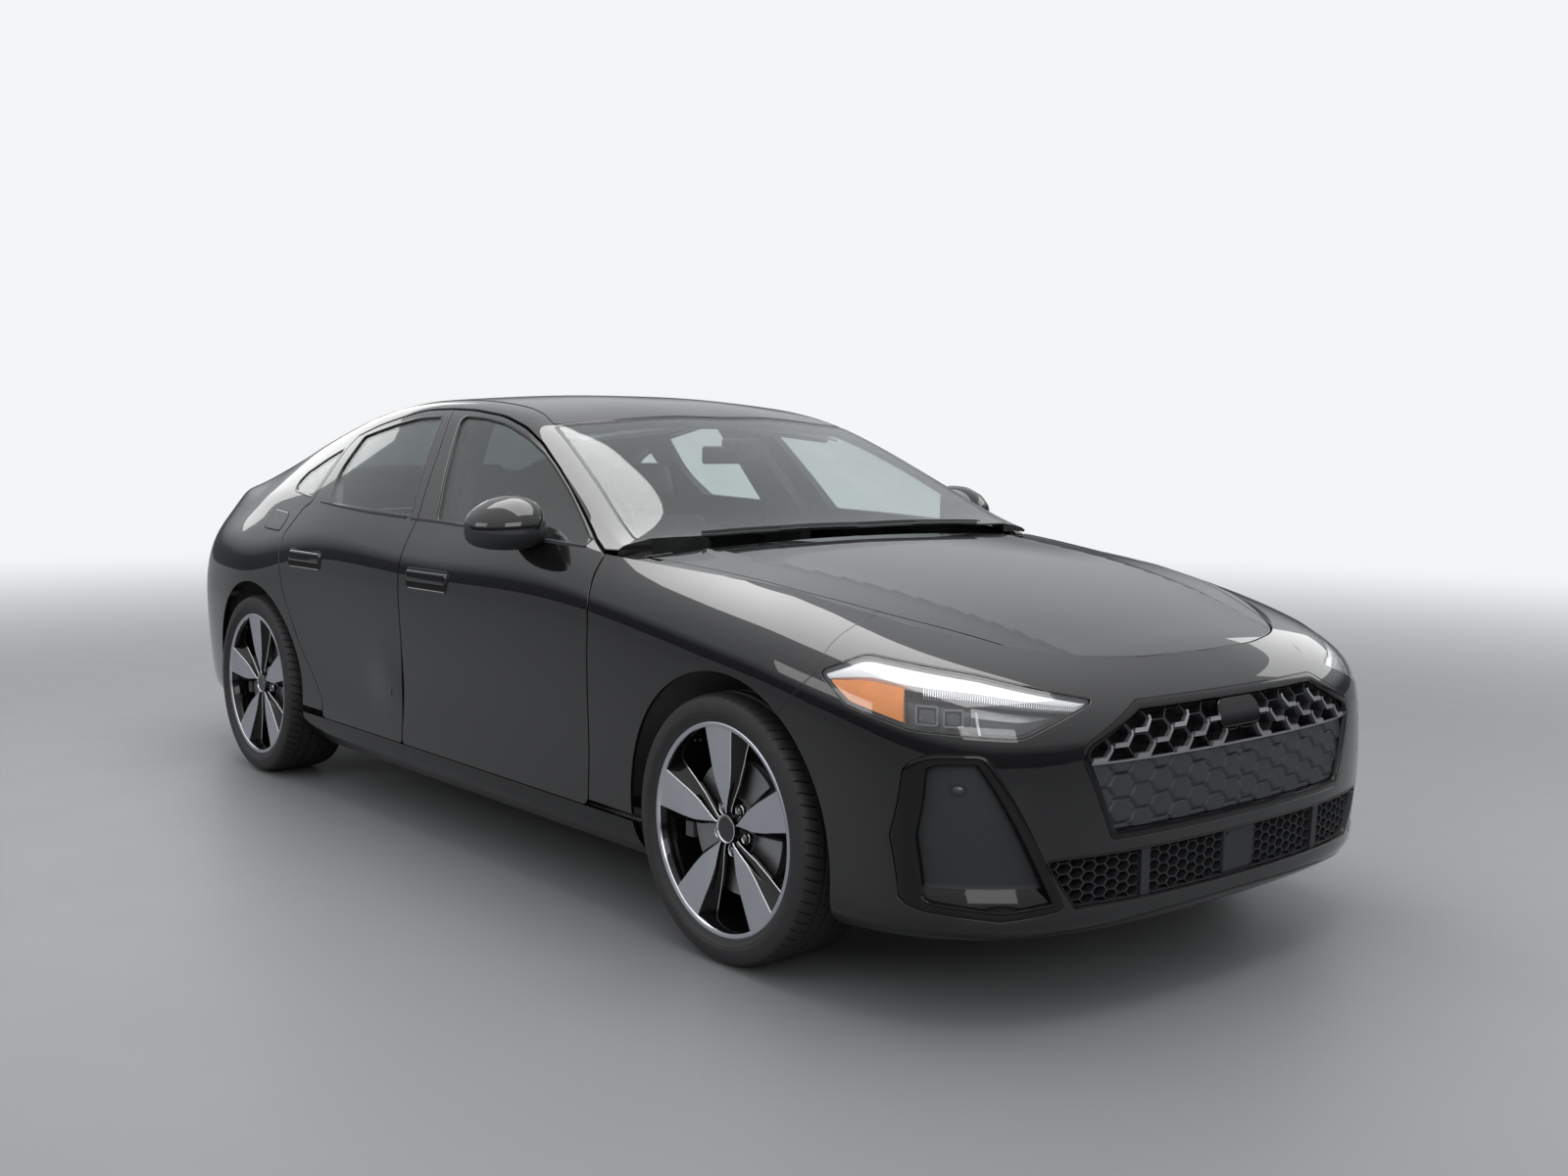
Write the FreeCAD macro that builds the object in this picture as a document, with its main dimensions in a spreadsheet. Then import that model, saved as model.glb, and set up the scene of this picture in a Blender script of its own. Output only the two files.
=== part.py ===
import FreeCAD, Part
import math
import os
import Sketcher
from types import SimpleNamespace
from FreeCAD import Vector

# A four-door saloon car. X points forward, Y to the car's left, Z up, in millimetres.
# The origin is on the ground, midway along the length and the width.

doc = FreeCAD.newDocument("Saloon")

# Driving dimensions
SIZES = [
    ("length", 4829, "nose to tail"),
    ("width", 1860, "across the doors' handles line, without mirrors"),
    ("height", 1444, "ground to the roof's crown"),
    ("wheelbase", 2892, "front axle to rear axle"),
    ("front_overhang", 880, "nose to front axle"),
    ("track_width", 1596, "between the middles of two tyres on an axle"),
    ("tyre_radius", 339, "ground to wheel centre"),
    ("tyre_width", 245, "tyre section width"),
    ("tyre_wall", 71, "tyre radius less rim edge radius"),
    ("tyre_shoulder_radius", 26, "rounding of the tread's shoulder"),
    ("tyre_bead_radius", 12, "rounding beside the rim"),
    ("rim_lip", 14, "height of the rim's flange"),
    ("rim_shell", 9, "thickness of the rim's barrel"),
    ("rim_inset", 10, "rim flange behind the tyre's side"),
    ("spoke_width_inner", 62, "spoke width at the hub"),
    ("spoke_width_outer", 150, "spoke width at the barrel"),
    ("spoke_depth", 34, "spoke thickness"),
    ("spoke_set", 16, "spoke face behind the rim flange"),
    ("hub_radius", 78, "wheel centre disc"),
    ("hub_depth", 52, "wheel centre disc thickness"),
    ("cap_radius", 31, "hub cap"),
    ("cap_height", 6, "hub cap above the centre disc"),
    ("disc_radius", 172, "brake disc"),
    ("disc_depth", 28, "brake disc thickness"),
    ("disc_clearance", 9, "between brake disc and spokes"),
    ("arch_gap", 55, "between tyre and wheel arch"),
    ("door_depth", 72, "thickness of a door below the windows"),
    ("frame_depth", 30, "thickness of a door's window frame"),
    ("side_depth", 34, "thickness of the body side and pillars"),
    ("fender_depth", 8, "thickness of a front fender"),
    ("bumper_depth", 20, "thickness of a bumper skin"),
    ("skirt_depth", 16, "thickness of a side skirt"),
    ("bonnet_depth", 26, "thickness of the bonnet"),
    ("roof_depth", 34, "thickness of the roof with its lining"),
    ("gate_depth", 36, "thickness of the tailgate"),
    ("glass_depth", 5, "thickness of a pane"),
    ("shut_gap", 9, "between a door and its neighbours"),
    ("lid_gap", 6, "between a lid and its neighbours"),
    ("roof_gap", 12, "between the roof and the tailgate, round its hinge pins"),
    ("lip_reach", 8, "tailgate's lip behind the tail's face"),
    ("lid_pin", 4, "radius of a lid's hinge pin"),
    ("lid_hinge_width", 36, "hinge knuckle of a lid, across the car"),
    ("lid_hinge_plate", 6, "hinge plate of a lid"),
    ("joint_gap", 0.4, "between fixed panels"),
    ("pane_inset", 8, "door glass behind the frame's face"),
    ("lamp_inset", 3, "lamp glass behind the body's face"),
    ("lamp_depth", 60, "depth of a headlamp"),
    ("tail_lamp_depth", 26, "depth of a tail lamp"),
    ("grille_depth", 14, "thickness of the grille's honeycomb"),
    ("cut_overrun", 60, "how far a cutting tool passes what it cuts"),
    ("hinge_set", 75, "door hinge axis behind the door's front edge"),
    ("hinge_sink", 36, "door hinge axis inside the widest skin"),
    ("hinge_radius", 9, "door hinge knuckle"),
    ("hinge_half", 20, "half the height of a hinge knuckle"),
    ("hinge_plate", 10, "thickness of a hinge bracket"),
    ("hinge_room", 40, "room in the door round a hinge"),
    ("flange_depth", 9, "thickness of the front door's rear flange"),
    ("flange_length", 30, "length of the front door's rear flange"),
    ("post_setback", 158, "body side to the door posts' outer face"),
    ("cell_width", 92, "width of a cell in the grille"),
    ("cell_wall", 9, "wall between cells in the grille"),
    ("mesh_width", 46, "width of a cell in the lower grille"),
    ("mesh_wall", 6, "wall between cells in the lower grille"),
    ("floor_height", 178, "ground to the underside of the floor"),
    ("floor_depth", 26, "thickness of the floor"),
    ("floor_half_width", 742, "centreline to the floor's edge"),
    ("sill_height", 96, "height of the sill box"),
    ("sill_width", 96, "width of the sill box"),
    ("tunnel_half_width", 150, "centreline to the tunnel's side"),
    ("tunnel_height", 110, "tunnel above the floor"),
    ("boot_floor_height", 430, "ground to the boot floor"),
    ("wall_depth", 16, "thickness of bulkheads and liners"),
    ("tub_gap", 12, "between the floor's edge and a sill box"),
    ("rail_width", 70, "front and rear chassis rails"),
    ("rail_height", 110, "front and rear chassis rails"),
    ("rail_spacing", 860, "between the middles of the chassis rails"),
    ("liner_gap", 34, "between wheel arch edge and wheel liner"),
    ("liner_depth", 6, "thickness of a wheel liner"),
    ("engine_length", 620, "engine and gearbox block"),
    ("engine_width", 640, "engine and gearbox block"),
    ("engine_height", 520, "engine and gearbox block"),
    ("axle_tube", 22, "radius of an axle shaft"),
    ("hub_tube", 42, "radius of a wheel bearing"),
    ("knuckle_width", 60, "thickness of a steering knuckle"),
    ("knuckle_height", 200, "height of a steering knuckle"),
    ("kingpin_radius", 16, "steering knuckle's pivot"),
    ("kingpin_inset", 105, "from the tyre's middle to the steering axis"),
    ("pin_clearance", 0.3, "around a pin in its seat"),
    ("exhaust_radius", 34, "exhaust pipe"),
    ("silencer_radius", 96, "rear silencer"),
    ("steering_wheel_radius", 182, "steering wheel"),
    ("steering_rim_radius", 15, "steering wheel's rim"),
    ("steering_boss_radius", 65.5, "steering wheel's middle"),
    ("steering_tilt", 66, "steering wheel's lean in degrees"),
    ("column_length", 130, "steering column from the wheel to the dashboard"),
    ("mirror_reach", 190, "door mirror beyond the door"),
    ("mirror_height", 130, "door mirror housing"),
    ("mirror_depth", 150, "door mirror housing, front to back"),
    ("pillar_width", 150, "middle pillar, front to back"),
    ("pillar_depth", 52, "middle pillar, across"),
    ("plate_depth", 10, "number plate with its holder"),
    ("plate_inset", 6, "number plate behind the bumper's face"),
    ("cushion_height", 130, "front seat cushion"),
    ("cushion_length", 500, "front seat cushion"),
    ("back_depth", 120, "front seat back"),
    ("back_height", 600, "front seat back"),
    ("headrest_height", 170, "head restraint"),
    ("headrest_width", 280, "head restraint"),
    ("seat_base_height", 330, "ground to the front seat cushion"),
    ("seat_round", 40, "rounding of cushions"),
    ("seat_width", 520, "front seat width"),
    ("seat_spacing", 740, "between the middles of the front seats"),
    ("bench_width", 1220, "rear seat"),
    ("bench_length", 500, "rear seat cushion"),
    ("bench_back_height", 520, "rear seat back"),
    ("bench_base_height", 320, "ground to the rear seat cushion"),
    ("seat_travel_place", 330, "front seat cushion's front edge ahead of the middle pillar"),
    ("pedestal_length", 360, "front seat base"),
    ("pedestal_width", 380, "front seat base"),
    ("recliner_length", 190, "plate between a front seat's cushion and its back"),
    ("recliner_height", 110, "plate between a front seat's cushion and its back"),
    ("headrest_rise", 50, "head restraint above the back"),
    ("headrest_post", 7, "radius of a head restraint's post"),
    ("dash_depth", 380, "dashboard, front to back"),
    ("dash_height", 330, "dashboard height"),
    ("dash_width", 1380, "dashboard width"),
    ("dash_round", 60, "rounding of the dashboard"),
    ("tray_depth", 8, "thickness of the undertray"),
    ("beam_radius", 30, "axle cross members"),
    ("arm_radius", 17, "suspension arms"),
    ("seat_gap", 4, "between separate trim pieces"),
]

sheet = doc.addObject("Spreadsheet::Sheet", "Sizes")
for row_number, (alias, value, meaning) in enumerate(SIZES, 1):
    sheet.set("A%d" % row_number, meaning)
    sheet.set("B%d" % row_number, str(value))
    sheet.setAlias("B%d" % row_number, alias)
doc.recompute()
size = SimpleNamespace(**{alias: float(sheet.get(alias)) for alias, _, _ in SIZES})

half_length = size.length / 2
half_width = size.width / 2
front_axle = half_length - size.front_overhang
rear_axle = front_axle - size.wheelbase
rear_overhang = size.length - size.front_overhang - size.wheelbase
axle_height = size.tyre_radius
arch_radius = size.tyre_radius + size.arch_gap
rim_radius = size.tyre_radius - size.tyre_wall

# The lower body is one smooth surface round the car, from the hem to the shoulder.
# Sweep of the plan from the centreline round a corner: share of the overhang, share of the half width
nose_sweep_shares = [
    (1, 0), (1, .13), (.990, .33), (.968, .51), (.925, .67),
    (.850, .805), (.735, .905), (.590, .965), (.430, .990), (.270, 1),
]
tail_sweep_shares = [
    (1, 0), (1, .13), (.990, .33), (.968, .50), (.925, .65),
    (.850, .775), (.735, .870), (.590, .930), (.420, .967), (.250, .990),
]
# Each row: nose (setback share, sweep power, height shares), side (half-width and height shares
# at five places) and tail as the nose
side_place_shares = [0, .202, .531, .842, 1]
row_shares = {
    "hem": ((.153, 1, .126, .126, .125, .123),
            ((.909, .128), (.910, .129), (.910, .129), (.910, .129), (.914, .135)),
            (.118, 1, .177, .173, .163, .149)),
    "skirt": ((.016, 1, .132, .132, .133, .139),
              ((.960, .158), (.960, .161), (.960, .163), (.960, .166), (.962, .170)),
              (.028, 1, .184, .181, .173, .163)),
    "sill": ((.007, 1, .177, .177, .179, .186),
             ((.974, .216), (.965, .220), (.960, .223), (.961, .223), (.971, .223)),
             (.008, 1, .229, .227, .222, .215)),
    "tuck": ((.005, 1, .246, .246, .248, .258),
             ((.985, .298), (.965, .305), (.954, .309), (.956, .305), (.982, .298)),
             (0, 1, .305, .305, .302, .298)),
    "flank": ((0, 1, .332, .332, .339, .353),
              ((.990, .395), (.981, .416), (.972, .419), (.975, .416), (.991, .395)),
              (0, 1, .388, .388, .388, .388)),
    "bulge": ((.005, 1.05, .416, .416, .422, .438),
              ((.991, .478), (.989, .509), (.987, .516), (.990, .512), (.997, .485)),
              (.011, 1, .450, .454, .461, .471)),
    "ridge": ((.020, 1.1, .465, .468, .479, .500),
              ((.987, .546), (.990, .580), (.991, .585), (.995, .585), (.990, .561)),
              (.036, 1, .509, .516, .530, .544)),
    "shoulder": ((.059, 1.25, .504, .508, .521, .548),
                 ((.953, .600), (.974, .625), (.976, .632), (.978, .636), (.955, .627)),
                 (.052, 1, .589, .592, .602, .609)),
    "crown": ((.105, 1.6, .530, .535, .555, .590),
              ((.871, .634), (.948, .657), (.951, .668), (.948, .682), (.890, .687)),
              (.062, 1.05, .668, .668, .665, .661)),
    "edge": ((.152, 2.2, .551, .557, .580, .620),
             ((.772, .654), (.916, .684), (.920, .706), (.912, .724), (.852, .741)),
             (.072, 1.25, .729, .727, .717, .701)),
}
row_names = list(row_shares)
side_station_count = 20
nose_count = len(nose_sweep_shares)
tail_count = len(tail_sweep_shares)
last_station = nose_count + side_station_count + tail_count - 1
first_tail_station = last_station - tail_count + 1


def through(places, values, place):
    """A smooth curve through hand-chosen values; places rise."""
    place = min(max(place, places[0]), places[-1])
    slopes = [(values[k + 1] - values[k]) / (places[k + 1] - places[k])
              for k in range(len(places) - 1)]
    tangents = [slopes[0]]
    for k in range(1, len(slopes)):
        before = places[k] - places[k - 1]
        after = places[k + 1] - places[k]
        tangents.append((after * slopes[k - 1] + before * slopes[k]) / (before + after))
    tangents.append(slopes[-1])
    k = 0
    while k < len(places) - 2 and place > places[k + 1]:
        k += 1
    span = places[k + 1] - places[k]
    part = (place - places[k]) / span
    return ((1 + 2 * part) * (1 - part) ** 2 * values[k]
            + part * (1 - part) ** 2 * span * tangents[k]
            + part ** 2 * (3 - 2 * part) * values[k + 1]
            + part ** 2 * (part - 1) * span * tangents[k + 1])


def ring_pole(name, station):
    """A control point of the lower body on the left side."""
    nose, side, tail = row_shares[name]
    nose_reach = size.front_overhang * (1 - nose[0])
    tail_reach = rear_overhang * (1 - tail[0])
    side_first = front_axle + nose_reach * nose_sweep_shares[-1][0] ** nose[1]
    side_last = rear_axle - tail_reach * tail_sweep_shares[-1][0] ** tail[1]
    plain_first = front_axle + size.front_overhang * nose_sweep_shares[-1][0]
    plain_last = rear_axle - rear_overhang * tail_sweep_shares[-1][0]
    stations = [0, 3, 5, 7]
    for share in side_place_shares:
        run = (plain_first - front_axle + share * size.wheelbase) / (plain_first - plain_last)
        stations.append(nose_count - 1 + (side_station_count + 1) * run)
    stations += [last_station - 7, last_station - 5, last_station - 3, last_station]
    heights = list(nose[2:]) + [share for _, share in side] + list(tail[:1:-1])
    z = size.height * through(stations, heights, station)
    widths = [share for share, _ in side]
    if station < nose_count:
        forward, outward = nose_sweep_shares[station]
        x = front_axle + nose_reach * forward ** nose[1]
        y = outward * half_width * widths[0]
    elif station >= first_tail_station:
        rearward, outward = tail_sweep_shares[last_station - station]
        x = rear_axle - tail_reach * rearward ** tail[1]
        y = outward * half_width * widths[-1]
    else:
        run = (station - nose_count + 1) / (side_station_count + 1)
        x = side_first + (side_last - side_first) * run
        y = half_width * through(side_place_shares, widths, (front_axle - x) / size.wheelbase)
    return Vector(x, y, z)


ring_poles = [[ring_pole(name, station) for name in row_names]
              for station in range(last_station + 1)]


def ring_row(station):
    """Control points of one station; past either centreline they are mirrored."""
    if station < 0:
        return [Vector(p.x, -p.y, p.z) for p in ring_poles[-station]]
    if station > last_station:
        return [Vector(p.x, -p.y, p.z) for p in ring_poles[2 * last_station - station]]
    return ring_poles[station]


# The upper body: sections across the car above the shoulder
crown_place_shares = [.152, .219, .289, .358, .416, .461, .531, .600, .669, .731, .807, .923,
                      1.015, 1.099, 1.188, 1.257, 1.309, 1.338]
crown_height_shares = [.6946, .7659, .8380, .9037, .9515, .9723, .9882, .9952, .9958, .9917, .9792,
                       .9418, .8982, .8476, .7936, .7570, .7395, .7345]
rail_place_shares = [.185, .219, .289, .358, .436, .531, .634, .731, .842, .923, 1.015, 1.099,
                     1.188, 1.257, 1.309, 1.338]
rail_width_shares = [.876, .844, .783, .731, .688, .669, .663, .659, .652, .647, .645, .651, .672,
                     .704, .742, .769]
rail_height_shares = [.6821, .7133, .7895, .8587, .9245, .9612, .9744, .9730, .9488, .9127, .8643,
                      .8137, .7618, .7271, .7078, .7008]
cross_shares = [(0, 0), (.30, 0), (.62, .38), (.86, .72), (1, 1)]
fall_shares = [.25, .60, .88]
window_bulge_share = .105
window_lift_share = .6


def belt_pole(x):
    """The shoulder's upper edge at a place along the side, carried straight on past the tail."""
    edge = [ring_poles[k][-1] for k in range(nose_count - 1, first_tail_station + 2)]
    first = edge[0]
    last = edge[-1]
    places = [first.x - p.x for p in edge]
    y = through(places, [p.y for p in edge], first.x - x)
    z = through(places, [p.z for p in edge], first.x - x)
    if x < last.x:
        run = (last.x - x) / (last.x + half_length)
        y = last.y * (1 - run * tail_taper_share)
        z = last.z + (size.height * row_shares["edge"][2][2] - last.z) * run
    return y, z


tail_taper_share = .16


def section(x):
    """Half a section across the upper body, centreline first, belt last."""
    place = (front_axle - x) / size.wheelbase
    crown = size.height * through(crown_place_shares, crown_height_shares, place)
    rail_y = half_width * through(rail_place_shares, rail_width_shares, place)
    rail_z = size.height * through(rail_place_shares, rail_height_shares, place)
    belt_y, belt_z = belt_pole(x)
    points = [(rail_y * across, crown - (crown - rail_z) * down) for across, down in cross_shares]
    rise = max(rail_z - belt_z, 0)
    for share in fall_shares:
        bulge = window_bulge_share * rise * share * (1 - share)
        points.append((rail_y + (belt_y - rail_y) * share + bulge,
                       rail_z + (belt_z - rail_z) * share + bulge * window_lift_share))
    points.append((belt_y, belt_z))
    return points


def make_surface(rows, u_open=False, v_open=False):
    """A cubic surface from a grid of control points; an open direction keeps uniform knots."""
    u_count = len(rows)
    v_count = len(rows[0])

    def knots(count, is_open):
        if is_open:
            return [1] * (count + 4), [k - 2 for k in range(count + 4)]
        return [4] + [1] * (count - 4) + [4], list(range(count - 2))

    u_mults, u_knots = knots(u_count, u_open)
    v_mults, v_knots = knots(v_count, v_open)
    surface = Part.BSplineSurface()
    surface.buildFromPolesMultsKnots(rows, u_mults, v_mults, u_knots, v_knots, False, False, 3, 3)
    return surface


wrap = 16
ring_surface = make_surface([ring_row(k) for k in range(-wrap, last_station + wrap + 1)], u_open=True)


def ring_u(station):
    """Parameter of a station on the ring surface."""
    return station + wrap


# The body side above and below the belt as one surface, for doors, pillars and quarters
side_first_station = 11
side_over_rows = 3
deck_reach_shares = [.035, .080, .125, .170, .215, .260]


def upper_point(x, y):
    """Height of the upper body over a plan place."""
    points = section(x)
    surface_curve = Part.BSplineCurve()
    surface_curve.buildFromPolesMultsKnots(
        [Vector(0, p[0], p[1]) for p in points], [4] + [1] * (len(points) - 4) + [4],
        list(range(len(points) - 2)), False, 3)
    low = 0
    high = surface_curve.LastParameter
    for _ in range(24):
        middle = (low + high) / 2
        if surface_curve.value(middle).y < y:
            low = middle
        else:
            high = middle
    return surface_curve.value(low).z


def side_row(station):
    """Control points from the hem over the belt to inside the rail."""
    lower = ring_row(station)
    edge = lower[-1]
    upper = section(edge.x)[::-1]
    points = list(lower)
    if station < first_tail_station:
        for y, z in upper[1:1 + len(fall_shares) + side_over_rows]:
            points.append(Vector(edge.x, y, z))
        return points
    before = ring_row(station - 1)[-1]
    after = ring_row(station + 1)[-1]
    along = Vector(after.x - before.x, after.y - before.y, 0).normalize()
    inward = Vector(-along.y, along.x, 0)
    if inward.y * (1 if edge.y >= 0 else -1) > 0:
        inward = inward * -1
    closing = (station - first_tail_station + 1) / tail_count
    for k in range(len(fall_shares) + side_over_rows):
        share = deck_reach_shares[k] * (1 - deck_closing_share * closing)
        point = edge + inward * (share * half_width)
        points.append(Vector(point.x, point.y, upper_point(max(point.x, -half_length), abs(point.y))))
    return points


deck_closing_share = .5
side_surface = make_surface([side_row(k) for k in range(side_first_station, last_station)], u_open=True)


def side_u(station):
    """Parameter of a station on the body side surface."""
    return station - side_first_station


# The upper body from belt to belt, for the windscreen, roof and tailgate
station_step = (ring_poles[nose_count - 1][-1].x - ring_poles[first_tail_station][-1].x) / (
    side_station_count + 1)
upper_first = ring_poles[nose_count - 1][-1].x - 2 * station_step
upper_count = int((upper_first + half_length) / station_step) + 3


def upper_row(k):
    """Control points of one full section, left belt to right belt."""
    x = upper_first - k * station_step
    half = section(x)
    return ([Vector(x, y, z) for y, z in half[::-1]]
            + [Vector(x, -y, z) for y, z in half[1:]])


upper_surface = make_surface([upper_row(k) for k in range(upper_count)], u_open=True)


def upper_u(x):
    """Parameter of a place along the car on the upper surface."""
    return (upper_first - x) / station_step


# The bonnet's surface, a crowned sheet between the fenders
bonnet_place_shares = [-.63, -.494, -.266, 0, .302, .529, .699, .847, 1.006]
bonnet_height_shares = [.7036, .6981, .6856, .6662, .6371, .6080, .5803, .5519, .4986]
bonnet_half_width_shares = [.849, .823, .790, .772, .715, .618, .527, .452, .452]
bonnet_drop_shares = [.0237, .0246, .0249, .0212, .0197, .0187, .0180, .0139, .0111]
bonnet_crown_power = 2.2
bonnet_flat_share = 1.3
bonnet_rows = 17
bonnet_stations = 18
bonnet_reach_share = .95


def bonnet_point(x, y):
    """Height of the bonnet over a plan place."""
    place = (x - front_axle) / size.front_overhang
    crown = size.height * through(bonnet_place_shares, bonnet_height_shares, place)
    reach = half_width * through(bonnet_place_shares, bonnet_half_width_shares, place)
    drop = size.height * through(bonnet_place_shares, bonnet_drop_shares, place)
    return crown - drop * min(abs(y) / reach, bonnet_flat_share) ** bonnet_crown_power


def bonnet_row(k):
    """Control points of one line across the bonnet."""
    place = bonnet_place_shares[0] + (bonnet_place_shares[-1] - bonnet_place_shares[0]) * k / (
        bonnet_stations - 1)
    x = front_axle + place * size.front_overhang
    reach = half_width * bonnet_reach_share
    return [Vector(x, y, bonnet_point(x, y))
            for y in (reach * (1 - 2 * j / (bonnet_rows - 1)) for j in range(bonnet_rows))]


bonnet_surface = make_surface([bonnet_row(k) for k in range(bonnet_stations)])


def inner_poles(surface, depth, core):
    """Control points moved inwards by a depth, which may change over v."""
    u_knots = surface.UKnotSequence
    v_knots = surface.VKnotSequence
    moved = []
    for i, line in enumerate(surface.getPoles()):
        u = sum(u_knots[i + 1:i + 4]) / 3
        new_line = []
        for j, pole in enumerate(line):
            v = sum(v_knots[j + 1:j + 4]) / 3
            normal = surface.normal(u, v)
            if normal.dot(core - surface.value(u, v)) < 0:
                normal = normal * -1
            amount = depth(v) if callable(depth) else depth
            new_line.append(pole + normal * amount)
        moved.append(new_line)
    return moved


core_share = .35
core_point = Vector(0, 0, size.height * core_share)


def slab(surface, u_range, v_range, depth, inset=0):
    """A solid between a piece of a surface and the same piece moved inwards."""
    outer = surface.copy()
    u_first, u_last, v_first, v_last = surface.bounds()
    outer.segment(max(u_range[0], u_first), min(u_range[1], u_last),
                  max(v_range[0], v_first), min(v_range[1], v_last))
    u_data = (outer.getUMultiplicities(), outer.getUKnots())
    v_data = (outer.getVMultiplicities(), outer.getVKnots())

    def rebuilt(poles):
        result = Part.BSplineSurface()
        result.buildFromPolesMultsKnots(poles, u_data[0], v_data[0], u_data[1], v_data[1],
                                        False, False, 3, 3)
        return result

    if inset:
        outer = rebuilt(inner_poles(outer, inset, core_point))
    inner = rebuilt(inner_poles(outer, depth, core_point))
    top = outer.getPoles()
    bottom = inner.getPoles()
    faces = [outer.toShape(), inner.toShape()]
    for first, second, data in (
            (top[0], bottom[0], v_data), (top[-1], bottom[-1], v_data),
            ([line[0] for line in top], [line[0] for line in bottom], u_data),
            ([line[-1] for line in top], [line[-1] for line in bottom], u_data)):
        wall = Part.BSplineSurface()
        wall.buildFromPolesMultsKnots([first, second], [2, 2], data[0], [0, 1], data[1],
                                      False, False, 1, 3)
        faces.append(wall.toShape())
    shell = Part.makeShell(faces)
    shell.sewShape()
    solid = Part.makeSolid(shell)
    if solid.Volume < 0:
        solid.reverse()
    return solid


corner_room_share = .49
straight_half_angle = 1.5606
least_trim = .05
least_run = .01


def corner_path(points):
    """Straight and round stretches through outline points, each (a, b, corner radius)."""
    count = len(points)
    lengths = [math.hypot(points[(k + 1) % count][0] - points[k][0],
                          points[(k + 1) % count][1] - points[k][1]) for k in range(count)]
    corners = []
    for k in range(count):
        before = points[k - 1]
        here = points[k]
        after = points[(k + 1) % count]
        to_before = ((before[0] - here[0]) / lengths[k - 1], (before[1] - here[1]) / lengths[k - 1])
        to_after = ((after[0] - here[0]) / lengths[k], (after[1] - here[1]) / lengths[k])
        cosine = max(-1, min(1, to_before[0] * to_after[0] + to_before[1] * to_after[1]))
        half_angle = math.acos(cosine) / 2
        room = min(lengths[k - 1], lengths[k]) * corner_room_share
        trim = min(here[2] / math.tan(half_angle), room) if half_angle < straight_half_angle else 0
        if trim < least_trim:
            corners.append((here[:2],))
            continue
        radius = trim * math.tan(half_angle)
        start = (here[0] + to_before[0] * trim, here[1] + to_before[1] * trim)
        end = (here[0] + to_after[0] * trim, here[1] + to_after[1] * trim)
        bisector = (to_before[0] + to_after[0], to_before[1] + to_after[1])
        span = math.hypot(*bisector)
        reach = radius / math.sin(half_angle) - radius
        middle = (here[0] + bisector[0] / span * reach, here[1] + bisector[1] / span * reach)
        corners.append((start, middle, end))
    return corners


def face_of(points, place):
    """A flat face from outline points; place turns (a, b) into a point in space."""
    corners = corner_path(points)
    edges = []
    for k, corner in enumerate(corners):
        if len(corner) == 3:
            edges.append(Part.Arc(*[place(*point) for point in corner]).toShape())
        start = place(*corner[-1])
        end = place(*corners[(k + 1) % len(corners)][0])
        if start.distanceToPoint(end) > least_run:
            edges.append(Part.LineSegment(start, end).toShape())
    return Part.Face(Part.Wire(edges))


def inset_outline(points, gap):
    """The outline moved inwards all round by a gap; a negative gap moves it outwards."""
    count = len(points)
    area = sum(points[k - 1][0] * points[k][1] - points[k][0] * points[k - 1][1]
               for k in range(count))
    sign = 1 if area > 0 else -1
    moved = []
    for k in range(count):
        before = points[k - 1]
        here = points[k]
        after = points[(k + 1) % count]
        first = (here[0] - before[0], here[1] - before[1])
        second = (after[0] - here[0], after[1] - here[1])
        first_normal = (-first[1] * sign / math.hypot(*first), first[0] * sign / math.hypot(*first))
        second_normal = (-second[1] * sign / math.hypot(*second),
                         second[0] * sign / math.hypot(*second))
        total = (first_normal[0] + second_normal[0], first_normal[1] + second_normal[1])
        scale = 2 * gap / (total[0] ** 2 + total[1] ** 2)
        convex = (first[0] * second[1] - first[1] * second[0]) * sign > 0
        radius = max(here[2] - gap, 0) if convex else max(here[2] + gap, 0)
        if here[2] == 0:
            radius = 0
        moved.append((here[0] + total[0] * scale, here[1] + total[1] * scale, radius))
    return moved


def side_outline(shares):
    """Side-view outline in millimetres from shares of the wheelbase and the height."""
    return [(front_axle - x * size.wheelbase, z * size.height, radius * size.height)
            for x, z, radius in shares]


def front_outline(shares):
    """Front-view outline in millimetres from shares of the half width and the height."""
    return [(y * half_width, z * size.height, radius * size.height) for y, z, radius in shares]


def plan_outline(shares):
    """Plan outline in millimetres from shares of the wheelbase and the half width."""
    return [(front_axle - x * size.wheelbase, y * half_width, radius * size.height)
            for x, y, radius in shares]


def side_prism(points, inner=0, outer=None):
    """A block through the left side of the car with a side-view outline."""
    outer = half_width + size.cut_overrun * 4 if outer is None else outer
    face = face_of(points, lambda a, b: Vector(a, inner, b))
    return face.extrude(Vector(0, outer - inner, 0))


def front_prism(points, rear, front):
    """A block along the car with a front-view outline."""
    face = face_of(points, lambda a, b: Vector(rear, a, b))
    return face.extrude(Vector(front - rear, 0, 0))


def plan_prism(points, low, high):
    """An upright block with a plan outline."""
    face = face_of(points, lambda a, b: Vector(a, b, low))
    return face.extrude(Vector(0, 0, high - low))


def both_ways(points):
    """A half outline from centreline to centreline closed with its mirror image."""
    mirrored = [(a, -b, r) for a, b, r in points[::-1] if abs(b) > 1e-6]
    return points + mirrored


def both_ways_pairs(pairs):
    """Half a line across the car, from the left to the centreline, carried on to the right."""
    return [(x, -y) for x, y in pairs] + [(x, y) for x, y in pairs[::-1] if y > 0]


def both_ways_front(points):
    """A half front-view outline closed with its mirror image."""
    return points + [(-a, b, r) for a, b, r in points[::-1] if abs(a) > 1e-6]


def mirrored(shape):
    """The right-hand twin of a left-hand shape."""
    return shape.mirror(Vector(0, 0, 0), Vector(0, 1, 0))


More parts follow.
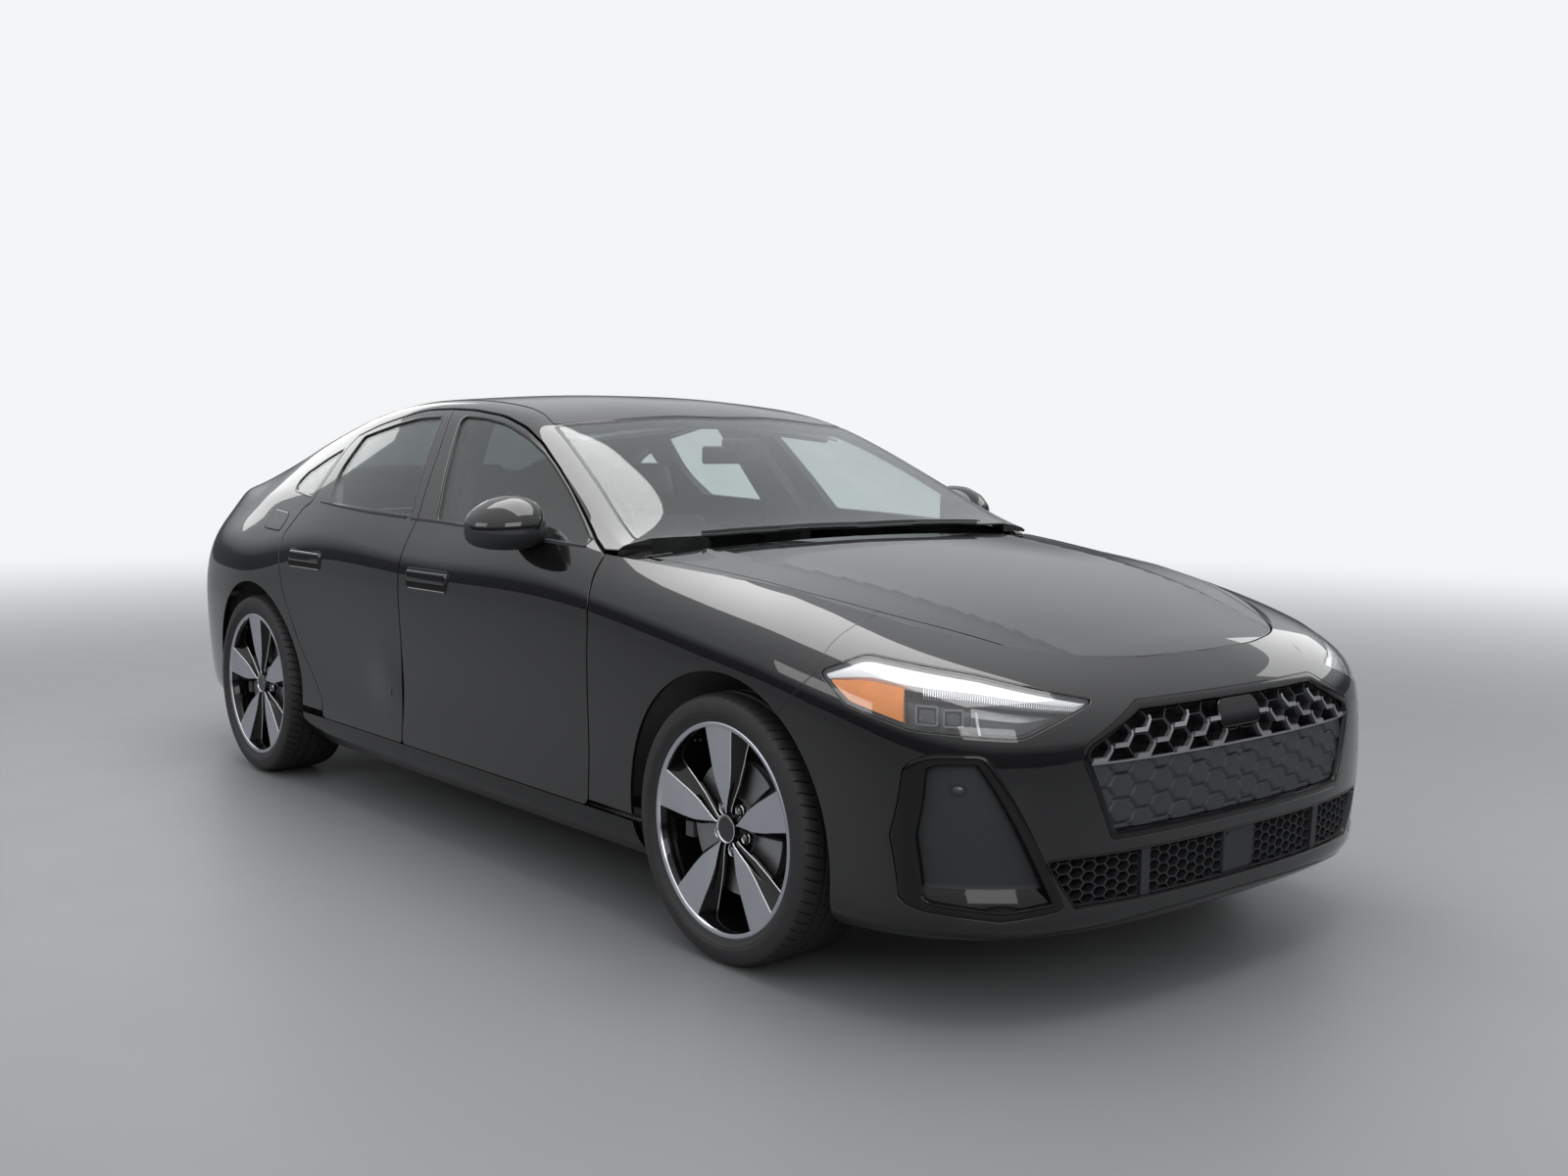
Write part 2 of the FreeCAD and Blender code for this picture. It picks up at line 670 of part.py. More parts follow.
def box(x_range, y_range, z_range):
    """An upright box between two places on each axis."""
    return Part.makeBox(x_range[1] - x_range[0], y_range[1] - y_range[0], z_range[1] - z_range[0],
                        Vector(x_range[0], y_range[0], z_range[0]))


def clean(shape):
    """The solids of a boolean result, largest first, without slivers."""
    solids = sorted(shape.Solids, key=lambda solid: -solid.Volume)
    kept = [solid for solid in solids if solid.Volume > solids[0].Volume * sliver_share]
    return kept[0] if len(kept) == 1 else Part.makeCompound(kept)


sliver_share = .002
pieces = {}


def add(name, shape, place=Vector(0, 0, 0)):
    """Keep a sub-part as an object of the document, at a place."""
    part = doc.addObject("Part::Feature", name)
    part.Label = name
    part.Shape = shape
    part.Placement = FreeCAD.Placement(place, FreeCAD.Rotation())
    pieces[name] = part


def add_twins(name, *shapes):
    """Keep left-hand solids and their right-hand twins as one sub-part."""
    add(name, Part.makeCompound([solid for shape in shapes for solid in (shape, mirrored(shape))]))


def add_pair(name, shape):
    """Keep a left-hand sub-part and its right-hand twin."""
    add(name + "_left", shape)
    add(name + "_right", mirrored(shape))

# Rows of the two side surfaces, as their second parameter
ring_top = ring_surface.bounds()[3]
side_top = side_surface.bounds()[3]
upper_across = upper_surface.bounds()[3]
skirt_v = .12
sill_v = .9
tuck_v = 1.7
shoulder_v = 6
belt_v = 8

# Outlines: side views as shares of the wheelbase behind the front axle and of the height,
# plans with shares of the half width, each point with its corner radius as a share of the height
pillar_line_shares = [
    (.5949, .1960, .014), (.5949, .2195, .139), (.5825, .4848, .623), (.5797, .6163, .277),
    (.5749, .7105, .042), (.6060, .8740, .623), (.6319, .9564, .003),
]
front_door_shares = [
    (.2097, .1960, .021), (.1969, .5623, .277), (.2025, .6759, .008), (.2073, .6814, .004),
    (.2315, .7015, .042), (.2910, .7639, .623), (.3543, .8283, .485), (.4099, .8802, .416),
    (.4580, .9148, .416), (.5137, .9398, .554), (.5807, .9529, .623),
] + pillar_line_shares[::-1]
rear_door_shares = pillar_line_shares + [
    (.6959, .9550, .623), (.7439, .9391, .623), (.8034, .9169, .623), (.8522, .8906, .010),
    (.8626, .8657, .014), (.8632, .7258, .021), (.8830, .7078, .014), (.9120, .6399, .042),
    (.9103, .5949, .083), (.8964, .4917, .277), (.8615, .3580, .208), (.8072, .2389, .042),
    (.8072, .1960, .017),
]
front_glass_shares = [
    (.2291, .6911, .004), (.2837, .7493, .623), (.3207, .7888, .623), (.3653, .8324, .416),
    (.3989, .8622, .346), (.4469, .8954, .346), (.4991, .9217, .485), (.5472, .9342, .623),
    (.5991, .9391, .010), (.5323, .7105, .007), (.4269, .7057, .623),
]
rear_glass_shares = [
    (.6437, .9377, .011), (.6993, .9342, .485), (.7516, .9190, .554), (.7924, .9037, .623),
    (.8300, .8892, .010), (.8342, .7922, .139), (.8045, .7271, .007), (.5918, .7147, .007),
]
quarter_glass_shares = [
    (.8722, .8587, .007), (.9075, .8345, .346), (.9504, .7936, .011), (.9594, .7652, .021),
    (.9445, .7493, .028), (.8850, .7396, .139), (.8722, .7382, .007),
]
windscreen_shares = [
    (.1634, 0, .623), (.1668, .3226, .623), (.1779, .6022, .623), (.1983, .8204, .008),
    (.2353, .7946, .416), (.2875, .7527, .485), (.3394, .7151, .485), (.3913, .6774, .416),
    (.4276, .6516, .007), (.4165, .4516, .623), (.4040, 0, .623),
]
roof_shares = [
    (.4061, 0, .623), (.4186, .4516, .623), (.4303, .6452, .008), (.4729, .6086, .346),
    (.5026, .5978, .346), (.6343, .5860, .623), (.7726, .5806, .623), (.8522, .5892, .008),
    (.8510, .3226, .623), (.8500, 0, .623),
]
gate_plan_shares = [
    (.8500, 0, .623), (.8510, .3226, .623), (.8522, .5892, .008), (.9800, .6150, .623),
    (1.1010, .6450, .623), (1.1880, .6560, .623), (1.2500, .6340, .416), (1.2880, .5700, .139),
    (1.3050, .5376, .020), (1.3700, .5376, .008), (1.3700, 0, 0),
]
lip_shares = [(1.3130, .5800), (1.3210, .4700), (1.3300, .3550), (1.3370, .2100), (1.3390, 0)]
gate_face_shares = [(0, .5340, 0), (.5376, .5340, .008), (.5376, .7600, 0), (0, .7600, 0)]
gate_glass_shares = [
    (.8750, 0, .623), (.8760, .3226, .623), (.8790, .5300, .035), (.9800, .5560, .623),
    (1.0800, .5800, .623), (1.1700, .5850, .035), (1.1790, .3226, .623), (1.1810, 0, .623),
]
bonnet_plan_shares = [
    (.1551, 0, .623), (.1572, .4301, .623), (.1620, .6989, .416), (.1672, .8450, .010),
    (.1500, .8290, .346), (.0800, .7880, .623), (-.0290, .7580, .623), (-.1091, .6900, .623),
    (-.1575, .6129, .623), (-.2128, .5247, .416), (-.2388, .4086, .277), (-.2540, .2366, .346),
    (-.2585, 0, .623),
]
grille_shares = [(0, .2865, 0), (.4946, .2865, .020), (.5914, .4328, .030), (.3785, .4965, .030), (0, .4965, 0)]
lower_mesh_shares = [(0, .1840, 0), (.5900, .1840, .010), (.6850, .2680, .010), (0, .2680, 0)]
air_curtain_shares = [
    (.6150, .1850, .010), (.7600, .1720, .020), (.9120, .1860, .030), (.9330, .3000, .040),
    (.9180, .4280, .035), (.8000, .4310, .015)]
tail_lamp_shares = [(.5430, .6010, .004), (.8300, .6080, .010), (.8700, .6450, .012), (.5430, .6560, .004)]
gate_lamp_shares = [(0, .6080, 0), (.5320, .6010, .004), (.5320, .6560, .004), (0, .6530, 0)]
plate_shares = [(0, .3750, 0), (.2820, .3750, .006), (.2820, .4530, .006), (0, .4530, 0)]
diffuser_shares = [(0, .1400, 0), (.6200, .1400, .010), (.6800, .2350, .030), (0, .2450, 0)]
fender_joint_shares = [(-.0987, .6400), (-.1160, .5346), (-.0783, .4564)]
rear_joint_shares = [(1.0880, .4439), (1.2290, .5340)]
screen_side_pillar_share = .1935
pillar_foot_share = .6863
door_sill_share = .1960


def side_place(share_pair):
    """A side-view place in millimetres."""
    return (front_axle - share_pair[0] * size.wheelbase, share_pair[1] * size.height)


over = size.cut_overrun
top_z = size.height + over
front_door_outline = side_outline(front_door_shares)
rear_door_outline = side_outline(rear_door_shares)
sill_z = door_sill_share * size.height
half_shut = size.shut_gap / 2
half_joint = size.joint_gap / 2
half_lid = size.lid_gap / 2


def arch_tool(axle, radius):
    """A wheel arch's cutting cylinder on the left side, open downwards."""
    start = Vector(axle, floor_edge, axle_height)
    reach = half_width + over - floor_edge
    round_part = Part.makeCylinder(radius, reach, start, Vector(0, 1, 0))
    return round_part


floor_edge = size.floor_half_width - over * 2


def door_depth_at(v):
    """Thickness of a door over its rows: whole below the belt, thin beside the glass."""
    share = min(max((v - shoulder_v - 1) / 2, 0), 1)
    return size.door_depth + (size.frame_depth - size.door_depth) * share


# Doors
door_v = (tuck_v - 1, side_top)
front_door_slab = slab(side_surface, (side_u(12), side_u(25)), door_v, door_depth_at)
rear_door_slab = slab(side_surface, (side_u(19), side_u(31)), door_v, door_depth_at)
front_door = front_door_slab.common(side_prism(inset_outline(front_door_outline, half_shut)))
front_door = front_door.cut(side_prism(side_outline(front_glass_shares)))
rear_door = rear_door_slab.common(side_prism(inset_outline(rear_door_outline, half_shut)))
rear_door = rear_door.cut([side_prism(side_outline(rear_glass_shares)),
                           arch_tool(rear_axle, arch_radius + half_shut)])


def pane(surface, u_range, v_range, tool, sink):
    """A sheet of glass under a surface, cut by its opening's block."""
    return clean(slab(surface, u_range, v_range, size.glass_depth, sink).common(tool))


def glass_tool(shares):
    """The block of a side window, less its seat gap."""
    return side_prism(inset_outline(side_outline(shares), size.joint_gap))


glass_v = (belt_v - 1, side_top)
front_glass = pane(side_surface, (side_u(12), side_u(25)), glass_v,
                   glass_tool(front_glass_shares), size.pane_inset)
rear_glass = pane(side_surface, (side_u(19), side_u(31)), glass_v,
                  glass_tool(rear_glass_shares), size.pane_inset)
quarter_glass = pane(side_surface, (side_u(22), side_u(34)), glass_v,
                     glass_tool(quarter_glass_shares), size.pane_inset / 2)

# Body sides: front pillar, rail, rear pillar and quarter in one panel
side_slab = slab(side_surface, (side_u(12), side_u(37)), (sill_v, side_top), size.side_depth)
pillar_x = front_axle - screen_side_pillar_share * size.wheelbase
foot_z = pillar_foot_share * size.height
inside_door_x = front_door_outline[0][0] - over
tail_x = -half_length - over
keep_side = [(pillar_x, top_z, 0), (pillar_x, foot_z, 0), (inside_door_x, foot_z, 0),
             (inside_door_x, sill_z, 0), (tail_x, sill_z, 0), (tail_x, top_z, 0)]
rear_joint = [side_place(pair) for pair in rear_joint_shares]
bumper_side = [(rear_axle, axle_height, 0), rear_joint[0] + (0,), rear_joint[1] + (over / 2,),
               (tail_x, rear_joint[1][1], 0), (tail_x, 0, 0), (rear_axle, 0, 0)]
gate_outline = both_ways(plan_outline(gate_plan_shares))
roof_outline = both_ways(plan_outline(roof_shares))
windscreen_outline = both_ways(plan_outline(windscreen_shares))
gate_face_outline = both_ways_front(front_outline(gate_face_shares))
tail_front = rear_axle - rear_overhang * tail_sweep_shares[6][0]
gate_low_share = .66
gate_low = size.height * gate_low_share
side_cuts = [
    side_prism(inset_outline(front_door_outline, -half_shut)),
    side_prism(inset_outline(rear_door_outline, -half_shut)),
    side_prism(side_outline(quarter_glass_shares)),
    arch_tool(rear_axle, arch_radius),
    side_prism(inset_outline(bumper_side, -half_joint)),
    plan_prism(windscreen_outline, gate_low, top_z),
    plan_prism(roof_outline, gate_low, top_z),
    plan_prism(inset_outline(gate_outline, -half_lid), gate_low, top_z),
    front_prism(inset_outline(gate_face_outline, -half_lid), tail_x, tail_front),
    front_prism(front_outline(tail_lamp_shares), tail_x, tail_front),
]
body_side = clean(side_slab.common(side_prism(keep_side)).cut(side_cuts))



def lid_hinge(x, y, z, fixed_leaf, lid_leaf):
    """Plates of the fixed side, knuckle of the lid and the room the plates need in the lid.

    A leaf is a pair of ranges along the car and up, from the pin's middle."""
    radius = size.lid_pin
    half = size.lid_hinge_width / 2
    clear = size.pin_clearance
    plates = []
    rooms = []
    for low in (half + clear, -half - clear - size.lid_hinge_plate):
        across_range = (low, low + size.lid_hinge_plate)
        barrel = Part.makeCylinder(radius, size.lid_hinge_plate, Vector(0, low, 0), Vector(0, 1, 0))
        plates.append(barrel.fuse(box(fixed_leaf[0], across_range, fixed_leaf[1])))
        rooms.append(box((-radius * 2, radius * 2), (low - clear, low + size.lid_hinge_plate + clear),
                         (-radius * 4, radius * 3)))
    knuckle = Part.makeCylinder(radius, half * 2, Vector(0, -half, 0), Vector(0, 1, 0))
    knuckle = knuckle.fuse(box(lid_leaf[0], (-half, half), lid_leaf[1]))
    result = []
    for shape in (plates[0].fuse(plates[1]), knuckle, rooms[0].fuse(rooms[1])):
        shape.translate(Vector(x, y, z))
        result.append(shape)
    return result


gate_pin_share = .74
gate_hinge_y_share = .19
leaf_top_share = .4

# Roof, windscreen and tailgate
roof_x = (front_axle - roof_shares[0][0] * size.wheelbase + over,
          front_axle - roof_shares[-3][0] * size.wheelbase - over)
roof = slab(upper_surface, (upper_u(roof_x[0]), upper_u(roof_x[1])), (2, upper_across - 2),
            size.roof_depth)
roof = clean(roof.common(plan_prism(inset_outline(roof_outline, half_joint), gate_low, top_z)))
screen_x = (front_axle - windscreen_shares[0][0] * size.wheelbase + over,
            front_axle - windscreen_shares[-3][0] * size.wheelbase - over)
screen_edge_v = .4
screen_v = (screen_edge_v, upper_across - screen_edge_v)
windscreen = pane(upper_surface, (upper_u(screen_x[0]), upper_u(screen_x[1])), screen_v,
                  plan_prism(inset_outline(windscreen_outline, size.joint_gap), gate_low, top_z), 0)
gate_x = (roof_x[1] + over * 2, -half_length)
gate_glass_outline = both_ways(plan_outline(gate_glass_shares))
gate_top = slab(upper_surface, (upper_u(gate_x[0]), upper_u(gate_x[1] - over / 3)),
                (.6, upper_across - .6), size.gate_depth)
gate_edge_x = front_axle - gate_plan_shares[0][0] * size.wheelbase
lip_outline = [(gate_edge_x - size.roof_gap + half_joint, -half_width, 0)]
lip_outline += [(front_axle - x * size.wheelbase - size.lip_reach, y * half_width, 0)
                for x, y in both_ways_pairs(lip_shares)]
lip_outline += [(gate_edge_x - size.roof_gap + half_joint, half_width, 0)]
gate_top = gate_top.common(plan_prism(inset_outline(gate_outline, half_lid), gate_low, top_z))
gate_top = gate_top.common(plan_prism(lip_outline, gate_low, top_z))
gate_top = gate_top.cut(plan_prism(gate_glass_outline, gate_low, top_z))
tail_ring = (ring_u(last_station - 8), ring_u(last_station + 8))
gate_face = slab(ring_surface, tail_ring, (4, ring_top), size.gate_depth)
gate_face_top_share = .719
gate_face_top = size.height * gate_face_top_share
face_outline = [(a, min(b, gate_face_top), r) for a, b, r in inset_outline(gate_face_outline, half_lid)]
gate_face = gate_face.common(front_prism(face_outline, tail_x, tail_front))
gate_lamp_outline = both_ways_front(front_outline(gate_lamp_shares))
gate_face = gate_face.cut(front_prism(gate_lamp_outline, tail_x, tail_front))
gate_glass = pane(upper_surface, (upper_u(gate_x[0]), upper_u(gate_x[1])), (2, upper_across - 2),
                  plan_prism(inset_outline(gate_glass_outline, size.joint_gap), gate_low, top_z), 0)
gate_hinge_x = gate_edge_x - size.roof_gap * gate_pin_share
gate_hinge_z = size.height * through(crown_place_shares, crown_height_shares,
                                     (front_axle - gate_hinge_x) / size.wheelbase) - size.lid_pin
leaf_rise = (-size.lid_pin * 2, size.lid_pin * leaf_top_share)
gate_hinges = [lid_hinge(gate_hinge_x, side * gate_hinge_y_share * half_width, gate_hinge_z,
                         ((0, size.roof_gap), leaf_rise), ((-size.roof_gap, 0), leaf_rise))
               for side in (1, -1)]
tailgate = gate_top.fuse(gate_face).cut([parts[2] for parts in gate_hinges])
tailgate = clean(tailgate.fuse([parts[1] for parts in gate_hinges]))
roof = clean(roof.fuse([parts[0] for parts in gate_hinges]))


def tail_lamp_piece(outline, sink):
    """A lamp glass in the tail's skin."""
    tool = front_prism(inset_outline(outline, size.joint_gap), tail_x, tail_front)
    return slab(ring_surface, tail_ring, (4, ring_top), size.tail_lamp_depth, sink).common(tool)


tailgate_lamp = clean(tail_lamp_piece(gate_lamp_outline, size.lamp_inset))
tail_lamp = slab(side_surface, (side_u(27), side_u(37)), (4, belt_v + 1), size.tail_lamp_depth,
                 size.lamp_inset)
tail_lamp = clean(tail_lamp.common(
    front_prism(inset_outline(front_outline(tail_lamp_shares), size.joint_gap), tail_x, tail_front)))

# Front fenders, from the bumper's joint to the front doors
fender_joint = [side_place(pair) for pair in fender_joint_shares]
bumper_front_side = [(front_axle, axle_height, 0), fender_joint[2] + (0,), fender_joint[1] + (over / 3,),
                     fender_joint[0] + (0,), (fender_joint[0][0], top_z, 0),
                     (half_length + over, top_z, 0), (half_length + over, 0, 0), (front_axle, 0, 0)]
fender_keep = [(inside_door_x, sill_z, 0), (half_length, sill_z, 0), (half_length, top_z, 0),
               (inside_door_x, top_z, 0)]
lamp_turn_degrees = 48
lamp_turn = math.radians(lamp_turn_degrees)


def lamp_prism(outline, gap=0):
    """The block of a headlamp: its outline runs along the corner and up, seen from outside it."""
    outline = inset_outline(outline, gap)
    outward = Vector(math.cos(lamp_turn), math.sin(lamp_turn), 0)
    along = Vector(-math.sin(lamp_turn), math.cos(lamp_turn), 0)
    base = Vector(lamp_base_x, lamp_base_y, 0) - outward * (over * 4)
    face = face_of(outline, lambda a, b: base + along * a + Vector(0, 0, b))
    return face.extrude(outward * (over * 9))


# The headlamp's outline starts at its inner tip; lengths along the corner are shares of the
# overhang, heights shares of the height
headlamp_shares = [
    (0, .5010, .004), (.1800, .4520, .040), (.4630, .4620, .050), (.6280, .4900, .010),
    (.7110, .5350, .008), (.5870, .5640, .060), (.3000, .5400, .200),
]
lamp_base_x_share = .9097
lamp_base_y_share = .5054
lamp_base_x = front_axle + size.front_overhang * lamp_base_x_share
lamp_base_y = half_width * lamp_base_y_share
headlamp_outline = [(along * size.front_overhang, z * size.height, radius * size.height)
                    for along, z, radius in headlamp_shares]
fender_slab = slab(ring_surface, (ring_u(6), ring_u(15)), (sill_v, ring_top), size.fender_depth)
bonnet_outline = both_ways(plan_outline(bonnet_plan_shares))
bonnet_low_share = .4
bonnet_low = size.height * bonnet_low_share
bonnet_tool = plan_prism(inset_outline(bonnet_outline, -half_lid), bonnet_low, top_z)

# Beside the bonnet, fender and bumper run on inwards in the bonnet's surface
strip_first_station = 4
strip_last_station = 13
strip_front_share = .35
strip_rear_share = .80
body_edge = [ring_surface.value(ring_u(k / 2), ring_top)
             for k in range(2 * strip_first_station, 2 * strip_last_station + 1)]
strip_outline = [(point.x, point.y, 0) for point in body_edge]
strip_outline += [(body_edge[-1].x, half_width * strip_rear_share, 0),
                  (front_axle, half_width * strip_front_share, 0),
                  (body_edge[0].x, half_width * strip_front_share, 0)]
strip_outline = inset_outline(strip_outline, -size.seat_gap / 2)
screen_tool = plan_prism(inset_outline(windscreen_outline, -half_joint), gate_low, top_z)
strip = slab(bonnet_surface, (0, bonnet_stations), (0, bonnet_rows), size.fender_depth)
strip = clean(strip.common(plan_prism(strip_outline, bonnet_low, top_z)).cut([bonnet_tool, screen_tool]))
fender_tools = [
    side_prism(inset_outline(front_door_outline, -half_shut)),
    side_prism(inset_outline(bumper_front_side, -half_joint)),
    arch_tool(front_axle, arch_radius),
    lamp_prism(headlamp_outline),
    bonnet_tool,
]
fender = clean(fender_slab.fuse(strip).common(side_prism(fender_keep)).cut(fender_tools))

# Bonnet
bonnet = slab(bonnet_surface, (0, bonnet_stations), (0, bonnet_rows), size.bonnet_depth)
bonnet = clean(bonnet.common(plan_prism(inset_outline(bonnet_outline, half_lid), bonnet_low, top_z)))

# Front bumper with its openings
nose_wrap = (ring_u(-13), ring_u(13))
nose_x = half_length + over
nose_rear = front_axle + arch_radius
bumper_region = side_prism(inset_outline(bumper_front_side, half_joint), -nose_x, nose_x)
bumper_slab = slab(ring_surface, nose_wrap, (0, ring_top), size.bumper_depth)
grille_outline = both_ways_front(front_outline(grille_shares))
mesh_outline = both_ways_front(front_outline(lower_mesh_shares))
curtain_outline = front_outline(air_curtain_shares)
curtain_tool = front_prism(curtain_outline, nose_rear, nose_x)
lamp_tool = lamp_prism(headlamp_outline)
arch_front = arch_tool(front_axle, arch_radius)
bumper_strip = clean(strip.common(bumper_region))
bumper_body = clean(bumper_slab.common(bumper_region)).fuse([bumper_strip, mirrored(bumper_strip)])
front_bumper = clean(bumper_body.cut([
    front_prism(grille_outline, nose_rear, nose_x),
    front_prism(mesh_outline, nose_rear, nose_x),
    curtain_tool, mirrored(curtain_tool), lamp_tool, mirrored(lamp_tool),
    arch_front, mirrored(arch_front), bonnet_tool,
]))
headlamp = slab(ring_surface, (ring_u(1), ring_u(14)), (tuck_v, ring_top), size.lamp_depth,
                size.lamp_inset)
headlamp = clean(headlamp.common(lamp_prism(headlamp_outline, size.joint_gap)))

# Grille: a honeycomb plate across the big opening, and the lower grille below it
def hexagon(centre_y, centre_z, width):
    """A pointed-sideways six-sided opening's outline."""
    reach = width / 2
    rise = reach * math.sqrt(3) / 2
    return [(centre_y + reach, centre_z, 0), (centre_y + reach / 2, centre_z + rise, 0),
            (centre_y - reach / 2, centre_z + rise, 0), (centre_y - reach, centre_z, 0),
            (centre_y - reach / 2, centre_z - rise, 0), (centre_y + reach / 2, centre_z - rise, 0)]


cell_pitch_share = .75
cell_reach_share = .6


def honeycomb_tools(outline, width, wall, rear):
    """Six-sided tools that lie whole inside an outline's box, in staggered columns."""
    low_z = min(point[1] for point in outline)
    high_z = max(point[1] for point in outline)
    reach_y = max(point[0] for point in outline)
    pitch = (width * cell_pitch_share + wall)
    rise = width * math.sqrt(3) / 2 + wall
    tools = []
    column = -int(reach_y / pitch) - 1
    while column * pitch < reach_y + pitch:
        row = 0
        while low_z + row * rise < high_z + rise:
            z = low_z + (row + (.5 if column % 2 else 0)) * rise
            y = column * pitch
            if inside(outline, y, z, width * cell_reach_share):
                tools.append(front_prism(hexagon(y, z, width), rear, nose_x))
            row += 1
        column += 1
    return tools


def inside(outline, y, z, margin):
    """Whether a place lies within an outline by a margin."""
    shrunk = inset_outline([(a, b, 0) for a, b, _ in outline], margin)
    count = len(shrunk)
    within = False
    for k in range(count):
        first = shrunk[k - 1]
        second = shrunk[k]
        if (first[1] > z) != (second[1] > z):
            crossing = first[0] + (second[0] - first[0]) * (z - first[1]) / (second[1] - first[1])
            if y < crossing:
                within = not within
    return within


grille_slab = slab(ring_surface, (ring_u(-8), ring_u(8)), (0, ring_top), size.grille_depth,
                   size.bumper_depth + size.joint_gap)
grille_rim = inset_outline(grille_outline, -size.bumper_depth)
mesh_rim = inset_outline(mesh_outline, -size.bumper_depth / 2)
grille_plate = grille_slab.common(front_prism(grille_rim, nose_rear, nose_x))
grille = clean(grille_plate.cut(honeycomb_tools(grille_outline, size.cell_width, size.cell_wall, nose_rear)))
mesh_plate = grille_slab.common(front_prism(mesh_rim, nose_rear, nose_x))
mesh_plate = mesh_plate.cut(front_prism(grille_rim, nose_rear, nose_x))
lower_grille = clean(mesh_plate.cut(
    honeycomb_tools(mesh_outline, size.mesh_width, size.mesh_wall, nose_rear)))

# Rear bumper, diffuser and number plate
rear_wrap = (ring_u(last_station - 13), ring_u(last_station + 13))
rear_region_points = inset_outline(bumper_side, half_joint)
rear_region = side_prism(rear_region_points, -nose_x, nose_x)
rear_slab = slab(ring_surface, rear_wrap, (0, ring_top), size.bumper_depth)
diffuser_outline = both_ways_front(front_outline(diffuser_shares))
plate_outline = both_ways_front(front_outline(plate_shares))
arch_rear = arch_tool(rear_axle, arch_radius)
rear_bumper = clean(rear_slab.common(rear_region).cut([
    front_prism(diffuser_outline, tail_x, tail_front), front_prism(plate_outline, tail_x, tail_front),
    arch_rear, mirrored(arch_rear)]))
number_plate = slab(ring_surface, tail_ring, (tuck_v, ring_top), size.plate_depth, size.plate_inset)
number_plate = clean(number_plate.common(
    front_prism(inset_outline(plate_outline, size.joint_gap), tail_x, tail_front)))
diffuser = slab(ring_surface, tail_ring, (0, tuck_v + 1), size.bumper_depth)
diffuser = clean(diffuser.common(
    front_prism(inset_outline(diffuser_outline, size.joint_gap), tail_x, tail_front)))

# Side skirts below the doors
skirt_slab = slab(ring_surface, (ring_u(12), ring_u(28)), (0, tuck_v), size.skirt_depth)
skirt_region = [(front_axle, 0, 0), (front_axle, sill_z - size.joint_gap, 0),
                (rear_axle, sill_z - size.joint_gap, 0), (rear_axle, 0, 0)]
skirt = clean(skirt_slab.common(side_prism(skirt_region)).cut([
    arch_tool(front_axle, arch_radius), arch_tool(rear_axle, arch_radius)]))

# Platform: floor, tunnel, sill boxes, chassis rails and boot floor in one shell
tail_wall_share = .84
tail_wall_top_share = .50
seat_wall_share = .42
sill_outer_share = .905
bench_rest_share = .9
floor_top = size.floor_height + size.floor_depth
liner_radius = arch_radius + size.liner_gap
arch_front_x = front_axle - liner_radius - size.liner_depth - size.wall_depth
arch_rear_x = rear_axle + arch_radius + size.wall_depth
dash_wall_x = arch_front_x - size.wall_depth
tail_wall_x = rear_axle - rear_overhang * tail_wall_share
boot_top = size.boot_floor_height + size.floor_depth
seat_wall_x = rear_axle + arch_radius * seat_wall_share
sill_outer = half_width * sill_outer_share - size.skirt_depth - size.tub_gap
sill_top = size.floor_height + size.sill_height
inner_arch_y = size.track_width / 2 - size.tyre_width / 2 - size.arch_gap
rail_y = size.rail_spacing / 2
rail_inner = rail_y - size.rail_width / 2
rail_outer = rail_y + size.rail_width / 2
rail_low = size.boot_floor_height - size.rail_height
pipe_z = size.floor_height + size.exhaust_radius
silencer_x = rear_axle - size.tyre_radius - size.silencer_radius
silencer_z = pipe_z + size.silencer_radius - size.exhaust_radius
floor = box((arch_rear_x, dash_wall_x), (-sill_outer, sill_outer), (size.floor_height, floor_top))
rear_floor = box((seat_wall_x, arch_rear_x), (-inner_arch_y, inner_arch_y), (size.floor_height, floor_top))
tunnel = box((seat_wall_x, dash_wall_x), (-size.tunnel_half_width, size.tunnel_half_width),
             (size.floor_height, floor_top + size.tunnel_height))
tunnel_hollow = box((seat_wall_x - over, dash_wall_x + over),
                    (-size.tunnel_half_width + size.wall_depth, size.tunnel_half_width - size.wall_depth),
                    (0, floor_top + size.tunnel_height - size.wall_depth))
sill_box = box((arch_rear_x, arch_front_x), (sill_outer - size.sill_width, sill_outer),
               (size.floor_height, sill_top))
boot_floor = box((tail_wall_x, seat_wall_x + size.wall_depth), (-inner_arch_y, inner_arch_y),
                 (size.boot_floor_height, boot_top))
seat_riser = box((seat_wall_x, seat_wall_x + size.wall_depth), (-inner_arch_y, inner_arch_y),
                 (size.floor_height, boot_top))
bench_x = seat_wall_x + size.wall_depth + size.seat_gap
bench_rest = box((seat_wall_x, bench_x + size.bench_length * bench_rest_share),
                 (size.tunnel_half_width, size.bench_width / 2),
                 (floor_top, size.bench_base_height - size.joint_gap))
rear_rail = box((tail_wall_x, seat_wall_x), (rail_inner, rail_outer), (rail_low, size.boot_floor_height))
hanger = box((silencer_x - size.exhaust_radius, silencer_x + size.exhaust_radius),
             (size.tunnel_half_width, size.tunnel_half_width + size.exhaust_radius),
             (silencer_z + size.silencer_radius + size.joint_gap, size.boot_floor_height))
tail_wall = box((tail_wall_x - size.wall_depth, tail_wall_x), (-inner_arch_y, inner_arch_y),
                (rail_low, size.height * tail_wall_top_share))
rocker = box((arch_rear_x, arch_front_x), (sill_outer, half_width),
             (sill_top - size.floor_depth, sill_top - size.tub_gap))
rocker_room = slab(ring_surface, (ring_u(12), ring_u(28)), (0, tuck_v), size.skirt_depth + size.joint_gap)
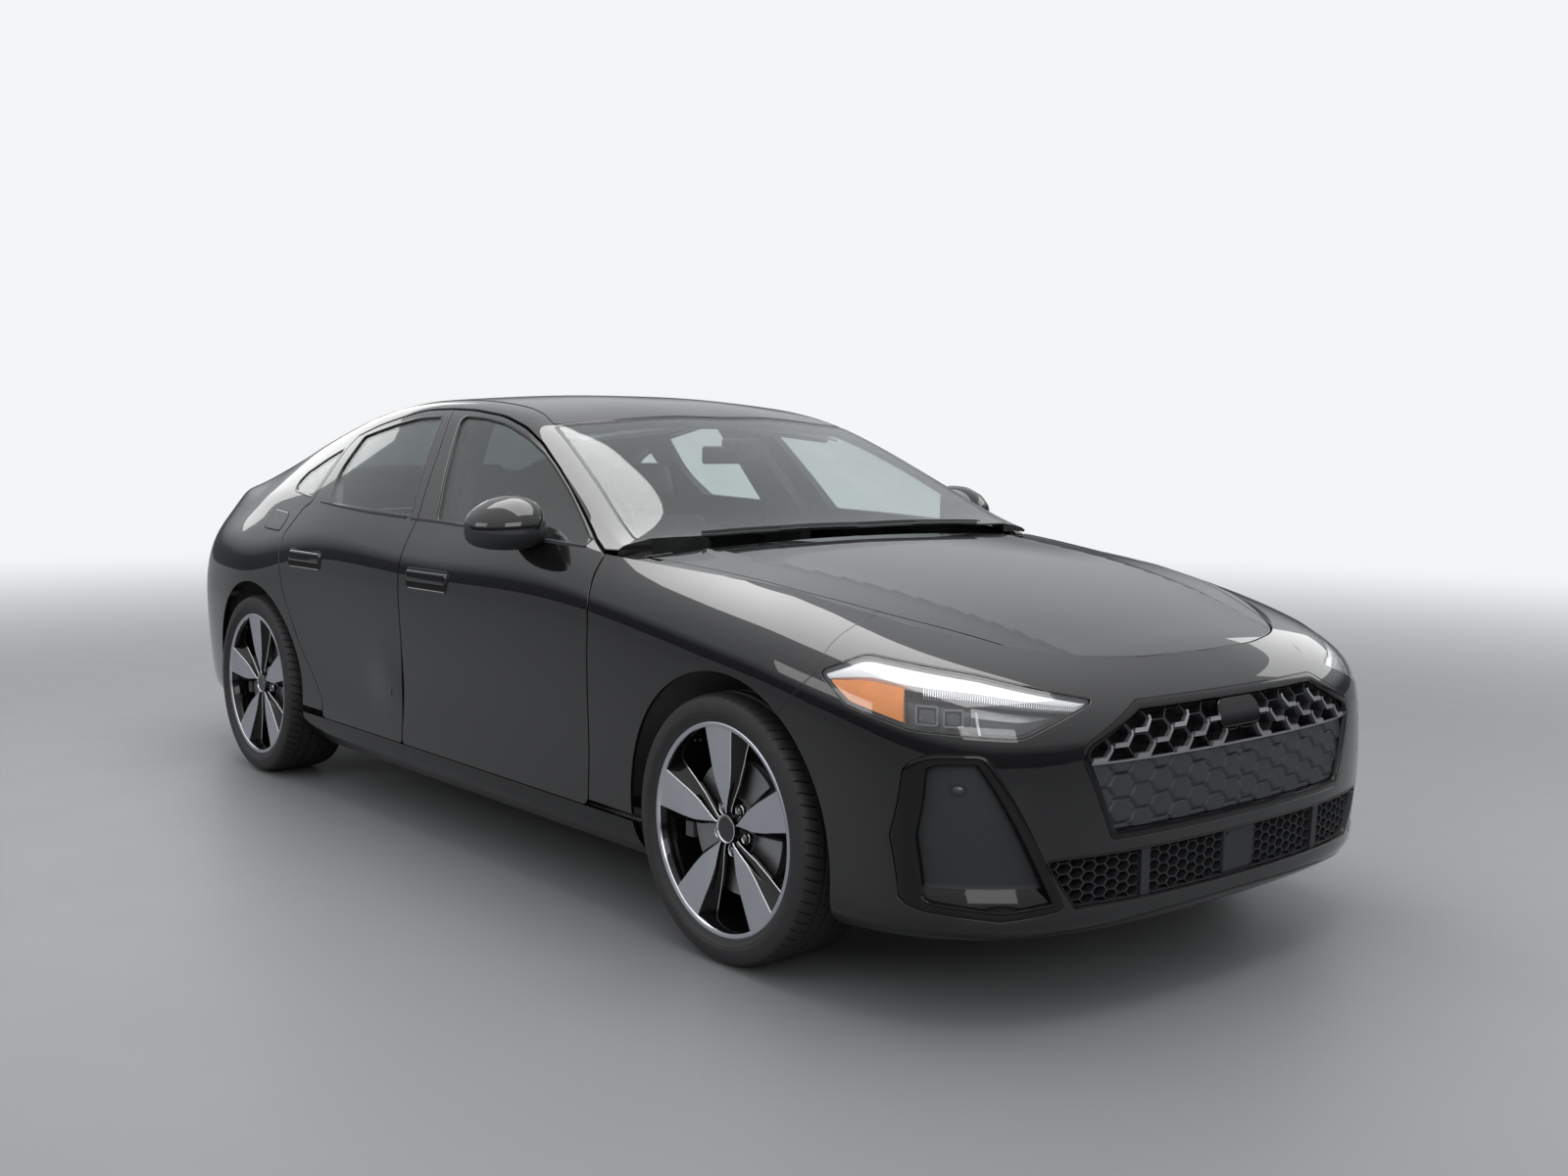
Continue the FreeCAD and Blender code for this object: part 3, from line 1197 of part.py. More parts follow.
rocker = min(rocker.cut(rocker_room).Solids, key=lambda solid: solid.CenterOfMass.y)
one_side = sill_box.fuse([rocker, bench_rest, rear_rail, hanger])
platform = clean(floor.fuse([rear_floor, tunnel, boot_floor, seat_riser, tail_wall, one_side,
                             mirrored(one_side)]).cut(tunnel_hollow))

# Wheels: tyres, rims with spokes and brake discs, and where their middles stand
spoke_count = 5
wheel_y = size.track_width / 2
wheel_places = {"front": front_axle, "rear": rear_axle}


def axis_ring(profile):
    """A ring from (radius, place along the axle) corners, turned about the Y axis."""
    points = [Vector(radius, along, 0) for radius, along in profile]
    face = Part.Face(Part.makePolygon(points + points[:1]))
    return face.revolve(Vector(0, 0, 0), Vector(0, 1, 0), 360)


rim_face_y = size.tyre_width / 2 - size.rim_inset
lip_radius = rim_radius - size.rim_lip
shell_radius = lip_radius - size.rim_shell
spoke_y = rim_face_y - size.spoke_set
disc_y = spoke_y - size.spoke_depth - size.disc_clearance
disc_back_y = disc_y - size.disc_depth


def rim_shape():
    """A left wheel's rim, spokes, centre and brake disc about its own middle, outside towards +Y."""
    barrel = axis_ring([(rim_radius, -rim_face_y), (rim_radius, rim_face_y), (lip_radius, rim_face_y),
                        (lip_radius - size.rim_shell / 2, rim_face_y - size.rim_lip),
                        (shell_radius, rim_face_y - size.rim_lip * 2), (shell_radius, -rim_face_y)])
    spokes = []
    for k in range(spoke_count):
        outline = [Vector(-size.spoke_width_inner / 2, spoke_y, 0),
                   Vector(-size.spoke_width_outer / 2, spoke_y, shell_radius + size.rim_shell / 2),
                   Vector(size.spoke_width_outer / 2, spoke_y, shell_radius + size.rim_shell / 2),
                   Vector(size.spoke_width_inner / 2, spoke_y, 0)]
        spoke = Part.Face(Part.makePolygon(outline + outline[:1])).extrude(
            Vector(0, -size.spoke_depth, 0))
        spoke.rotate(Vector(0, 0, 0), Vector(0, 1, 0), 360 / spoke_count * k)
        spokes.append(spoke)

    def disc_of(radius, outer_y, depth):
        return Part.makeCylinder(radius, depth, Vector(0, outer_y - depth, 0), Vector(0, 1, 0))

    return barrel.fuse(spokes + [
        disc_of(size.hub_radius, spoke_y - size.cap_height, size.hub_depth),
        disc_of(size.cap_radius, spoke_y + size.cap_height / 2, size.hub_depth),
        disc_of(size.disc_radius, disc_y, size.disc_depth),
        disc_of(size.hub_radius, spoke_y - size.spoke_depth / 2, size.hub_depth)])


rim = rim_shape()


def tyre_body(name, centre):
    """One tyre: a section revolved about the wheel's axis and rounded."""
    body = doc.addObject("PartDesign::Body", name)
    sketch = body.newObject("Sketcher::SketchObject", name + "Section")
    plane = [feature for feature in body.Origin.OriginFeatures if feature.Role == "XY_Plane"][0]
    sketch.AttachmentSupport = (plane, [""])
    sketch.MapMode = "FlatFace"
    half = size.tyre_width / 2
    corners = [Vector(rim_radius, -half, 0), Vector(size.tyre_radius, -half, 0),
               Vector(size.tyre_radius, half, 0), Vector(rim_radius, half, 0)]
    for k in range(4):
        sketch.addGeometry(Part.LineSegment(corners[k], corners[(k + 1) % 4]), False)
    for k in range(4):
        sketch.addConstraint(Sketcher.Constraint("Coincident", k, 2, (k + 1) % 4, 1))
    for line in (0, 2):
        sketch.addConstraint(Sketcher.Constraint("Horizontal", line))
    sketch.addConstraint(Sketcher.Constraint("Vertical", 3))
    sketch.addConstraint(Sketcher.Constraint("Symmetric", 1, 1, 1, 2, -1))
    measures = [("TreadRadius", ("DistanceX", -1, 1, 1, 1), size.tyre_radius, "Sizes.tyre_radius"),
                ("RimRadius", ("DistanceX", -1, 1, 0, 1), rim_radius, "Sizes.tyre_radius - Sizes.tyre_wall"),
                ("SectionWidth", ("DistanceY", 1, 1, 1, 2), size.tyre_width, "Sizes.tyre_width")]
    for label, parts, value, expression in measures:
        number = sketch.addConstraint(Sketcher.Constraint(*parts, value))
        sketch.renameConstraint(number, label)
        sketch.setExpression("Constraints." + label, expression)
    ring = body.newObject("PartDesign::Revolution", name + "Ring")
    ring.Profile = (sketch, [""])
    ring.ReferenceAxis = (sketch, ["V_Axis"])
    ring.Angle = 360
    doc.recompute()
    last = ring
    for label, radius_here, expression in (
            ("Shoulder", size.tyre_radius, "Sizes.tyre_shoulder_radius"),
            ("Bead", rim_radius, "Sizes.tyre_bead_radius")):
        rims = ["Edge%d" % (k + 1) for k, edge in enumerate(last.Shape.Edges)
                if hasattr(edge.Curve, "Radius") and abs(edge.Curve.Radius - radius_here) < size.joint_gap]
        fillet = body.newObject("PartDesign::Fillet", name + label)
        fillet.Base = (last, rims)
        fillet.setExpression("Radius", expression)
        doc.recompute()
        last = fillet
    body.Tip = last
    body.Placement = FreeCAD.Placement(centre, FreeCAD.Rotation())
    body.Label = name
    doc.recompute()
    pieces[name] = body


# Wheel carriers: a block inside the rim with the wheel's bearing, a brake caliper and, in front, pins
knuckle_y = wheel_y - size.kingpin_inset
knuckle_half = size.knuckle_height / 2
bearing_end = wheel_y + disc_back_y - size.pin_clearance
caliper_reach = (shell_radius + size.disc_radius) / 2
caliper_rise_share = .36
bridge_room_share = 1.03
disc_room_share = 1.02
caliper_rise = size.disc_radius * caliper_rise_share


def carrier(axle):
    """The wheel carrier of a left wheel."""
    block = box((axle - size.knuckle_width, axle + size.knuckle_width),
                (knuckle_y - size.knuckle_width / 2, knuckle_y + size.knuckle_width / 2),
                (axle_height - knuckle_half, axle_height + knuckle_half))
    bearing = Part.makeCylinder(size.hub_tube, bearing_end - knuckle_y,
                                Vector(axle, knuckle_y, axle_height), Vector(0, 1, 0))
    caliper = box((axle - caliper_reach, axle - size.knuckle_width + size.pin_clearance),
                  (knuckle_y, bearing_end), (axle_height - caliper_rise, axle_height + caliper_rise))
    bridge = box((axle - caliper_reach, axle - size.disc_radius * bridge_room_share),
                 (knuckle_y, wheel_y + disc_y + size.disc_clearance / 2),
                 (axle_height - caliper_rise, axle_height + caliper_rise))
    sweep = Part.makeCylinder(size.disc_radius * disc_room_share, size.tyre_width, Vector(axle, bearing_end, axle_height),
                              Vector(0, 1, 0))
    return block.fuse([bearing, caliper, bridge.cut(sweep)])


kingpin = Part.makeCylinder(size.kingpin_radius, size.knuckle_height + size.knuckle_width * 2,
                            Vector(front_axle, knuckle_y, axle_height - knuckle_half - size.knuckle_width))
front_knuckle = clean(carrier(front_axle).fuse(kingpin))

# Front structure: bulkhead, chassis rails, radiator panel, cross member and the pins' seats
bulkhead_top_share = .655
bulkhead_side_share = .640
front_rail_share = .30
radiator_share = .22
radiator_low_share = .17
radiator_top_share = .47
seat_cup_share = .8
cup_gap_share = .1
arm_half_share = .75
bulkhead_top = size.height * bulkhead_top_share
bulkhead_half = sill_outer - size.sill_width - size.joint_gap
bonnet_hinge_y_share = .645
bonnet_hinge_y = half_width * bonnet_hinge_y_share
bonnet_hinge_x = dash_wall_x + size.wall_depth / 2
bonnet_hinge_z = bonnet_point(bonnet_hinge_x, bonnet_hinge_y) - size.bonnet_depth - size.lid_pin * 2
cowl_half = bonnet_hinge_y - size.lid_hinge_width
bulkhead = box((dash_wall_x, dash_wall_x + size.wall_depth), (-bulkhead_half, bulkhead_half),
               (size.floor_height, size.height * bulkhead_side_share))
bulkhead = bulkhead.fuse(box((dash_wall_x, dash_wall_x + size.wall_depth), (-cowl_half, cowl_half),
                             (size.floor_height, bulkhead_top))).cut(tunnel_hollow)
front_rail_low = size.height * front_rail_share
radiator_x = half_length - size.front_overhang * radiator_share
front_rail = box((dash_wall_x + size.wall_depth, radiator_x), (rail_inner, rail_outer),
                 (front_rail_low, front_rail_low + size.rail_height))
radiator = box((radiator_x, radiator_x + size.wall_depth * 2), (-rail_y - size.rail_width, rail_y + size.rail_width),
               (size.height * radiator_low_share, size.height * radiator_top_share))
pin_span = (-size.lid_pin, size.lid_pin)
bonnet_hinges = [lid_hinge(bonnet_hinge_x, side * bonnet_hinge_y, bonnet_hinge_z,
                           (pin_span, (-size.lid_pin * 4, 0)),
                           (pin_span, (0, size.lid_pin * 2 + size.bonnet_depth / 2))) for side in (1, -1)]
hinge_stand = box((dash_wall_x, dash_wall_x + size.wall_depth),
                  (bonnet_hinge_y - size.lid_hinge_width, bonnet_hinge_y + size.lid_hinge_width),
                  (size.height * bulkhead_side_share, bonnet_hinge_z - size.lid_pin * 2))
hinge_well = box((dash_wall_x - over, dash_wall_x + over),
                 (bonnet_hinge_y - size.lid_hinge_width / 2 - size.pin_clearance,
                  bonnet_hinge_y + size.lid_hinge_width / 2 + size.pin_clearance),
                 (bonnet_hinge_z - size.lid_pin * 3, top_z))
hinge_stand = hinge_stand.cut(hinge_well)
bonnet = clean(bonnet.fuse([parts[1] for parts in bonnet_hinges]))

# The bonnet's rear corners swing back over the hinge axis, so the fender stands clear of them
corner_x = front_axle - size.wheelbase * bonnet_plan_shares[3][0]
corner_y = half_width * bonnet_plan_shares[3][1]
corner_reach = math.hypot(bonnet_hinge_x - corner_x, bonnet_point(corner_x, corner_y) - bonnet_hinge_z)
corner_room = Part.makeCylinder(corner_reach + size.lid_gap, corner_y + size.lid_gap - bonnet_hinge_y,
                                Vector(bonnet_hinge_x, bonnet_hinge_y, bonnet_hinge_z), Vector(0, 1, 0))
fender = clean(fender.cut(corner_room))
member_z = axle_height - knuckle_half - size.knuckle_width * seat_cup_share / 2 - size.joint_gap
front_member = Part.makeCylinder(size.beam_radius, rail_y * 2, Vector(front_axle, -rail_y, member_z),
                                 Vector(0, 1, 0))
lower_arm = Part.makeCylinder(size.arm_radius, knuckle_y - rail_y, Vector(front_axle, rail_y, member_z),
                              Vector(0, 1, 0))
cup_height = size.knuckle_width * seat_cup_share
cup_gap = size.knuckle_width * cup_gap_share
top_cup_z = axle_height + knuckle_half + cup_gap
low_cup_z = axle_height - knuckle_half - cup_gap - cup_height
cups = [Part.makeCylinder(size.kingpin_radius * 2, cup_height, Vector(front_axle, knuckle_y, z))
        for z in (low_cup_z, top_cup_z)]
pin_hole = Part.makeCylinder(size.kingpin_radius + size.pin_clearance, size.knuckle_height + cup_height * 4,
                             Vector(front_axle, knuckle_y, axle_height - knuckle_half - cup_height * 2))
tower_half = size.rail_width * arm_half_share
tower_z = (top_cup_z, top_cup_z + cup_height)
tower = box((front_axle - tower_half, front_axle + tower_half), (rail_inner, knuckle_y), tower_z)
tower_leg = box((front_axle - tower_half, front_axle + tower_half), (rail_inner, rail_outer),
                (front_rail_low, tower_z[1]))
member_leg = box((front_axle - size.beam_radius, front_axle + size.beam_radius), (rail_inner, rail_outer),
                 (member_z, front_rail_low))
engine_base = member_z + size.beam_radius + size.seat_gap
engine_x = dash_wall_x + size.wall_depth * 3
engine_mount = box((engine_x + size.engine_length / 4, engine_x + size.engine_length / 4 + size.rail_width),
                   (size.engine_width / 2 + size.joint_gap, rail_inner),
                   (front_rail_low, front_rail_low + size.rail_height))
one_side = lower_arm.fuse(cups + [tower]).cut(pin_hole).fuse(
    [front_rail, tower_leg, member_leg, engine_mount, hinge_stand])
front_frame = clean(bulkhead.fuse([radiator, front_member, one_side, mirrored(one_side)]
                                  + [parts[0] for parts in bonnet_hinges]))

# Rear axle: a beam between the carriers, with arms to the platform
rear_beam_share = .3
rear_beam = Part.makeCylinder(size.beam_radius, knuckle_y * 2,
                              Vector(rear_axle, -knuckle_y, axle_height - size.knuckle_height * rear_beam_share),
                              Vector(0, 1, 0))
trailing_low = axle_height - knuckle_half
trailing = box((rear_axle, seat_wall_x - size.joint_gap), (rail_inner, rail_outer),
               (trailing_low, trailing_low + size.rail_width))
rear_mount = box((rear_axle - size.beam_radius, rear_axle + size.beam_radius), (rail_inner, rail_outer),
                 (trailing_low, rail_low - size.joint_gap))
one_side = carrier(rear_axle).fuse([trailing, rear_mount])
rear_suspension = clean(rear_beam.fuse([one_side, mirrored(one_side)]))

# Doors: brackets on the posts hold the doors' knuckles between two plates
hinge_level_shares = [.325, .555]
widest_y = max(ring_pole("ridge", k).y for k in range(nose_count, first_tail_station))
hinge_y = widest_y - size.hinge_sink
post_y = half_width - size.post_setback
pillar_side = side_outline(pillar_line_shares)
hinge_levels = [share * size.height for share in hinge_level_shares]
front_hinge_x = max(point[0] for point in front_door_outline) - size.hinge_set


def line_x(points, z):
    """Place along the car of a rising outline at a height."""
    for first, second in zip(points, points[1:]):
        if min(first[1], second[1]) <= z <= max(first[1], second[1]) and first[1] != second[1]:
            return first[0] + (second[0] - first[0]) * (z - first[1]) / (second[1] - first[1])
    return points[0][0]


rear_hinge_low = line_x(pillar_side, hinge_levels[0]) - size.hinge_set
rear_hinge_high = line_x(pillar_side, hinge_levels[1]) - size.hinge_set
rear_lean = math.degrees(math.atan2(rear_hinge_high - rear_hinge_low, hinge_levels[1] - hinge_levels[0]))
hinge_neck_share = .8


def hinge(x, z, lean, front_room):
    """Bracket on the post, knuckle on the door and the room cut into the door."""
    radius = size.hinge_radius
    half = size.hinge_half
    clear = size.pin_clearance
    plate_low = half + clear
    plates = []
    for low in (plate_low, -plate_low - size.hinge_plate):
        plate = box((-radius, radius), (post_y - hinge_y, 0), (low, low + size.hinge_plate))
        plates.append(plate.fuse(Part.makeCylinder(radius, size.hinge_plate, Vector(0, 0, low))))
    back = box((-radius, radius), (post_y - hinge_y, post_y - hinge_y + size.hinge_plate),
               (-plate_low - size.hinge_plate, plate_low + size.hinge_plate))
    bracket = plates[0].fuse([plates[1], back])
    knuckle_part = Part.makeCylinder(radius, half * 2, Vector(0, 0, -half))
    arm = box((-size.hinge_room - radius, 0), (-radius * hinge_neck_share, radius * hinge_neck_share),
              (-half, half))
    knuckle_part = knuckle_part.fuse(arm)
    room = box((-size.hinge_room, front_room), (-half_width, radius + clear * 2),
               (-plate_low - size.hinge_plate * 2, plate_low + size.hinge_plate * 2))
    result = []
    for shape in (bracket, knuckle_part, room):
        shape.rotate(Vector(0, 0, 0), Vector(0, 1, 0), lean)
        shape.translate(Vector(x, hinge_y, z))
        result.append(shape)
    return result


front_hinges = [hinge(front_hinge_x, z, 0, size.hinge_set + over) for z in hinge_levels]
rear_hinges = [hinge(x, z, rear_lean, size.hinge_set + over)
               for x, z in ((rear_hinge_low, hinge_levels[0]), (rear_hinge_high, hinge_levels[1]))]
flange_tool = slab(side_surface, (side_u(12), side_u(25)), door_v, size.door_depth * 2, size.flange_depth)
flange_band = ([(x + size.flange_length, z, 0) for x, z, _ in pillar_side if z < foot_z + over]
               + [(x - size.flange_length, z, 0) for x, z, _ in pillar_side[::-1] if z < foot_z + over])
flange_tool = flange_tool.common(side_prism(flange_band))
front_door = clean(front_door.cut([flange_tool] + [parts[2] for parts in front_hinges])
                   .fuse([parts[1] for parts in front_hinges]))
rear_door = clean(rear_door.cut([parts[2] for parts in rear_hinges])
                  .fuse([parts[1] for parts in rear_hinges]))

# Posts: the front hinge posts and the middle pillars, with the hinge brackets
middle_side_shares = [(.5700, 0), (.5520, .7105), (.6090, .9640), (.6580, .9640), (.6250, .7105), (.6420, 0)]
middle_outer_shares = [(.815, .714), (.672, .874), (.590, .958)]
post_foot = sill_top + size.joint_gap
post_inner = post_y - size.pillar_depth
front_post = box((front_hinge_x - size.hinge_room, dash_wall_x - size.joint_gap), (post_inner, post_y),
                 (post_foot, size.height * bulkhead_side_share))
front_post = clean(front_post.fuse([parts[0] for parts in front_hinges]))
middle_side = [side_place(pair) + (0,) for pair in middle_side_shares]
middle_outer = [(post_y, post_foot), (post_y, bulkhead_top)]
middle_outer += [(y * half_width, z * size.height) for y, z in middle_outer_shares]
middle_front = ([(y, z, 0) for y, z in middle_outer]
                + [(y - size.pillar_depth, z, 0) for y, z in middle_outer[::-1]])
middle_pillar = side_prism(middle_side).common(front_prism(middle_front, rear_axle, front_axle))
pillar_skin = slab(side_surface, (side_u(17), side_u(26)), (belt_v, side_top), size.side_depth + size.joint_gap)
middle_pillar = middle_pillar.cut([pillar_skin, side_prism(keep_side).common(pillar_skin)])
middle_pillar = middle_pillar.Solids[0] if len(middle_pillar.Solids) == 1 else clean(middle_pillar)
middle_pillar = clean(middle_pillar.fuse([parts[0] for parts in rear_hinges]))

# Cowl below the windscreen and liners over the wheels
cowl_top_share = .6600
cowl_length_share = 4
liner_outer_share = .975
cowl = box((dash_wall_x - size.wall_depth * cowl_length_share, dash_wall_x + size.wall_depth),
           (-cowl_half, cowl_half), (bulkhead_top + size.joint_gap, size.height * cowl_top_share))


def liner(axle, inner_y, outer_y, low):
    """A half-round shell over a wheel, closed inboard."""
    start = Vector(axle, inner_y, axle_height)
    shell = Part.makeCylinder(liner_radius + size.liner_depth, outer_y - inner_y, start, Vector(0, 1, 0))
    hollow = Part.makeCylinder(liner_radius, outer_y - inner_y, start + Vector(0, size.liner_depth, 0),
                               Vector(0, 1, 0))
    upper = box((axle - liner_radius * 2, axle + liner_radius * 2), (inner_y - over, outer_y + over),
                (low, size.height))
    return shell.cut(hollow).common(upper)


tower_room = box((front_axle - tower_half - size.joint_gap, front_axle + tower_half + size.joint_gap),
                 (rail_inner, knuckle_y), (0, tower_z[1] + size.joint_gap))
front_liner = liner(front_axle, rail_outer + size.joint_gap,
                    half_width * liner_outer_share, axle_height).cut(tower_room)
front_skin = slab(ring_surface, (ring_u(4), ring_u(20)), (0, ring_top),
                  over + size.bumper_depth + size.joint_gap, -over)
rear_skin = slab(side_surface, (side_u(20), side_u(36)), (0, belt_v),
                 over + size.side_depth + size.joint_gap, -over)
front_liner = clean(front_liner.cut(front_skin))
rear_liner = clean(liner(rear_axle, inner_arch_y + size.joint_gap, half_width * liner_outer_share,
                         axle_height).cut(rear_skin))

# Engine and gearbox as one block, undertray, exhaust


def bound_body(name, lengths, radius_size, placement):
    """A rounded block as a body whose lengths and rounding follow the sheet."""
    body = doc.addObject("PartDesign::Body", name)
    block = body.newObject("PartDesign::AdditiveBox", name + "Block")
    for axis, expression in zip(("Length", "Width", "Height"), lengths):
        block.setExpression(axis, expression)
    doc.recompute()
    rounding = body.newObject("PartDesign::Fillet", name + "Round")
    rounding.Base = (block, ["Edge%d" % (k + 1) for k in range(len(block.Shape.Edges))])
    rounding.setExpression("Radius", radius_size)
    body.Tip = rounding
    body.Placement = placement
    doc.recompute()
    return body


def bound_part(kind, name, expressions, placement):
    """A plain block or cylinder whose lengths follow the sheet."""
    part = doc.addObject(kind, name)
    for axis, expression in expressions.items():
        part.setExpression(axis, expression)
    part.Placement = placement
    return part


def group(name, members):
    """Several bodies of one carrier kept as one sub-part."""
    compound = doc.addObject("Part::Compound", name)
    compound.Links = members
    compound.Label = name
    pieces[name] = compound


def level(x, y, z):
    """A placement at a point, not turned."""
    return FreeCAD.Placement(Vector(x, y, z), FreeCAD.Rotation())


group("engine", [bound_body("EngineBlock", ("Sizes.engine_length", "Sizes.engine_width", "Sizes.engine_height"),
                            "Sizes.seat_round", level(engine_x, -size.engine_width / 2, engine_base))])
tray_front_share = .19
tray_top = size.floor_height - size.joint_gap
undertray = box((dash_wall_x, half_length - size.front_overhang * tray_front_share),
                (-rail_outer, rail_outer), (tray_top - size.tray_depth, tray_top))
pipe = Part.makeCylinder(size.exhaust_radius, dash_wall_x - silencer_x, Vector(silencer_x, 0, pipe_z),
                         Vector(1, 0, 0))
silencer = Part.makeCylinder(size.silencer_radius, rail_inner * 2 - size.rail_width,
                             Vector(silencer_x, -rail_inner + size.rail_width / 2, silencer_z), Vector(0, 1, 0))
exhaust = clean(pipe.fuse(silencer))

# Seats
back_lean = 22
back_level_share = .6
recliner_set_share = .68
lean_turn = FreeCAD.Rotation(Vector(0, 1, 0), -back_lean)
seat_front_x = middle_side[0][0] + size.seat_travel_place
seat_rear_x = seat_front_x - size.cushion_length


def front_seat(side):
    """Cushion, back, head restraint and base of one front seat."""
    label = "Left" if side > 0 else "Right"
    middle = side * size.seat_spacing / 2
    edge = middle - size.seat_width / 2
    cushion = bound_body("Cushion" + label, ("Sizes.cushion_length", "Sizes.seat_width",
                                             "Sizes.cushion_height"), "Sizes.seat_round",
                         level(seat_rear_x, edge, size.seat_base_height))
    back_place = FreeCAD.Placement(
        Vector(seat_rear_x - size.seat_gap - size.back_depth, edge,
               size.seat_base_height + size.back_depth * back_level_share), lean_turn)
    back = bound_body("Back" + label, ("Sizes.back_depth", "Sizes.seat_width", "Sizes.back_height"),
                      "Sizes.seat_round", back_place)
    head = bound_body("Head" + label, ("Sizes.back_depth", "Sizes.headrest_width",
                                       "Sizes.headrest_height"), "Sizes.seat_round",
                      back_place * level(0, (size.seat_width - size.headrest_width) / 2,
                                         size.back_height + size.headrest_rise))
    members = [cushion, back, head]
    for k, place in enumerate((1, -1)):
        members.append(bound_part("Part::Cylinder", "HeadPost%s%d" % (label, k), {
            "Radius": "Sizes.headrest_post", "Height": "Sizes.headrest_rise - 2 * Sizes.joint_gap"},
            back_place * level(size.back_depth / 2, size.seat_width / 2 + place * size.headrest_width / 4,
                               size.back_height + size.joint_gap)))
        side_y = size.seat_width / 2 + place * (size.seat_width / 2 + size.joint_gap)
        members.append(bound_part("Part::Box", "Recliner%s%d" % (label, k), {
            "Length": "Sizes.recliner_length", "Width": "Sizes.hinge_plate", "Height": "Sizes.recliner_height"},
            level(seat_rear_x - size.recliner_length * recliner_set_share, edge + side_y
                  - (size.hinge_plate if place < 0 else 0),
                  size.seat_base_height + size.cushion_height / 2)))
    members.append(bound_part("Part::Box", "Pedestal" + label, {
        "Length": "Sizes.pedestal_length", "Width": "Sizes.pedestal_width",
        "Height": "Sizes.seat_base_height - Sizes.floor_height - Sizes.floor_depth - 2 * Sizes.joint_gap"},
        level(seat_rear_x + (size.cushion_length - size.pedestal_length) / 2,
              middle + side * (size.seat_width - size.pedestal_width) / 4 - size.pedestal_width / 2,
              floor_top + size.joint_gap)))
    return members


group("front_seats", front_seat(1) + front_seat(-1))
lean = math.radians(back_lean)
round_sink = size.seat_round * (math.cos(lean) + math.sin(lean) - 1)
bench = bound_body("Bench", ("Sizes.bench_length", "Sizes.bench_width", "Sizes.cushion_height"),
                   "Sizes.seat_round", level(bench_x, -size.bench_width / 2, size.bench_base_height))
bench_back = bound_body("BenchBack", ("Sizes.back_depth", "Sizes.bench_width", "Sizes.bench_back_height"),
                        "Sizes.seat_round",
                        FreeCAD.Placement(Vector(seat_wall_x - size.back_depth, -size.bench_width / 2,
                                                 boot_top + size.joint_gap - round_sink), lean_turn))
group("rear_seat", [bench, bench_back])

# Dashboard and steering wheel
dash_top_share = .634
wheel_level_share = .62
dash_rear_x = dash_wall_x - size.joint_gap - size.dash_depth
dash_top = size.height * dash_top_share
group("dashboard", [bound_body("DashBlock", ("Sizes.dash_depth", "Sizes.dash_width", "Sizes.dash_height"),
                               "Sizes.dash_round",
                               level(dash_rear_x, -size.dash_width / 2, dash_top - size.dash_height))])
tilt = math.radians(size.steering_tilt)
column_radius = size.steering_rim_radius * 2
column_run = size.column_length * math.sin(tilt) + column_radius * math.cos(tilt)
wheel_centre = Vector(dash_rear_x - size.joint_gap - column_run, size.seat_spacing / 2,
                      dash_top - size.dash_height * (1 - wheel_level_share))
steering_place = FreeCAD.Placement(wheel_centre, FreeCAD.Rotation(Vector(0, 1, 0), -size.steering_tilt))
across = FreeCAD.Rotation(Vector(0, 0, 1), 90)
steering = doc.addObject("Part::MultiFuse", "steering_wheel")
steering.Shapes = [
    bound_part("Part::Torus", "SteeringRim", {
        "Radius1": "Sizes.steering_wheel_radius", "Radius2": "Sizes.steering_rim_radius"}, steering_place),
    bound_part("Part::Cylinder", "SteeringBoss", {
        "Radius": "Sizes.steering_boss_radius", "Height": "Sizes.steering_rim_radius * 2"},
        steering_place * level(0, 0, -size.steering_rim_radius)),
    bound_part("Part::Box", "SteeringBar", {
        "Length": "Sizes.steering_wheel_radius * 2", "Width": "Sizes.steering_rim_radius * 2",
        "Height": "Sizes.steering_rim_radius"},
        steering_place * FreeCAD.Placement(
            Vector(size.steering_rim_radius, -size.steering_wheel_radius, -size.steering_rim_radius / 2), across)),
    bound_part("Part::Cylinder", "SteeringColumn", {
        "Radius": "Sizes.steering_rim_radius * 2", "Height": "Sizes.column_length"},
        steering_place * level(0, 0, -size.column_length)),
]
steering.Label = "steering_wheel"
pieces["steering_wheel"] = steering

# Door mirrors: a housing on a foot; sections run outwards, as shares of the housing's sizes
mirror_place_share = .338
mirror_level_share = .716
mirror_root_share = .925
mirror_points = 10
housing_shares = [(.10, 0, .30, 0, .30), (.06, .12, .44, 0, .44), (0, .45, .50, 0, .50),
                  (-.16, .82, .42, 0, .40), (-.30, 1, .22, 0, .20)]
foot_shares = [(.34, -.34, .26, -.50, .16), (.10, .16, .24, -.30, .20)]


def mirror_loft(shares):
    """A rounded solid through closed sections standing across the mirror."""
    wires = []
    for forward, outward, reach, up, rise in shares:
        points = []
        for k in range(mirror_points):
            angle = 2 * math.pi * k / mirror_points
            points.append(Vector(
                front_axle - size.wheelbase * mirror_place_share
                + size.mirror_depth * (forward + reach * math.cos(angle)),
                half_width * mirror_root_share + size.mirror_reach * outward,
                size.height * mirror_level_share + size.mirror_height * (up + rise * math.sin(angle))))
        curve = Part.BSplineCurve()
        curve.interpolate(points, PeriodicFlag=True)
        wires.append(Part.Wire([curve.toShape()]))
    return Part.makeLoft(wires, True, False)


mirror = clean(mirror_loft(housing_shares).fuse(mirror_loft(foot_shares)).cut(front_door))

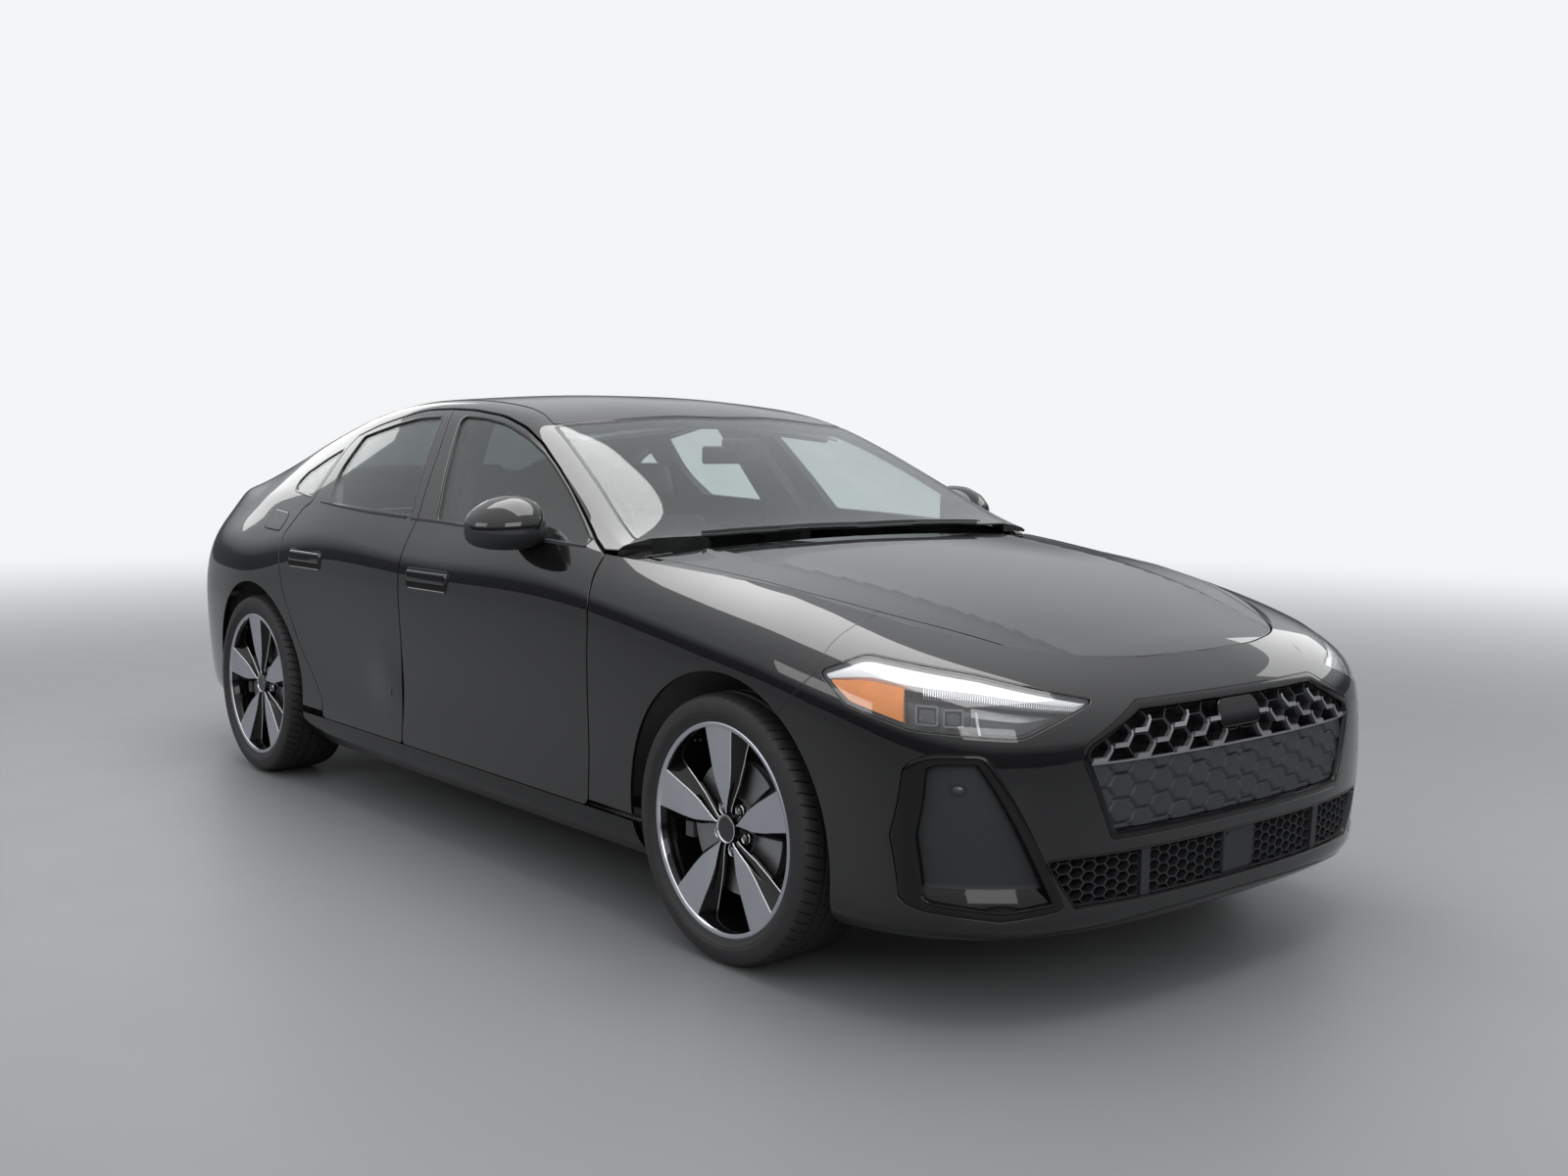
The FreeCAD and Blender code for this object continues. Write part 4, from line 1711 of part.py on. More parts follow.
# The car's sub-parts under their names
add("platform", platform)
add("front_frame", front_frame)
add("rear_suspension", rear_suspension)
add("undertray", undertray)
add("exhaust", exhaust)
add("cowl", cowl)
add("roof", roof)
add("windscreen", windscreen)
add("bonnet", bonnet)
add("tailgate", tailgate)
add("rear_window", gate_glass)
add("tailgate_lamp", tailgate_lamp)
add("front_bumper", front_bumper)
add("grille", grille)
add("lower_grille", lower_grille)
add("rear_bumper", rear_bumper)
add("diffuser", diffuser)
add("number_plate", number_plate)
add_twins("posts", front_post, middle_pillar)
add_twins("side_skirts", skirt)
add_twins("wheel_liners", front_liner, rear_liner)
add_twins("headlamps", headlamp)
add_twins("tail_lamps", tail_lamp)
add_twins("quarter_windows", quarter_glass)
add_twins("body_sides", body_side)
add_twins("fenders", fender)
add_pair("front_door", front_door)
add_pair("front_door_glass", front_glass)
add_pair("rear_door", rear_door)
add_pair("rear_door_glass", rear_glass)
add_pair("door_mirror", mirror)
add_pair("front_knuckle", front_knuckle)
for place_name, axle in wheel_places.items():
    for side_name, side in (("left", 1), ("right", -1)):
        centre = Vector(axle, side * wheel_y, axle_height)
        add("rim_%s_%s" % (place_name, side_name), rim if side > 0 else mirrored(rim), centre)
        tyre_body("tyre_%s_%s" % (place_name, side_name), centre)

doc.recompute()
for item in doc.Objects:
    if "Invalid" in item.State or "Error" in item.State:
        raise RuntimeError("%s did not build" % item.Label)
for name, item in pieces.items():
    if item.Shape.isNull() or not item.Shape.isValid():
        raise RuntimeError("%s has no valid shape" % name)
os.makedirs("parts", exist_ok=True)
for name, item in pieces.items():
    item.Shape.exportStep("parts/%s.step" % name)
print("%d sub-parts written" % len(pieces))
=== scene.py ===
import math
import bmesh
import bpy
import numpy as np
from mathutils import Matrix, Vector
from mathutils.geometry import tessellate_polygon


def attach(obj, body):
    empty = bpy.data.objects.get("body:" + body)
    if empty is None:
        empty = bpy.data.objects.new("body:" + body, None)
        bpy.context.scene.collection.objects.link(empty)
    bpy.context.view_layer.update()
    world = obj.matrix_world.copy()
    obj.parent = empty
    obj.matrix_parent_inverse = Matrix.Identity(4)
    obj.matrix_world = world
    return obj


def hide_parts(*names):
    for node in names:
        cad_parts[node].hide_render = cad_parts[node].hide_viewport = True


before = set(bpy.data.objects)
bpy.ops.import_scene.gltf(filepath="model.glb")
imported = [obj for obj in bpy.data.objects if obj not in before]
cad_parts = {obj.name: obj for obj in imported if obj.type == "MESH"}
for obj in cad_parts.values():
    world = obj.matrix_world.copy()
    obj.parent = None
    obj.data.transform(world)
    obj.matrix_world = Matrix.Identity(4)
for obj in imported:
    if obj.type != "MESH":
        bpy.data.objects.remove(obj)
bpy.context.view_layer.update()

# A four-door saloon car, dressed. Lengths are in millimetres until a mesh is made of them.
MM = 0.001

length, width, height = 4829.0, 1860.0, 1444.0
wheelbase, front_overhang = 2892.0, 880.0
tyre_radius, track = 339.0, 1596.0
half_length, half_width = length / 2, width / 2
front_axle = half_length - front_overhang
rear_axle = front_axle - wheelbase
rear_overhang = length - front_overhang - wheelbase
arch_radius = tyre_radius + 55

# The body's form: the same named shares as in the part's source
nose_sweep = [(1, 0), (1, .13), (.990, .33), (.968, .51), (.925, .67),
              (.850, .805), (.735, .905), (.590, .965), (.430, .990), (.270, 1)]
tail_sweep = [(1, 0), (1, .13), (.990, .33), (.968, .50), (.925, .65),
              (.850, .775), (.735, .870), (.590, .930), (.420, .967), (.250, .990)]
side_places = [0, .202, .531, .842, 1]
row_shares = {
    "hem": ((.153, 1, .126, .126, .125, .123),
            ((.909, .128), (.910, .129), (.910, .129), (.910, .129), (.914, .135)),
            (.118, 1, .177, .173, .163, .149)),
    "skirt": ((.016, 1, .132, .132, .133, .139),
              ((.960, .158), (.960, .161), (.960, .163), (.960, .166), (.962, .170)),
              (.028, 1, .184, .181, .173, .163)),
    "sill": ((.007, 1, .177, .177, .179, .186),
             ((.974, .216), (.965, .220), (.960, .223), (.961, .223), (.971, .223)),
             (.008, 1, .229, .227, .222, .215)),
    "tuck": ((.005, 1, .246, .246, .248, .258),
             ((.985, .298), (.965, .305), (.954, .309), (.956, .305), (.982, .298)),
             (0, 1, .305, .305, .302, .298)),
    "flank": ((0, 1, .332, .332, .339, .353),
              ((.990, .395), (.981, .416), (.972, .419), (.975, .416), (.991, .395)),
              (0, 1, .388, .388, .388, .388)),
    "bulge": ((.005, 1.05, .416, .416, .422, .438),
              ((.991, .478), (.989, .509), (.987, .516), (.990, .512), (.997, .485)),
              (.011, 1, .450, .454, .461, .471)),
    "ridge": ((.020, 1.1, .465, .468, .479, .500),
              ((.987, .546), (.990, .580), (.991, .585), (.995, .585), (.990, .561)),
              (.036, 1, .509, .516, .530, .544)),
    "shoulder": ((.059, 1.25, .504, .508, .521, .548),
                 ((.953, .600), (.974, .625), (.976, .632), (.978, .636), (.955, .627)),
                 (.052, 1, .589, .592, .602, .609)),
    "crown": ((.105, 1.6, .530, .535, .555, .590),
              ((.871, .634), (.948, .657), (.951, .668), (.948, .682), (.890, .687)),
              (.062, 1.05, .668, .668, .665, .661)),
    "edge": ((.152, 2.2, .551, .557, .580, .620),
             ((.772, .654), (.916, .684), (.920, .706), (.912, .724), (.852, .741)),
             (.072, 1.25, .729, .727, .717, .701)),
}
row_names = list(row_shares)
side_stations = 20
nose_count, tail_count = len(nose_sweep), len(tail_sweep)
last_station = nose_count + side_stations + tail_count - 1
first_tail = last_station - tail_count + 1


def through(places, values, place):
    """A smooth curve through given values."""
    place = min(max(place, places[0]), places[-1])
    slopes = [(values[k + 1] - values[k]) / (places[k + 1] - places[k]) for k in range(len(places) - 1)]
    tangents = [slopes[0]]
    for k in range(1, len(slopes)):
        before, after = places[k] - places[k - 1], places[k + 1] - places[k]
        tangents.append((after * slopes[k - 1] + before * slopes[k]) / (before + after))
    tangents.append(slopes[-1])
    k = 0
    while k < len(places) - 2 and place > places[k + 1]:
        k += 1
    span = places[k + 1] - places[k]
    part = (place - places[k]) / span
    return ((1 + 2 * part) * (1 - part) ** 2 * values[k] + part * (1 - part) ** 2 * span * tangents[k]
            + part ** 2 * (3 - 2 * part) * values[k + 1] + part ** 2 * (part - 1) * span * tangents[k + 1])


def ring_pole(name, station):
    """A control point of the lower body on the left side."""
    nose, side, tail = row_shares[name]
    nose_reach, tail_reach = front_overhang * (1 - nose[0]), rear_overhang * (1 - tail[0])
    side_first = front_axle + nose_reach * nose_sweep[-1][0] ** nose[1]
    side_last = rear_axle - tail_reach * tail_sweep[-1][0] ** tail[1]
    plain_first = front_axle + front_overhang * nose_sweep[-1][0]
    plain_last = rear_axle - rear_overhang * tail_sweep[-1][0]
    stations = [0, 3, 5, 7]
    for share in side_places:
        run = (plain_first - front_axle + share * wheelbase) / (plain_first - plain_last)
        stations.append(nose_count - 1 + (side_stations + 1) * run)
    stations += [last_station - 7, last_station - 5, last_station - 3, last_station]
    heights = list(nose[2:]) + [share for _, share in side] + list(tail[:1:-1])
    z = height * through(stations, heights, station)
    widths = [share for share, _ in side]
    if station < nose_count:
        forward, outward = nose_sweep[station]
        return (front_axle + nose_reach * forward ** nose[1], outward * half_width * widths[0], z)
    if station >= first_tail:
        rearward, outward = tail_sweep[last_station - station]
        return (rear_axle - tail_reach * rearward ** tail[1], outward * half_width * widths[-1], z)
    x = side_first + (side_last - side_first) * (station - nose_count + 1) / (side_stations + 1)
    return (x, half_width * through(side_places, widths, (front_axle - x) / wheelbase), z)


ring_poles = [[ring_pole(name, s) for name in row_names] for s in range(last_station + 1)]


def ring_row(station):
    """Control points of one station; past either centreline they are mirrored."""
    if station < 0:
        return [(x, -y, z) for x, y, z in ring_poles[-station]]
    if station > last_station:
        return [(x, -y, z) for x, y, z in ring_poles[2 * last_station - station]]
    return ring_poles[station]


crown_places = [.152, .219, .289, .358, .416, .461, .531, .600, .669, .731, .807, .923,
                1.015, 1.099, 1.188, 1.257, 1.309, 1.338]
crown_heights = [.6946, .7659, .8380, .9037, .9515, .9723, .9882, .9952, .9958, .9917, .9792,
                 .9418, .8982, .8476, .7936, .7570, .7395, .7345]
rail_places = [.185, .219, .289, .358, .436, .531, .634, .731, .842, .923, 1.015, 1.099,
               1.188, 1.257, 1.309, 1.338]
rail_widths = [.876, .844, .783, .731, .688, .669, .663, .659, .652, .647, .645, .651, .672, .704, .742, .769]
rail_heights = [.6821, .7133, .7895, .8587, .9245, .9612, .9744, .9730, .9488, .9127, .8643,
                .8137, .7618, .7271, .7078, .7008]
cross_shares = [(0, 0), (.30, 0), (.62, .38), (.86, .72), (1, 1)]
fall_shares = [.25, .60, .88]


def belt_pole(x):
    """The shoulder's upper edge at a place along the side."""
    edge = [ring_poles[k][-1] for k in range(nose_count - 1, first_tail + 2)]
    first, last = edge[0], edge[-1]
    places = [first[0] - p[0] for p in edge]
    y = through(places, [p[1] for p in edge], first[0] - x)
    z = through(places, [p[2] for p in edge], first[0] - x)
    if x < last[0]:
        run = (last[0] - x) / (last[0] + half_length)
        y = last[1] * (1 - run * .16)
        z = last[2] + (height * row_shares["edge"][2][2] - last[2]) * run
    return y, z


def section(x):
    """Half a section across the upper body, centreline first, belt last."""
    place = (front_axle - x) / wheelbase
    crown = height * through(crown_places, crown_heights, place)
    rail_y = half_width * through(rail_places, rail_widths, place)
    rail_z = height * through(rail_places, rail_heights, place)
    belt_y, belt_z = belt_pole(x)
    points = [(rail_y * across, crown - (crown - rail_z) * down) for across, down in cross_shares]
    rise = max(rail_z - belt_z, 0)
    for share in fall_shares:
        bulge = .105 * rise * share * (1 - share)
        points.append((rail_y + (belt_y - rail_y) * share + bulge,
                       rail_z + (belt_z - rail_z) * share + bulge * .6))
    points.append((belt_y, belt_z))
    return points


class Sheet:
    """A cubic surface from a grid of control points."""

    def __init__(self, rows, u_open=False):
        self.poles = np.array(rows, float)
        self.u_count, self.v_count = self.poles.shape[:2]
        self.u_knots = self.knots(self.u_count, u_open)
        self.v_knots = self.knots(self.v_count, False)

    @staticmethod
    def knots(count, is_open):
        """Knots at whole numbers, repeated at the ends unless the sheet is open."""
        if is_open:
            return np.arange(count + 4) - 2.0
        return np.concatenate([[0.0] * 3, np.arange(count - 2), [count - 3.0] * 3])

    @staticmethod
    def weights(knots, count, t):
        """The span of each place and the four cubic weights on it."""
        t = np.clip(t, knots[3], knots[count])
        k = np.clip(np.searchsorted(knots, t, side="right") - 1, 3, count - 1)
        values = [np.ones_like(t)]
        for order in range(1, 4):
            saved = np.zeros_like(t)
            grown = []
            for r in range(order):
                right = knots[k + r + 1] - t
                left = t - knots[k + 1 - order + r]
                part = values[r] / (right + left)
                grown.append(saved + right * part)
                saved = left * part
            grown.append(saved)
            values = grown
        return k, values

    def at(self, u, v):
        """Points of the surface."""
        u, v = np.atleast_1d(np.asarray(u, float)), np.atleast_1d(np.asarray(v, float))
        ku, wu = self.weights(self.u_knots, self.u_count, u)
        kv, wv = self.weights(self.v_knots, self.v_count, v)
        total = np.zeros((len(u), 3))
        for a in range(4):
            for b in range(4):
                total += (wu[a] * wv[b])[:, None] * self.poles[ku - 3 + a, kv - 3 + b]
        return total

    def normal(self, u, v, at=None):
        """Outward normals, by small steps along the surface."""
        at = at or self.at
        step = .01
        v_top = self.v_knots[self.v_count] - step
        v = np.clip(v, step, v_top)
        n = np.cross(at(u + step, v) - at(u - step, v), at(u, v + step) - at(u, v - step))
        n /= np.maximum(np.linalg.norm(n, axis=1), 1e-9)[:, None]
        outward = at(u, v) - np.array([0, 0, height * .35])
        outward[:, 0] *= .5
        n[np.einsum("ij,ij->i", n, outward) < 0] *= -1
        return n


wrap = 16
ring = Sheet([ring_row(k) for k in range(-wrap, last_station + wrap + 1)], u_open=True)


def upper_height(x, y):
    """Height of the upper body over a plan place."""
    points = section(x)
    sheet = Sheet([[(0, a, b) for a, b in points]] * 4)
    samples = sheet.at(np.zeros(200), np.linspace(0, len(points) - 3, 200))
    return float(np.interp(y, samples[:, 1], samples[:, 2]))


side_first = 11
reach_shares = [.035, .080, .125, .170, .215, .260]


def side_row(station):
    """Control points from the hem over the belt to inside the rail."""
    lower = ring_row(station)
    edge = lower[-1]
    points = list(lower)
    if station < first_tail:
        return points + [(edge[0], y, z) for y, z in section(edge[0])[::-1][1:7]]
    before, after = ring_row(station - 1)[-1], ring_row(station + 1)[-1]
    along = np.array([after[0] - before[0], after[1] - before[1]])
    along /= np.linalg.norm(along)
    inward = np.array([-along[1], along[0]])
    if inward[1] * (1 if edge[1] >= 0 else -1) > 0:
        inward = -inward
    closing = (station - first_tail + 1) / tail_count
    for share in reach_shares:
        x, y = np.array(edge[:2]) + inward * (share * (1 - .5 * closing) * half_width)
        points.append((x, y, upper_height(max(x, -half_length), abs(y))))
    return points


side = Sheet([side_row(k) for k in range(side_first, last_station)], u_open=True)
station_step = (ring_poles[nose_count - 1][-1][0] - ring_poles[first_tail][-1][0]) / (side_stations + 1)
upper_first = ring_poles[nose_count - 1][-1][0] - 2 * station_step
upper_count = int((upper_first + half_length) / station_step) + 3


def upper_row(k):
    """Control points of one full section, left belt to right belt."""
    x = upper_first - k * station_step
    half = section(x)
    return [(x, y, z) for y, z in half[::-1]] + [(x, -y, z) for y, z in half[1:]]


upper = Sheet([upper_row(k) for k in range(upper_count)], u_open=True)
bonnet_places = [-.63, -.494, -.266, 0, .302, .529, .699, .847, 1.006]
bonnet_heights = [.7036, .6981, .6856, .6662, .6371, .6080, .5803, .5519, .4986]
bonnet_reaches = [.849, .823, .790, .772, .715, .618, .527, .452, .452]
bonnet_drops = [.0237, .0246, .0249, .0212, .0197, .0187, .0180, .0139, .0111]


def bonnet_height(x, y):
    """Height of the bonnet over a plan place."""
    place = (x - front_axle) / front_overhang
    crown = height * through(bonnet_places, bonnet_heights, place)
    reach = half_width * through(bonnet_places, bonnet_reaches, place)
    drop = height * through(bonnet_places, bonnet_drops, place)
    return crown - drop * min(abs(y) / reach, 1.3) ** 2.2


def bonnet_row(k):
    """Control points of one line across the bonnet."""
    x = front_axle + (bonnet_places[0] + (bonnet_places[-1] - bonnet_places[0]) * k / 17) * front_overhang
    return [(x, y, bonnet_height(x, y)) for y in (half_width * .95 * (1 - 2 * j / 16) for j in range(17))]


lid = Sheet([bonnet_row(k) for k in range(18)])


def ring_u(station):
    """A station's place along the ring sheet."""
    return station + wrap


def side_u(station):
    """A station's place along the side sheet."""
    return station - side_first


def upper_u(x):
    """The place along the upper sheet for a place along the car."""
    return (upper_first - x) / station_step


# Outlines, as in the source
pillar_line = [(.5949, .1960, .014), (.5949, .2195, .139), (.5825, .4848, .623), (.5797, .6163, .277),
               (.5749, .7105, .042), (.6060, .8740, .623), (.6319, .9564, .003)]
front_door_shares = [
    (.2097, .1960, .021), (.1969, .5623, .277), (.2025, .6759, .008), (.2073, .6814, .004),
    (.2315, .7015, .042), (.2910, .7639, .623), (.3543, .8283, .485), (.4099, .8802, .416),
    (.4580, .9148, .416), (.5137, .9398, .554), (.5807, .9529, .623)] + pillar_line[::-1]
rear_door_shares = pillar_line + [
    (.6959, .9550, .623), (.7439, .9391, .623), (.8034, .9169, .623), (.8522, .8906, .010),
    (.8626, .8657, .014), (.8632, .7258, .021), (.8830, .7078, .014), (.9120, .6399, .042),
    (.9103, .5949, .083), (.8964, .4917, .277), (.8615, .3580, .208), (.8072, .2389, .042),
    (.8072, .1960, .017)]
front_glass_shares = [
    (.2291, .6911, .004), (.2837, .7493, .623), (.3207, .7888, .623), (.3653, .8324, .416),
    (.3989, .8622, .346), (.4469, .8954, .346), (.4991, .9217, .485), (.5472, .9342, .623),
    (.5991, .9391, .010), (.5323, .7105, .007), (.4269, .7057, .623)]
rear_glass_shares = [
    (.6437, .9377, .011), (.6993, .9342, .485), (.7516, .9190, .554), (.7924, .9037, .623),
    (.8300, .8892, .010), (.8342, .7922, .139), (.8045, .7271, .007), (.5918, .7147, .007)]
quarter_glass_shares = [
    (.8722, .8587, .007), (.9075, .8345, .346), (.9504, .7936, .011), (.9594, .7652, .021),
    (.9445, .7493, .028), (.8850, .7396, .139), (.8722, .7382, .007)]
windscreen_shares = [
    (.1634, 0, .623), (.1668, .3226, .623), (.1779, .6022, .623), (.1983, .8204, .008),
    (.2353, .7946, .416), (.2875, .7527, .485), (.3394, .7151, .485), (.3913, .6774, .416),
    (.4276, .6516, .007), (.4165, .4516, .623), (.4040, 0, .623)]
roof_shares = [
    (.4061, 0, .623), (.4186, .4516, .623), (.4303, .6452, .008), (.4729, .6086, .346),
    (.5026, .5978, .346), (.6343, .5860, .623), (.7726, .5806, .623), (.8522, .5892, .008),
    (.8510, .3226, .623), (.8500, 0, .623)]
gate_plan_shares = [
    (.8500, 0, .623), (.8510, .3226, .623), (.8522, .5892, .008), (.9800, .6150, .623),
    (1.1010, .6450, .623), (1.1880, .6560, .623), (1.2500, .6340, .416), (1.2880, .5700, .139),
    (1.3050, .5376, .020), (1.3700, .5376, .008), (1.3700, 0, 0)]
gate_face_shares = [(0, .5340, 0), (.5376, .5340, .008), (.5376, .7600, 0), (0, .7600, 0)]
gate_glass_shares = [
    (.8750, 0, .623), (.8760, .3226, .623), (.8790, .5300, .035), (.9800, .5560, .623),
    (1.0800, .5800, .623), (1.1700, .5850, .035), (1.1790, .3226, .623), (1.1810, 0, .623)]
bonnet_plan_shares = [
    (.1551, 0, .623), (.1572, .4301, .623), (.1620, .6989, .416), (.1672, .8450, .010),
    (.1500, .8290, .346), (.0800, .7880, .623), (-.0290, .7580, .623), (-.1091, .6900, .623),
    (-.1575, .6129, .623), (-.2128, .5247, .416), (-.2388, .4086, .277), (-.2540, .2366, .346),
    (-.2585, 0, .623)]
grille_shares = [(0, .2865, 0), (.4946, .2865, .020), (.5914, .4328, .030), (.3785, .4965, .030),
                 (0, .4965, 0)]
lower_mesh_shares = [(0, .1840, 0), (.5900, .1840, .010), (.6850, .2680, .010), (0, .2680, 0)]
curtain_shares = [(.6150, .1850, .010), (.7600, .1720, .020), (.9120, .1860, .030), (.9330, .3000, .040),
                  (.9180, .4280, .035), (.8000, .4310, .015)]
tail_lamp_shares = [(.5430, .6010, .004), (.8300, .6080, .010), (.8700, .6450, .012), (.5430, .6560, .004)]
gate_lamp_shares = [(0, .6080, 0), (.5320, .6010, .004), (.5320, .6560, .004), (0, .6530, 0)]
plate_shares = [(0, .3750, 0), (.2820, .3750, .006), (.2820, .4530, .006), (0, .4530, 0)]
diffuser_shares = [(0, .1400, 0), (.6200, .1400, .010), (.6800, .2350, .030), (0, .2450, 0)]
fender_joint_shares = [(-.0987, .6400), (-.1160, .5346), (-.0783, .4564)]
rear_joint_shares = [(1.0880, .4439), (1.2290, .5340)]
headlamp_shares = [(0, .5010, .004), (.1800, .4520, .040), (.4630, .4620, .050), (.6280, .4900, .010),
                   (.7110, .5350, .008), (.5870, .5640, .060), (.3000, .5400, .200)]
lamp_turn = math.radians(48)
lamp_base = np.array([front_axle + front_overhang * .9097, half_width * .5054, 0])
lamp_along = np.array([-math.sin(lamp_turn), math.cos(lamp_turn), 0])


def rounded(points):
    """An outline's line of points, with its corners rounded by their radii."""
    line = []
    count = len(points)
    for k in range(count):
        here = np.array(points[k][:2], float)
        before = np.array(points[k - 1][:2], float) - here
        after = np.array(points[(k + 1) % count][:2], float) - here
        reach = min(np.linalg.norm(before), np.linalg.norm(after)) * .49
        before /= np.linalg.norm(before)
        after /= np.linalg.norm(after)
        half = math.acos(max(-1, min(1, float(before @ after)))) / 2
        radius = points[k][2]
        trim = min(radius / math.tan(half), reach) if half < 1.5606 and radius > 0 else 0
        if trim < .05:
            line.append(here)
            continue
        radius = trim * math.tan(half)
        bisector = before + after
        bisector /= np.linalg.norm(bisector)
        centre = here + bisector * (radius / math.sin(half))
        first, last = here + before * trim - centre, here + after * trim - centre
        turn = math.atan2(first[0] * last[1] - first[1] * last[0], float(first @ last))
        steps = max(2, int(abs(turn) * radius / 9) + 1)
        start = math.atan2(first[1], first[0])
        for step in range(steps + 1):
            angle = start + turn * step / steps
            line.append(centre + radius * np.array([math.cos(angle), math.sin(angle)]))
    return np.array(line)


def distance(line, spots):
    """Signed distance to a closed line of points, positive inside it."""
    best = np.full(len(spots), 1e18)
    within = np.zeros(len(spots), bool)
    for k in range(len(line)):
        a, b = line[k - 1], line[k]
        run = b - a
        span = float(run @ run)
        if span < 1e-12:
            continue
        part = np.clip(((spots - a) @ run) / span, 0, 1)
        gap = spots - a - part[:, None] * run
        best = np.minimum(best, np.einsum("ij,ij->i", gap, gap))
        crosses = (a[1] > spots[:, 1]) != (b[1] > spots[:, 1])
        if abs(run[1]) > 1e-12:
            within ^= crosses & (spots[:, 0] < a[0] + run[0] * (spots[:, 1] - a[1]) / run[1])
    return np.sqrt(best) * np.where(within, 1, -1)


def side_line(shares):
    """An outline in the side view, from shares of wheelbase and height."""
    return rounded([(front_axle - x * wheelbase, z * height, r * height) for x, z, r in shares])


def plan_line(shares):
    """An outline in plan, from its left half."""
    half = [(front_axle - x * wheelbase, y * half_width, r * height) for x, y, r in shares]
    return rounded(half + [(a, -b, r) for a, b, r in half[::-1] if abs(b) > 1e-6])


def front_line(shares, whole=True):
    """An outline in the front view, from its left half."""
    half = [(y * half_width, z * height, r * height) for y, z, r in shares]
    return rounded(half + ([(-a, b, r) for a, b, r in half[::-1] if abs(a) > 1e-6] if whole else []))


def from_side(line):
    """Distance inside an outline of the side view."""
    return lambda p, u, v: distance(line, p[:, [0, 2]])


def from_above(line):
    """Distance inside an outline of the plan view."""
    return lambda p, u, v: distance(line, p[:, [0, 1]])


def from_front(line):
    """Distance inside an outline of the front view."""
    return lambda p, u, v: distance(line, p[:, [1, 2]])


def from_lamp(line):
    """Distance inside an outline of the lamp's own view."""
    def field(p, u, v):
        q = np.array(p)
        q[:, 1] = np.abs(q[:, 1])
        q -= lamp_base
        return distance(line, np.stack([q @ lamp_along, q[:, 2]], 1))
    return field


def circle(x, z, radius):
    """Distance inside a round arch of the side view."""
    return lambda p, u, v: radius - np.hypot(p[:, 0] - x, p[:, 2] - z)


def inside(field, gap=0.0):
    """Keeps what lies inside an outline by more than the gap."""
    return lambda p, u, v: field(p, u, v) - gap


def outside(field, gap=0.0):
    """Keeps what lies outside an outline by more than the gap."""
    return lambda p, u, v: -field(p, u, v) - gap


def unless(field, other):
    """The cut holds only where the other one is not positive."""
    return lambda p, u, v: np.maximum(field(p, u, v), other(p, u, v))


def rows_within(low, high, scale=80.0):
    """Between two rows of the surface."""
    return lambda p, u, v: np.minimum(v - low, high - v) * scale


def grid_on(sheet, u_range, v_range, step):
    """A triangle mesh in the surface's own parameters."""
    middle_v = np.full(40, sum(v_range) / 2)
    line = sheet.at(np.linspace(*u_range, 40), middle_v)
    u_steps = max(2, int(np.linalg.norm(np.diff(line, axis=0), axis=1).sum() / step))
    line = sheet.at(np.full(40, sum(u_range) / 2), np.linspace(*v_range, 40))
    v_steps = max(2, int(np.linalg.norm(np.diff(line, axis=0), axis=1).sum() / step))
    u, v = np.meshgrid(np.linspace(*u_range, u_steps + 1), np.linspace(*v_range, v_steps + 1), indexing="ij")
    spots = np.stack([u.ravel(), v.ravel()], 1)
    a = (np.arange(u_steps)[:, None] * (v_steps + 1) + np.arange(v_steps)[None, :]).ravel()
    b = a + v_steps + 1
    faces = np.concatenate([np.stack([a, b, b + 1], 1), np.stack([a, b + 1, a + 1], 1)])
    return spots, faces


def tidy(spots, rim, faces):
    """Drop the vertices that no face uses."""
    used = np.unique(faces)
    index = np.full(len(spots), -1)
    index[used] = np.arange(len(used))
    return spots[used], rim[used], index[faces]


def refine(sheet, spots, faces, cuts, times, reach):
    """Halve the faces that lie near a cut's line."""
    for _ in range(times):
        p = sheet.at(spots[:, 0], spots[:, 1])
        near = np.zeros(len(faces), bool)
        for cut in cuts:
            value = cut(p, spots[:, 0], spots[:, 1])
            near |= np.abs(value[faces]).min(1) < reach
        whole, split = faces[~near], faces[near]
        if not len(split):
            break
        edges = np.sort(np.concatenate([split[:, [0, 1]], split[:, [1, 2]], split[:, [2, 0]]]), axis=1)
        unique, back = np.unique(edges, axis=0, return_inverse=True)
        back = back.ravel()
        mids = len(spots) + back.reshape(3, -1).T
        spots = np.concatenate([spots, (spots[unique[:, 0]] + spots[unique[:, 1]]) / 2])
        a, b, c = split.T
        ab, bc, ca = mids.T
        faces = np.concatenate([whole, np.stack([a, ab, ca], 1), np.stack([ab, b, bc], 1),
                                np.stack([ca, bc, c], 1), np.stack([ab, bc, ca], 1)])
        reach /= 2
    return spots, faces


